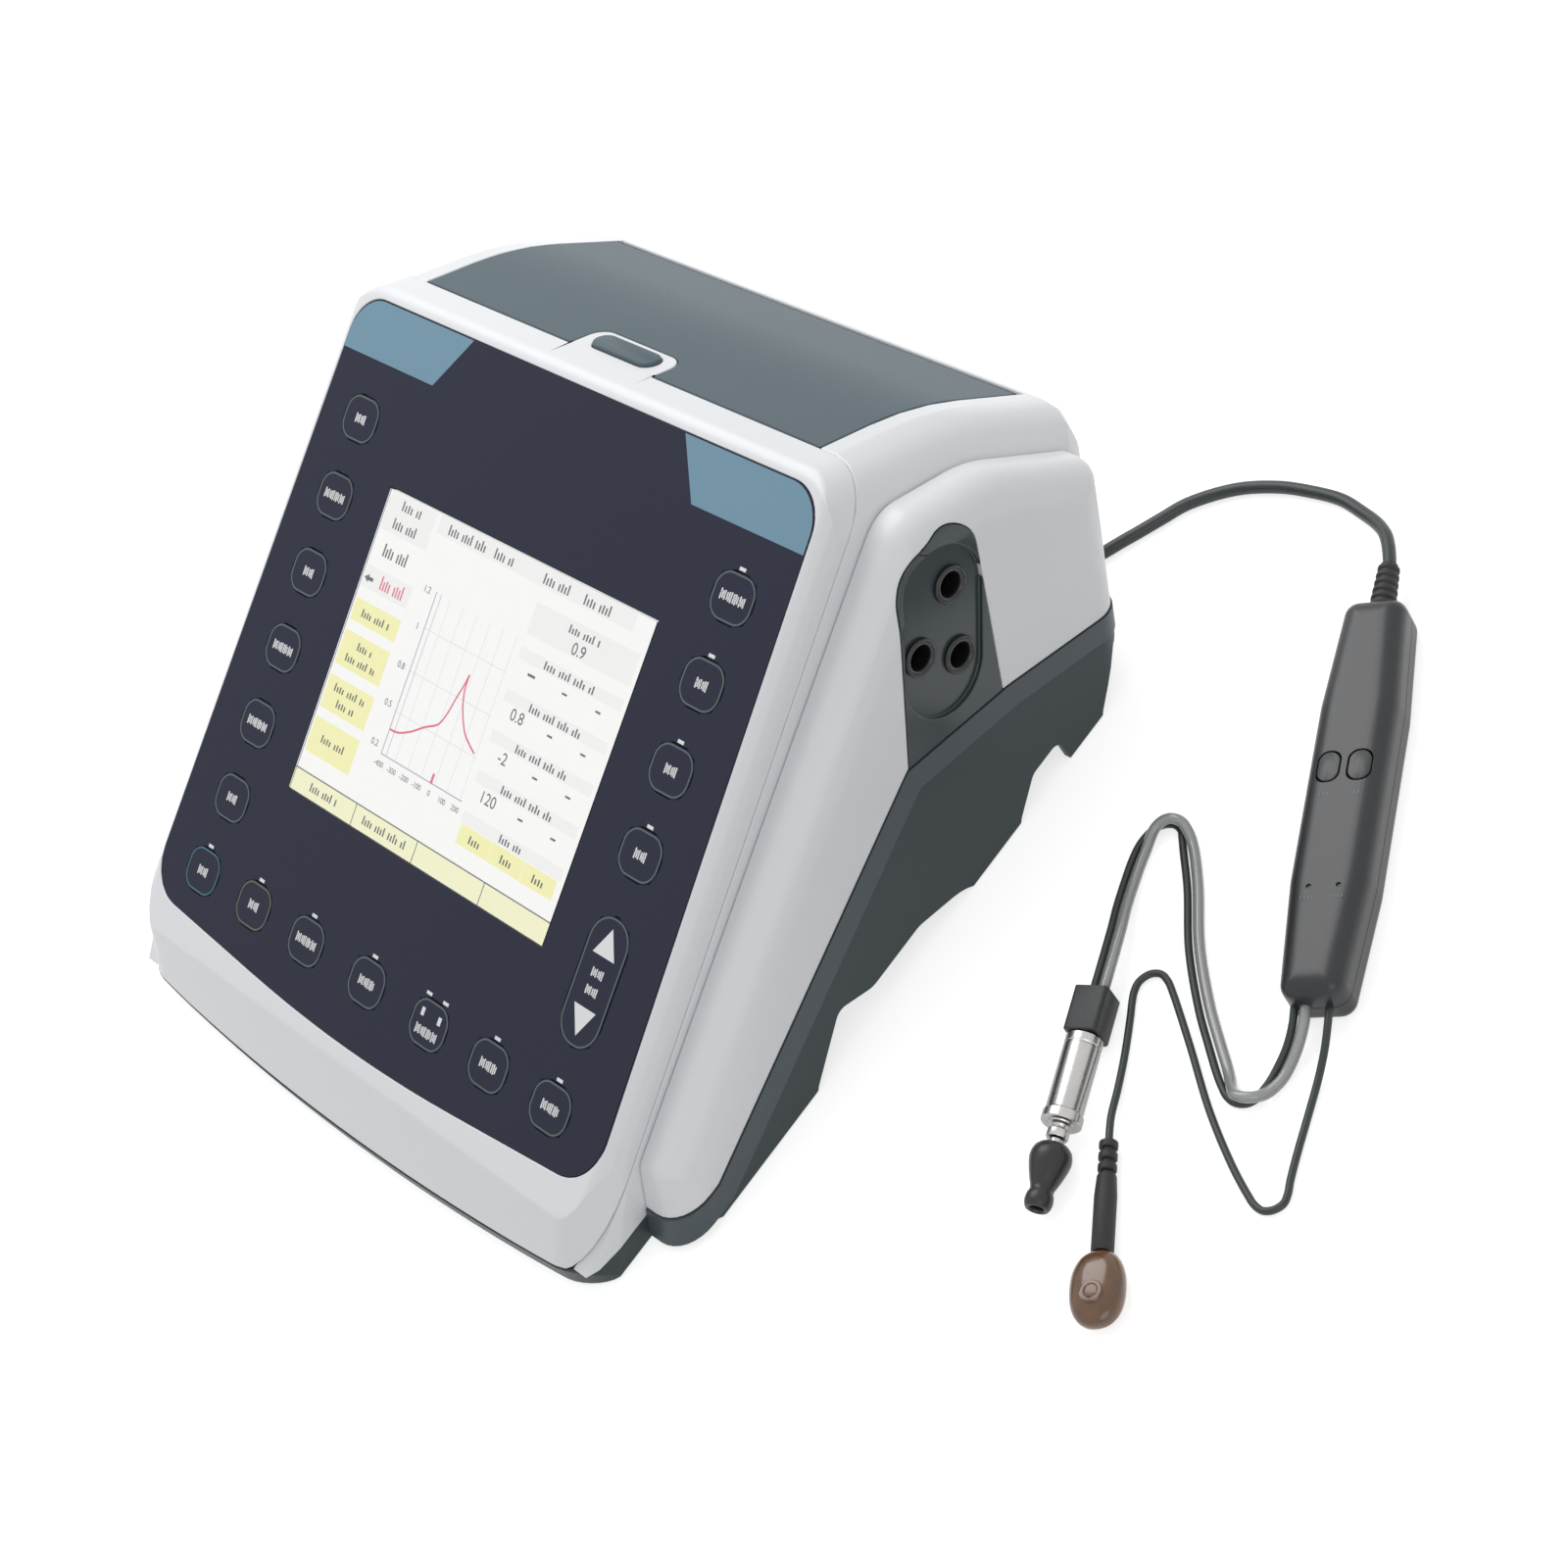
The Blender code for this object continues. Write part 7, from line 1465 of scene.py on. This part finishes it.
# Screen
SCREEN_INKS = [PAGE, SHADE, YELLOW, DEEP_YELLOW, TEXT, GREY_LINE, PALE_LINE, CRIMSON]
PAPER_INK, SHADE_INK, BOX_INK, BAR_INK, DARK_INK, LINE_INK, GRID_INK, RED_INK = range(8)
CURVE = (
    (-25.7, -14.9), (-22.1, -14.6), (-17.5, -12.7), (-12.5, -9.6), (-7.8, -7.1), (-5.9, -3.6), (-4.6, 1.0),
    (-3.4, 4.8), (-2.5, 8.6),
)
CURVE_DOWN = ((-2.5, 8.6), (-2.4, 4.4), (-1.2, 0.8), (0.6, -2.4), (3.3, -5.7), (6.0, -7.5), (9.3, -9.2))
WORDS = (
    (-46.5, 40.3, 9.0, 2.8), (-46.4, 35.0, 12.0, 2.9), (-46.4, 27.3, 12.5, 3.6), (-20.5, 40.2, 18.0, 2.8),
    (-4.8, 40.2, 8.5, 2.8), (18.5, 40.1, 12.5, 2.8), (35.5, 40.0, 12.5, 2.8), (34.1, 31.6, 13.0, 2.2),
    (33.8, 20.2, 21.0, 2.2), (34.1, 8.6, 21.5, 2.2), (34.3, -2.5, 21.5, 2.2), (34.3, -13.7, 21.5, 2.2),
    (33.7, -25.0, 9.5, 2.2), (-46.2, 9.2, 13.0, 2.2), (-46.3, 0.4, 7.0, 2.2), (-46.3, -3.6, 14.0, 2.2),
    (-46.3, -12.4, 14.5, 2.2), (-46.3, -16.3, 8.5, 2.2), (-46.2, -26.8, 11.0, 2.2), (20.6, -29.6, 5.0, 2.2),
    (34.2, -29.6, 5.0, 2.2), (47.8, -29.6, 5.0, 2.2), (-43.0, -40.1, 13.0, 2.4), (-14.3, -40.1, 20.0, 2.4),
)
STROKE = 0.55


def bar_word(form, x, y, width, height, low, high, index):
    """A word's place: a run of uneven upright strokes and nothing to read."""
    strokes = max(3, round(width / (2.2 * STROKE)))
    for i in range(strokes):
        if i % 5 == 4:
            continue
        share = (1.0, 0.66, 0.8, 0.66)[i % 4]
        at = x + (i - (strokes - 1) / 2) * width / strokes
        low_end = y - height * 0.5
        tile(form, at * MM, (low_end + height * share / 2) * MM, STROKE * MM, height * share * MM, low,
             high, index)


def screen_picture():
    form = bmesh.new()
    base, over = PICTURE_UNDER, PICTURE_OVER
    tile(form, 0.0, 0.0, SCREEN_WIDTH - 0.2 * MM, SCREEN_LENGTH - 0.2 * MM, base, over, PAPER_INK)
    first, second = over + PICTURE_STEP, over + 2 * PICTURE_STEP
    third = over + 3 * PICTURE_STEP

    def block(x, y, width, length, index, top):
        tile(form, x * MM, y * MM, width * MM, length * MM, over - PICTURE_STEP, top, index)

    for x, y, width, length in ((-46.4, 37.5, 21.0, 10.6), (-46.4, 18.8, 21.6, 6.2), (8.0, 40.4, 84.0, 5.0),
                                (34.2, 29.6, 42.5, 8.6), (34.2, 20.2, 42.5, 3.2), (34.2, 8.7, 42.5, 3.2),
                                (34.2, -2.5, 42.5, 3.2), (34.2, -13.7, 42.5, 3.2), (34.2, -25.0, 42.5, 3.2)):
        block(x, y, width, length, SHADE_INK, first)
    for y, length in ((9.3, 6.2), (-1.6, 9.8), (-14.4, 9.5), (-26.9, 10.0)):
        block(-46.3, y, 20.9, length, BOX_INK, first)
    for x in (20.5, 34.2, 47.9):
        block(x, -29.5, 13.5, 5.3, BOX_INK, first)
    block(0.0, -40.15, 115.0, 6.1, BAR_INK, first)
    block(0.0, -37.1, 115.0, 0.35, DARK_INK, second)
    for x in (-28.4, -0.2, 29.5):
        block(x, -40.15, 0.3, 6.1, DARK_INK, second)
    for x in (-19.5, -13.5, -7.4, -1.4, 4.2, 10.0):
        block(x, 0.8, 0.22, 45.2, GRID_INK, first)
    for y in (13.7, 1.7, -9.9):
        block(-7.6, y, 36.2, 0.22, GRID_INK, first)
    block(-25.8, 1.0, 0.38, 45.8, LINE_INK, second)
    block(-23.6, 1.0, 0.2, 45.8, LINE_INK, second)
    block(-7.5, -21.85, 36.8, 0.38, LINE_INK, second)
    block(-2.9, -20.6, 0.9, 2.8, RED_INK, third)
    for x, y, width, height in WORDS:
        bar_word(form, x, y, width, height, over, third, DARK_INK)
    bar_word(form, -43.3, 18.9, 12.0, 3.8, over, third, RED_INK)
    block(-53.6, 18.4, 2.2, 1.0, DARK_INK, third)
    wedge(form, -55.2 * MM, 18.4 * MM, 1.3 * MM, over, third, DARK_INK, math.pi / 2)
    for y in (15.9, 4.5, -6.9, -18.2):
        for x in (34.2, 48.0):
            block(x, y, 2.0, 0.55, DARK_INK, third)
    block(20.2, 16.0, 3.0, 0.7, DARK_INK, third)
    text_height = over + 2 * PICTURE_STEP
    for text, x, y, size in (("0.9", 33.9, 27.3, 4.6), ("0.8", 20.3, 4.7, 4.6), ("-2", 20.3, -6.7, 4.6),
                             ("120", 20.2, -18.1, 4.6), ("1.2", -29.8, 23.2, 2.6), ("1", -28.8, 13.2, 2.6),
                             ("0.8", -29.8, 1.8, 2.6), ("0.5", -29.8, -8.9, 2.6), ("0.2", -29.8, -20.0, 2.6),
                             ("-400", -25.5, -24.6, 2.2), ("-300", -19.6, -24.6, 2.2),
                             ("-200", -13.8, -24.6, 2.2), ("-100", -8.1, -24.6, 2.2), ("0", -2.5, -24.6, 2.2),
                             ("100", 3.3, -24.6, 2.2), ("200", 9.2, -24.6, 2.2)):
        figures(form, text, x * MM, y * MM, size * MM, text_height, DARK_INK)
    for points in (CURVE, CURVE_DOWN):
        data = bpy.data.curves.new("curve line", "CURVE")
        data.dimensions = "3D"
        data.bevel_depth = 0.3 * MM
        line = smooth([Vector((x * MM, y * MM, 0.0)) for x, y in points], 6)
        spline = data.splines.new("POLY")
        spline.points.add(len(line) - 1)
        for knot, point in zip(spline.points, line):
            knot.co = (*point, 1.0)
        flat = Matrix.Translation((0.0, 0.0, over + PICTURE_STEP)) @ Matrix.Diagonal((1.0, 1.0, 0.25, 1.0))
        add_mesh(form, curve_mesh(data), flat, RED_INK)
    part("screen_picture", form, SCREEN_INKS, "console", place=PANEL)
    pane = rounded_plate(SCREEN_WIDTH, SCREEN_LENGTH, GAP, PANE_UNDER, 0.0, 3)
    part("display_window_pane", pane, GLASS, "console", ["display_window"], PANEL)


screen_picture()


# Release button and jacks
def release_button():
    form = rounded_plate(BUTTON_WIDTH, BUTTON_DEPTH, BUTTON_DEPTH / 2 - MERGE, -3.0 * MM, BUTTON_PROUD, 12,
                         0.5 * MM)
    part("release_button_cap", form, SLATE, "cover_release_button",
         ["cover_release_button"], CONSOLE @ button_frame())


def jack_form():
    """One jack: a soft rounded collar and a deep bore with a contact at its foot."""
    outline = [
        (0.0, -11.8), (4.1, -11.8), (4.1, -1.0), (4.9, -1.0), (5.0, -0.75), (4.95, -0.4), (4.7, -0.12),
        (4.35, 0.0),
        (3.9, -0.05), (3.5, -0.3), (3.2, -0.8), (3.1, -1.6), (3.1, -9.0), (1.2, -9.0), (1.2, -6.5),
        (0.9, -6.0),
        (0.0, -5.8),
    ]
    return turned([(radius * MM, height * MM) for radius, height in outline], 40)


def jacks():
    front = POD_HALF_WIDTH - RECESS_DEPTH + GAP + 1.0 * MM
    for i, (y, z) in enumerate(JACK_PLACES):
        form = placed(jack_form(), Matrix.Rotation(math.pi / 2, 4, "Y"))
        place = CONSOLE @ Matrix.Translation((front * narrowing(y), y, z))
        stands_for = ["jack_sockets"] if i == 0 else []
        part(f"jack_{i + 1}", form, BLACK, "console", stands_for, place, angle=50.0)


release_button()
jacks()


# Handset
def handset_outline():
    """The handset's plan, anticlockwise, and its corners' radii."""
    x, end_x = HANDSET_WIDTH / 2, HANDSET_END_WIDTH / 2
    y, end_y = HANDSET_WAIST / 2, HANDSET_LENGTH / 2
    right = [(end_x, -end_y), (x, -y), (x, y), (end_x, end_y)]
    corners = [(-end_x, -end_y)] + right + [(-end_x, end_y), (-x, y), (-x, -y)]
    end, bend = HANDSET_END_ROUND, HANDSET_SIDE_ROUND
    return [Vector(p) for p in corners], [end, end, bend, bend, end, end, bend, bend]


def crown(low, high, reach, steps=10):
    """Heights and insets of a softly crowned surface from its upright wall to its flat middle."""
    made = []
    for k in range(steps + 1):
        turn = math.pi / 2 * k / steps
        made.append((low + (high - low) * math.sin(turn) ** CROWN_SHARE,
                     reach * (1 - math.cos(turn) ** CROWN_SHARE)))
    return made


def crown_drop(across):
    """How far the crowned top has dropped this far from its middle."""
    share = max(0.0, 1 - (HANDSET_WIDTH / 2 - abs(across)) / HANDSET_CROWN)
    power = 2 / CROWN_SHARE
    return (HANDSET_THICKNESS - HANDSET_SHOULDER) * (1 - (1 - min(1.0, share) ** power) ** (1 / power))


def cushion(levels):
    """The handset's outline at several heights, each moved in by its own distance, as one solid."""
    corners, radii = handset_outline()
    form = bmesh.new()
    rings = []
    for height, inset in levels:
        here = moved_in(corners, [inset] * len(corners))
        points = rounded(here, [max(radius - inset, LEAST_ROUND) for radius in radii])
        ring = [form.verts.new((x, y, height)) for x, y in points]
        rings.append([form.edges.new((ring[i - 1], ring[i])) for i in range(len(ring))])
    return closed_through(form, rings)


def strokes(form, x, y, count, pitch, width, height):
    """A word on the handset, shown as a few short strokes."""
    for stroke in range(count):
        across = x + (stroke - (count - 1) / 2) * pitch
        tile(form, across, y, width, height, HANDSET_THICKNESS, HANDSET_THICKNESS + WORD_PROUD)


def handset():
    """The two shells, the board, the two thumb buttons and the marks."""
    upper = [(HANDSET_PARTING + GAP / 2, 0.0)] + crown(HANDSET_SHOULDER, HANDSET_THICKNESS, HANDSET_CROWN)
    lower = [(-z, inset) for z, inset in crown(-HANDSET_FOOT, 0.0, HANDSET_FOOT)][::-1] + [(HANDSET_PARTING,
                                                                                            0.0)]
    holes = []
    for side in (-1.0, 1.0):
        outline = rounded_box(THUMB_WIDTH + GAP * 2, THUMB_LENGTH + GAP * 2, THUMB_WIDTH / 2, 12)
        hole = prism(outline, HANDSET_THICKNESS - THUMB_DEPTH, HANDSET_THICKNESS + GAP, "Z")
        holes.append(placed(hole, Matrix.Translation((side * THUMB_SPREAD, THUMB_UP, 0.0))))
        place = Matrix.Translation((side * LIGHT_SPREAD, -LIGHT_DOWN, HANDSET_THICKNESS - LIGHT_DEPTH))
        holes.append(placed(rod(LIGHT_RADIUS, LIGHT_DEPTH * 2), place))
    part("handset_top_skin", cut(cushion(upper), *holes), HANDSET_GREY, "console",
         ["handset_top_shell"], HANDSET, HANDSET_SHELL_EDGE, 40.0)
    part("handset_bottom_skin", cushion(lower), HANDSET_GREY, "console",
         ["handset_bottom_shell"], HANDSET, HANDSET_SHELL_EDGE, 40.0)
    dressed("handset_board", BOARD, edge=0.1 * MM)
    for side, name in ((-1.0, "handset_button_left"), (1.0, "handset_button_right")):
        top = HANDSET_THICKNESS + THUMB_PROUD
        form = rounded_plate(THUMB_WIDTH, THUMB_LENGTH, THUMB_WIDTH / 2 - MERGE, top - THUMB_DEPTH, top, 12,
                             0.3 * MM)
        for vert in form.verts:
            across = vert.co.x + side * THUMB_SPREAD
            vert.co.z -= crown_drop(across)
        place = HANDSET @ Matrix.Translation((side * THUMB_SPREAD, THUMB_UP, 0.0))
        part(f"{name}_cap", form, HANDSET_KEY, name, [name], place)
    form = bmesh.new()
    for side in (-1.0, 1.0):
        strokes(form, side * THUMB_SPREAD, THUMB_UP - THUMB_WORD_DOWN, 3, 1.0 * MM, 0.5 * MM, 1.2 * MM)
        strokes(form, side * LIGHT_SPREAD, -LIGHT_DOWN - LIGHT_WORD_DOWN, 4, 0.9 * MM, 0.45 * MM, 0.9 * MM)
    part("handset_marks", form, FAINT_INK, "console", place=HANDSET)


def ribbed(start, end, radius, tip, ribs, depth):
    """The outer profile of a strain relief that gets thinner rib by rib, each rib with a round crest."""
    made = []
    for i in range(ribs):
        here = radius + (tip - radius) * i / ribs
        low, step = start + (end - start) * i / ribs, (end - start) / ribs
        for along, share in ((0.04, 0.5), (0.14, 0.9), (0.3, 1.0), (0.5, 0.95), (0.62, 0.6), (0.68, 0.0),
                             (0.96, 0.0)):
            made.append((here - depth * (1 - share), low + step * along))
    return made + [(tip - depth, end)]


def reliefs():
    bore = CABLE_RADIUS + 0.15 * MM
    foot = [(0.0, -6.0 * MM), (4.3 * MM, -6.0 * MM), (4.3 * MM, 0.3 * MM), (6.3 * MM, 0.3 * MM),
            (6.5 * MM, 0.6 * MM), (6.5 * MM, 1.8 * MM), (6.1 * MM, 2.3 * MM), (4.2 * MM, 2.3 * MM)]
    end = [(bore, GLAND_REACH), (bore, GLAND_REACH - 3.3 * MM), (0.0, GLAND_REACH - 3.3 * MM)]
    form = turned(foot + ribbed(2.6 * MM, GLAND_REACH, 4.0 * MM, 3.0 * MM, 6, 0.6 * MM) + end)
    part("cable_gland_sleeve", form, RUBBER, "console", ["cable_gland"], GLAND, angle=40.0)
    foot = [(0.0, -3.3 * MM), (3.6 * MM, -3.3 * MM), (3.6 * MM, -2.1 * MM), (2.9 * MM, -2.1 * MM),
            (2.9 * MM, 0.3 * MM)]
    end = [(bore, RELIEF_LENGTH), (bore, RELIEF_LENGTH - 3.3 * MM), (0.0, RELIEF_LENGTH - 3.3 * MM)]
    form = turned(foot + ribbed(0.3 * MM, RELIEF_LENGTH, 3.4 * MM, 2.7 * MM, 6, 0.6 * MM) + end)
    place = HANDSET @ Matrix.Translation((0.0, HANDSET_LENGTH / 2, RELIEF_HEIGHT))
    place = place @ Matrix.Rotation(-math.pi / 2, 4, "X")
    part("handset_cable_sleeve", form, RUBBER, "console", ["handset_strain_relief"], place,
         angle=40.0)


handset()
reliefs()


# Probe
def probe():
    form = rounded_plate(HOUSING_WIDTH, HOUSING_WIDTH, 1.0 * MM, 0.0, HOUSING_LENGTH, 6, 0.5 * MM)
    part("probe_housing_block", form, SATIN_BLACK, "console", ["probe_housing"], PROBE)
    start = HOUSING_LENGTH + GAP
    outline = [
        (0.0, 0.0), (4.2, 0.0), (4.6, 0.3), (4.6, 2.2), (4.45, 2.4), (4.45, 2.8), (4.6, 3.0), (4.6, 20.0),
        (4.75, 20.5), (5.0, 20.7), (5.0, 22.8), (4.7, 23.1), (3.4, 23.1), (3.2, 23.4), (2.2, 23.6),
        (1.7, 24.2),
        (1.5, 24.6), (2.5, 24.8), (2.7, 25.1), (2.7, 26.6), (2.5, 27.0), (1.6, 27.3), (1.5, 28.0),
        (1.5, 35.1),
        (0.0, 35.1),
    ]
    form = turned([(radius * MM, start + height * MM) for radius, height in outline])
    part("probe_barrel_metal", form, SILVER, "console", ["probe_barrel"], PROBE, angle=28.0)
    low = start + 28.5 * MM
    outline = [
        (1.9, 0.0), (2.6, 0.1), (3.7, 0.6), (4.6, 1.6), (5.05, 3.0), (5.1, 4.2), (4.85, 5.6), (4.4, 7.2),
        (3.9, 8.8),
        (3.4, 10.2), (3.0, 11.2), (2.85, 12.0), (2.95, 12.7), (3.25, 13.3), (3.4, 14.2), (3.4, 15.2),
        (3.2, 16.1),
        (2.8, 16.8), (2.3, 17.0), (1.9, 16.8), (1.7, 16.0), (1.7, 15.0), (1.9, 8.0),
    ]
    form = turned([(radius * MM, low + height * MM) for radius, height in outline], ring=True)
    part("ear_tip_rubber", form, TIP_RUBBER, "ear_tip", ["ear_tip"], PROBE, angle=60.0)


def earphone():
    outline = [(0.0, 3.3), (1.1, 3.3), (1.1, 0.0)]
    for i in range(3):
        low = 3.0 * i
        outline += [(1.9, low), (2.25, low + 0.3), (2.3, low + 1.0), (2.25, low + 1.8), (1.9, low + 2.05),
                    (1.5, low + 2.1), (1.5, low + 3.0)]
    outline += [(2.2, 9.0), (2.35, 9.4), (2.7, 14.5), (2.7, 28.6), (2.4, 29.0), (1.5, 29.0), (1.5, 31.8),
                (0.0, 31.8)]
    form = turned([(radius * MM, height * MM) for radius, height in outline])
    part("earphone_sleeve_rubber", form, RUBBER, "console", ["earphone_sleeve"], EARPHONE,
         angle=40.0)
    receiver()


def receiver():
    """The oval receiver: a flattened ball with a raised nozzle ring and its dimple."""
    half = Vector((RECEIVER_WIDTH / 2, RECEIVER_THICKNESS / 2, RECEIVER_LENGTH / 2))
    form = bmesh.new()
    bmesh.ops.create_uvsphere(form, u_segments=48, v_segments=32, radius=1.0)
    for vert in form.verts:
        for i in range(3):
            vert.co[i] = math.copysign(abs(vert.co[i]) ** 0.86, vert.co[i]) * half[i]
    lift = RECEIVER_HEIGHT - EARPHONE_AT.z
    placed(form, Matrix.Translation((0.0, lift, SLEEVE_LENGTH + GAP + half.z)))
    part("receiver_button", form, AMBER, "console", ["earphone_receiver"], EARPHONE,
         angle=60.0)
    outline = [(1.1, -0.9), (1.3, -0.2), (1.9, 0.25), (2.5, 0.2), (2.9, -0.2), (3.0, -0.9)]
    ring = turned([(radius * MM, height * MM) for radius, height in outline], 32, ring=True)
    up = Matrix.Translation((0.0, lift + half.y, SLEEVE_LENGTH + GAP + half.z + 2.2 * MM))
    part("receiver_nozzle", ring, AMBER, "console",
         place=EARPHONE @ up @ Matrix.Rotation(-math.pi / 2, 4, "X"))


probe()
earphone()
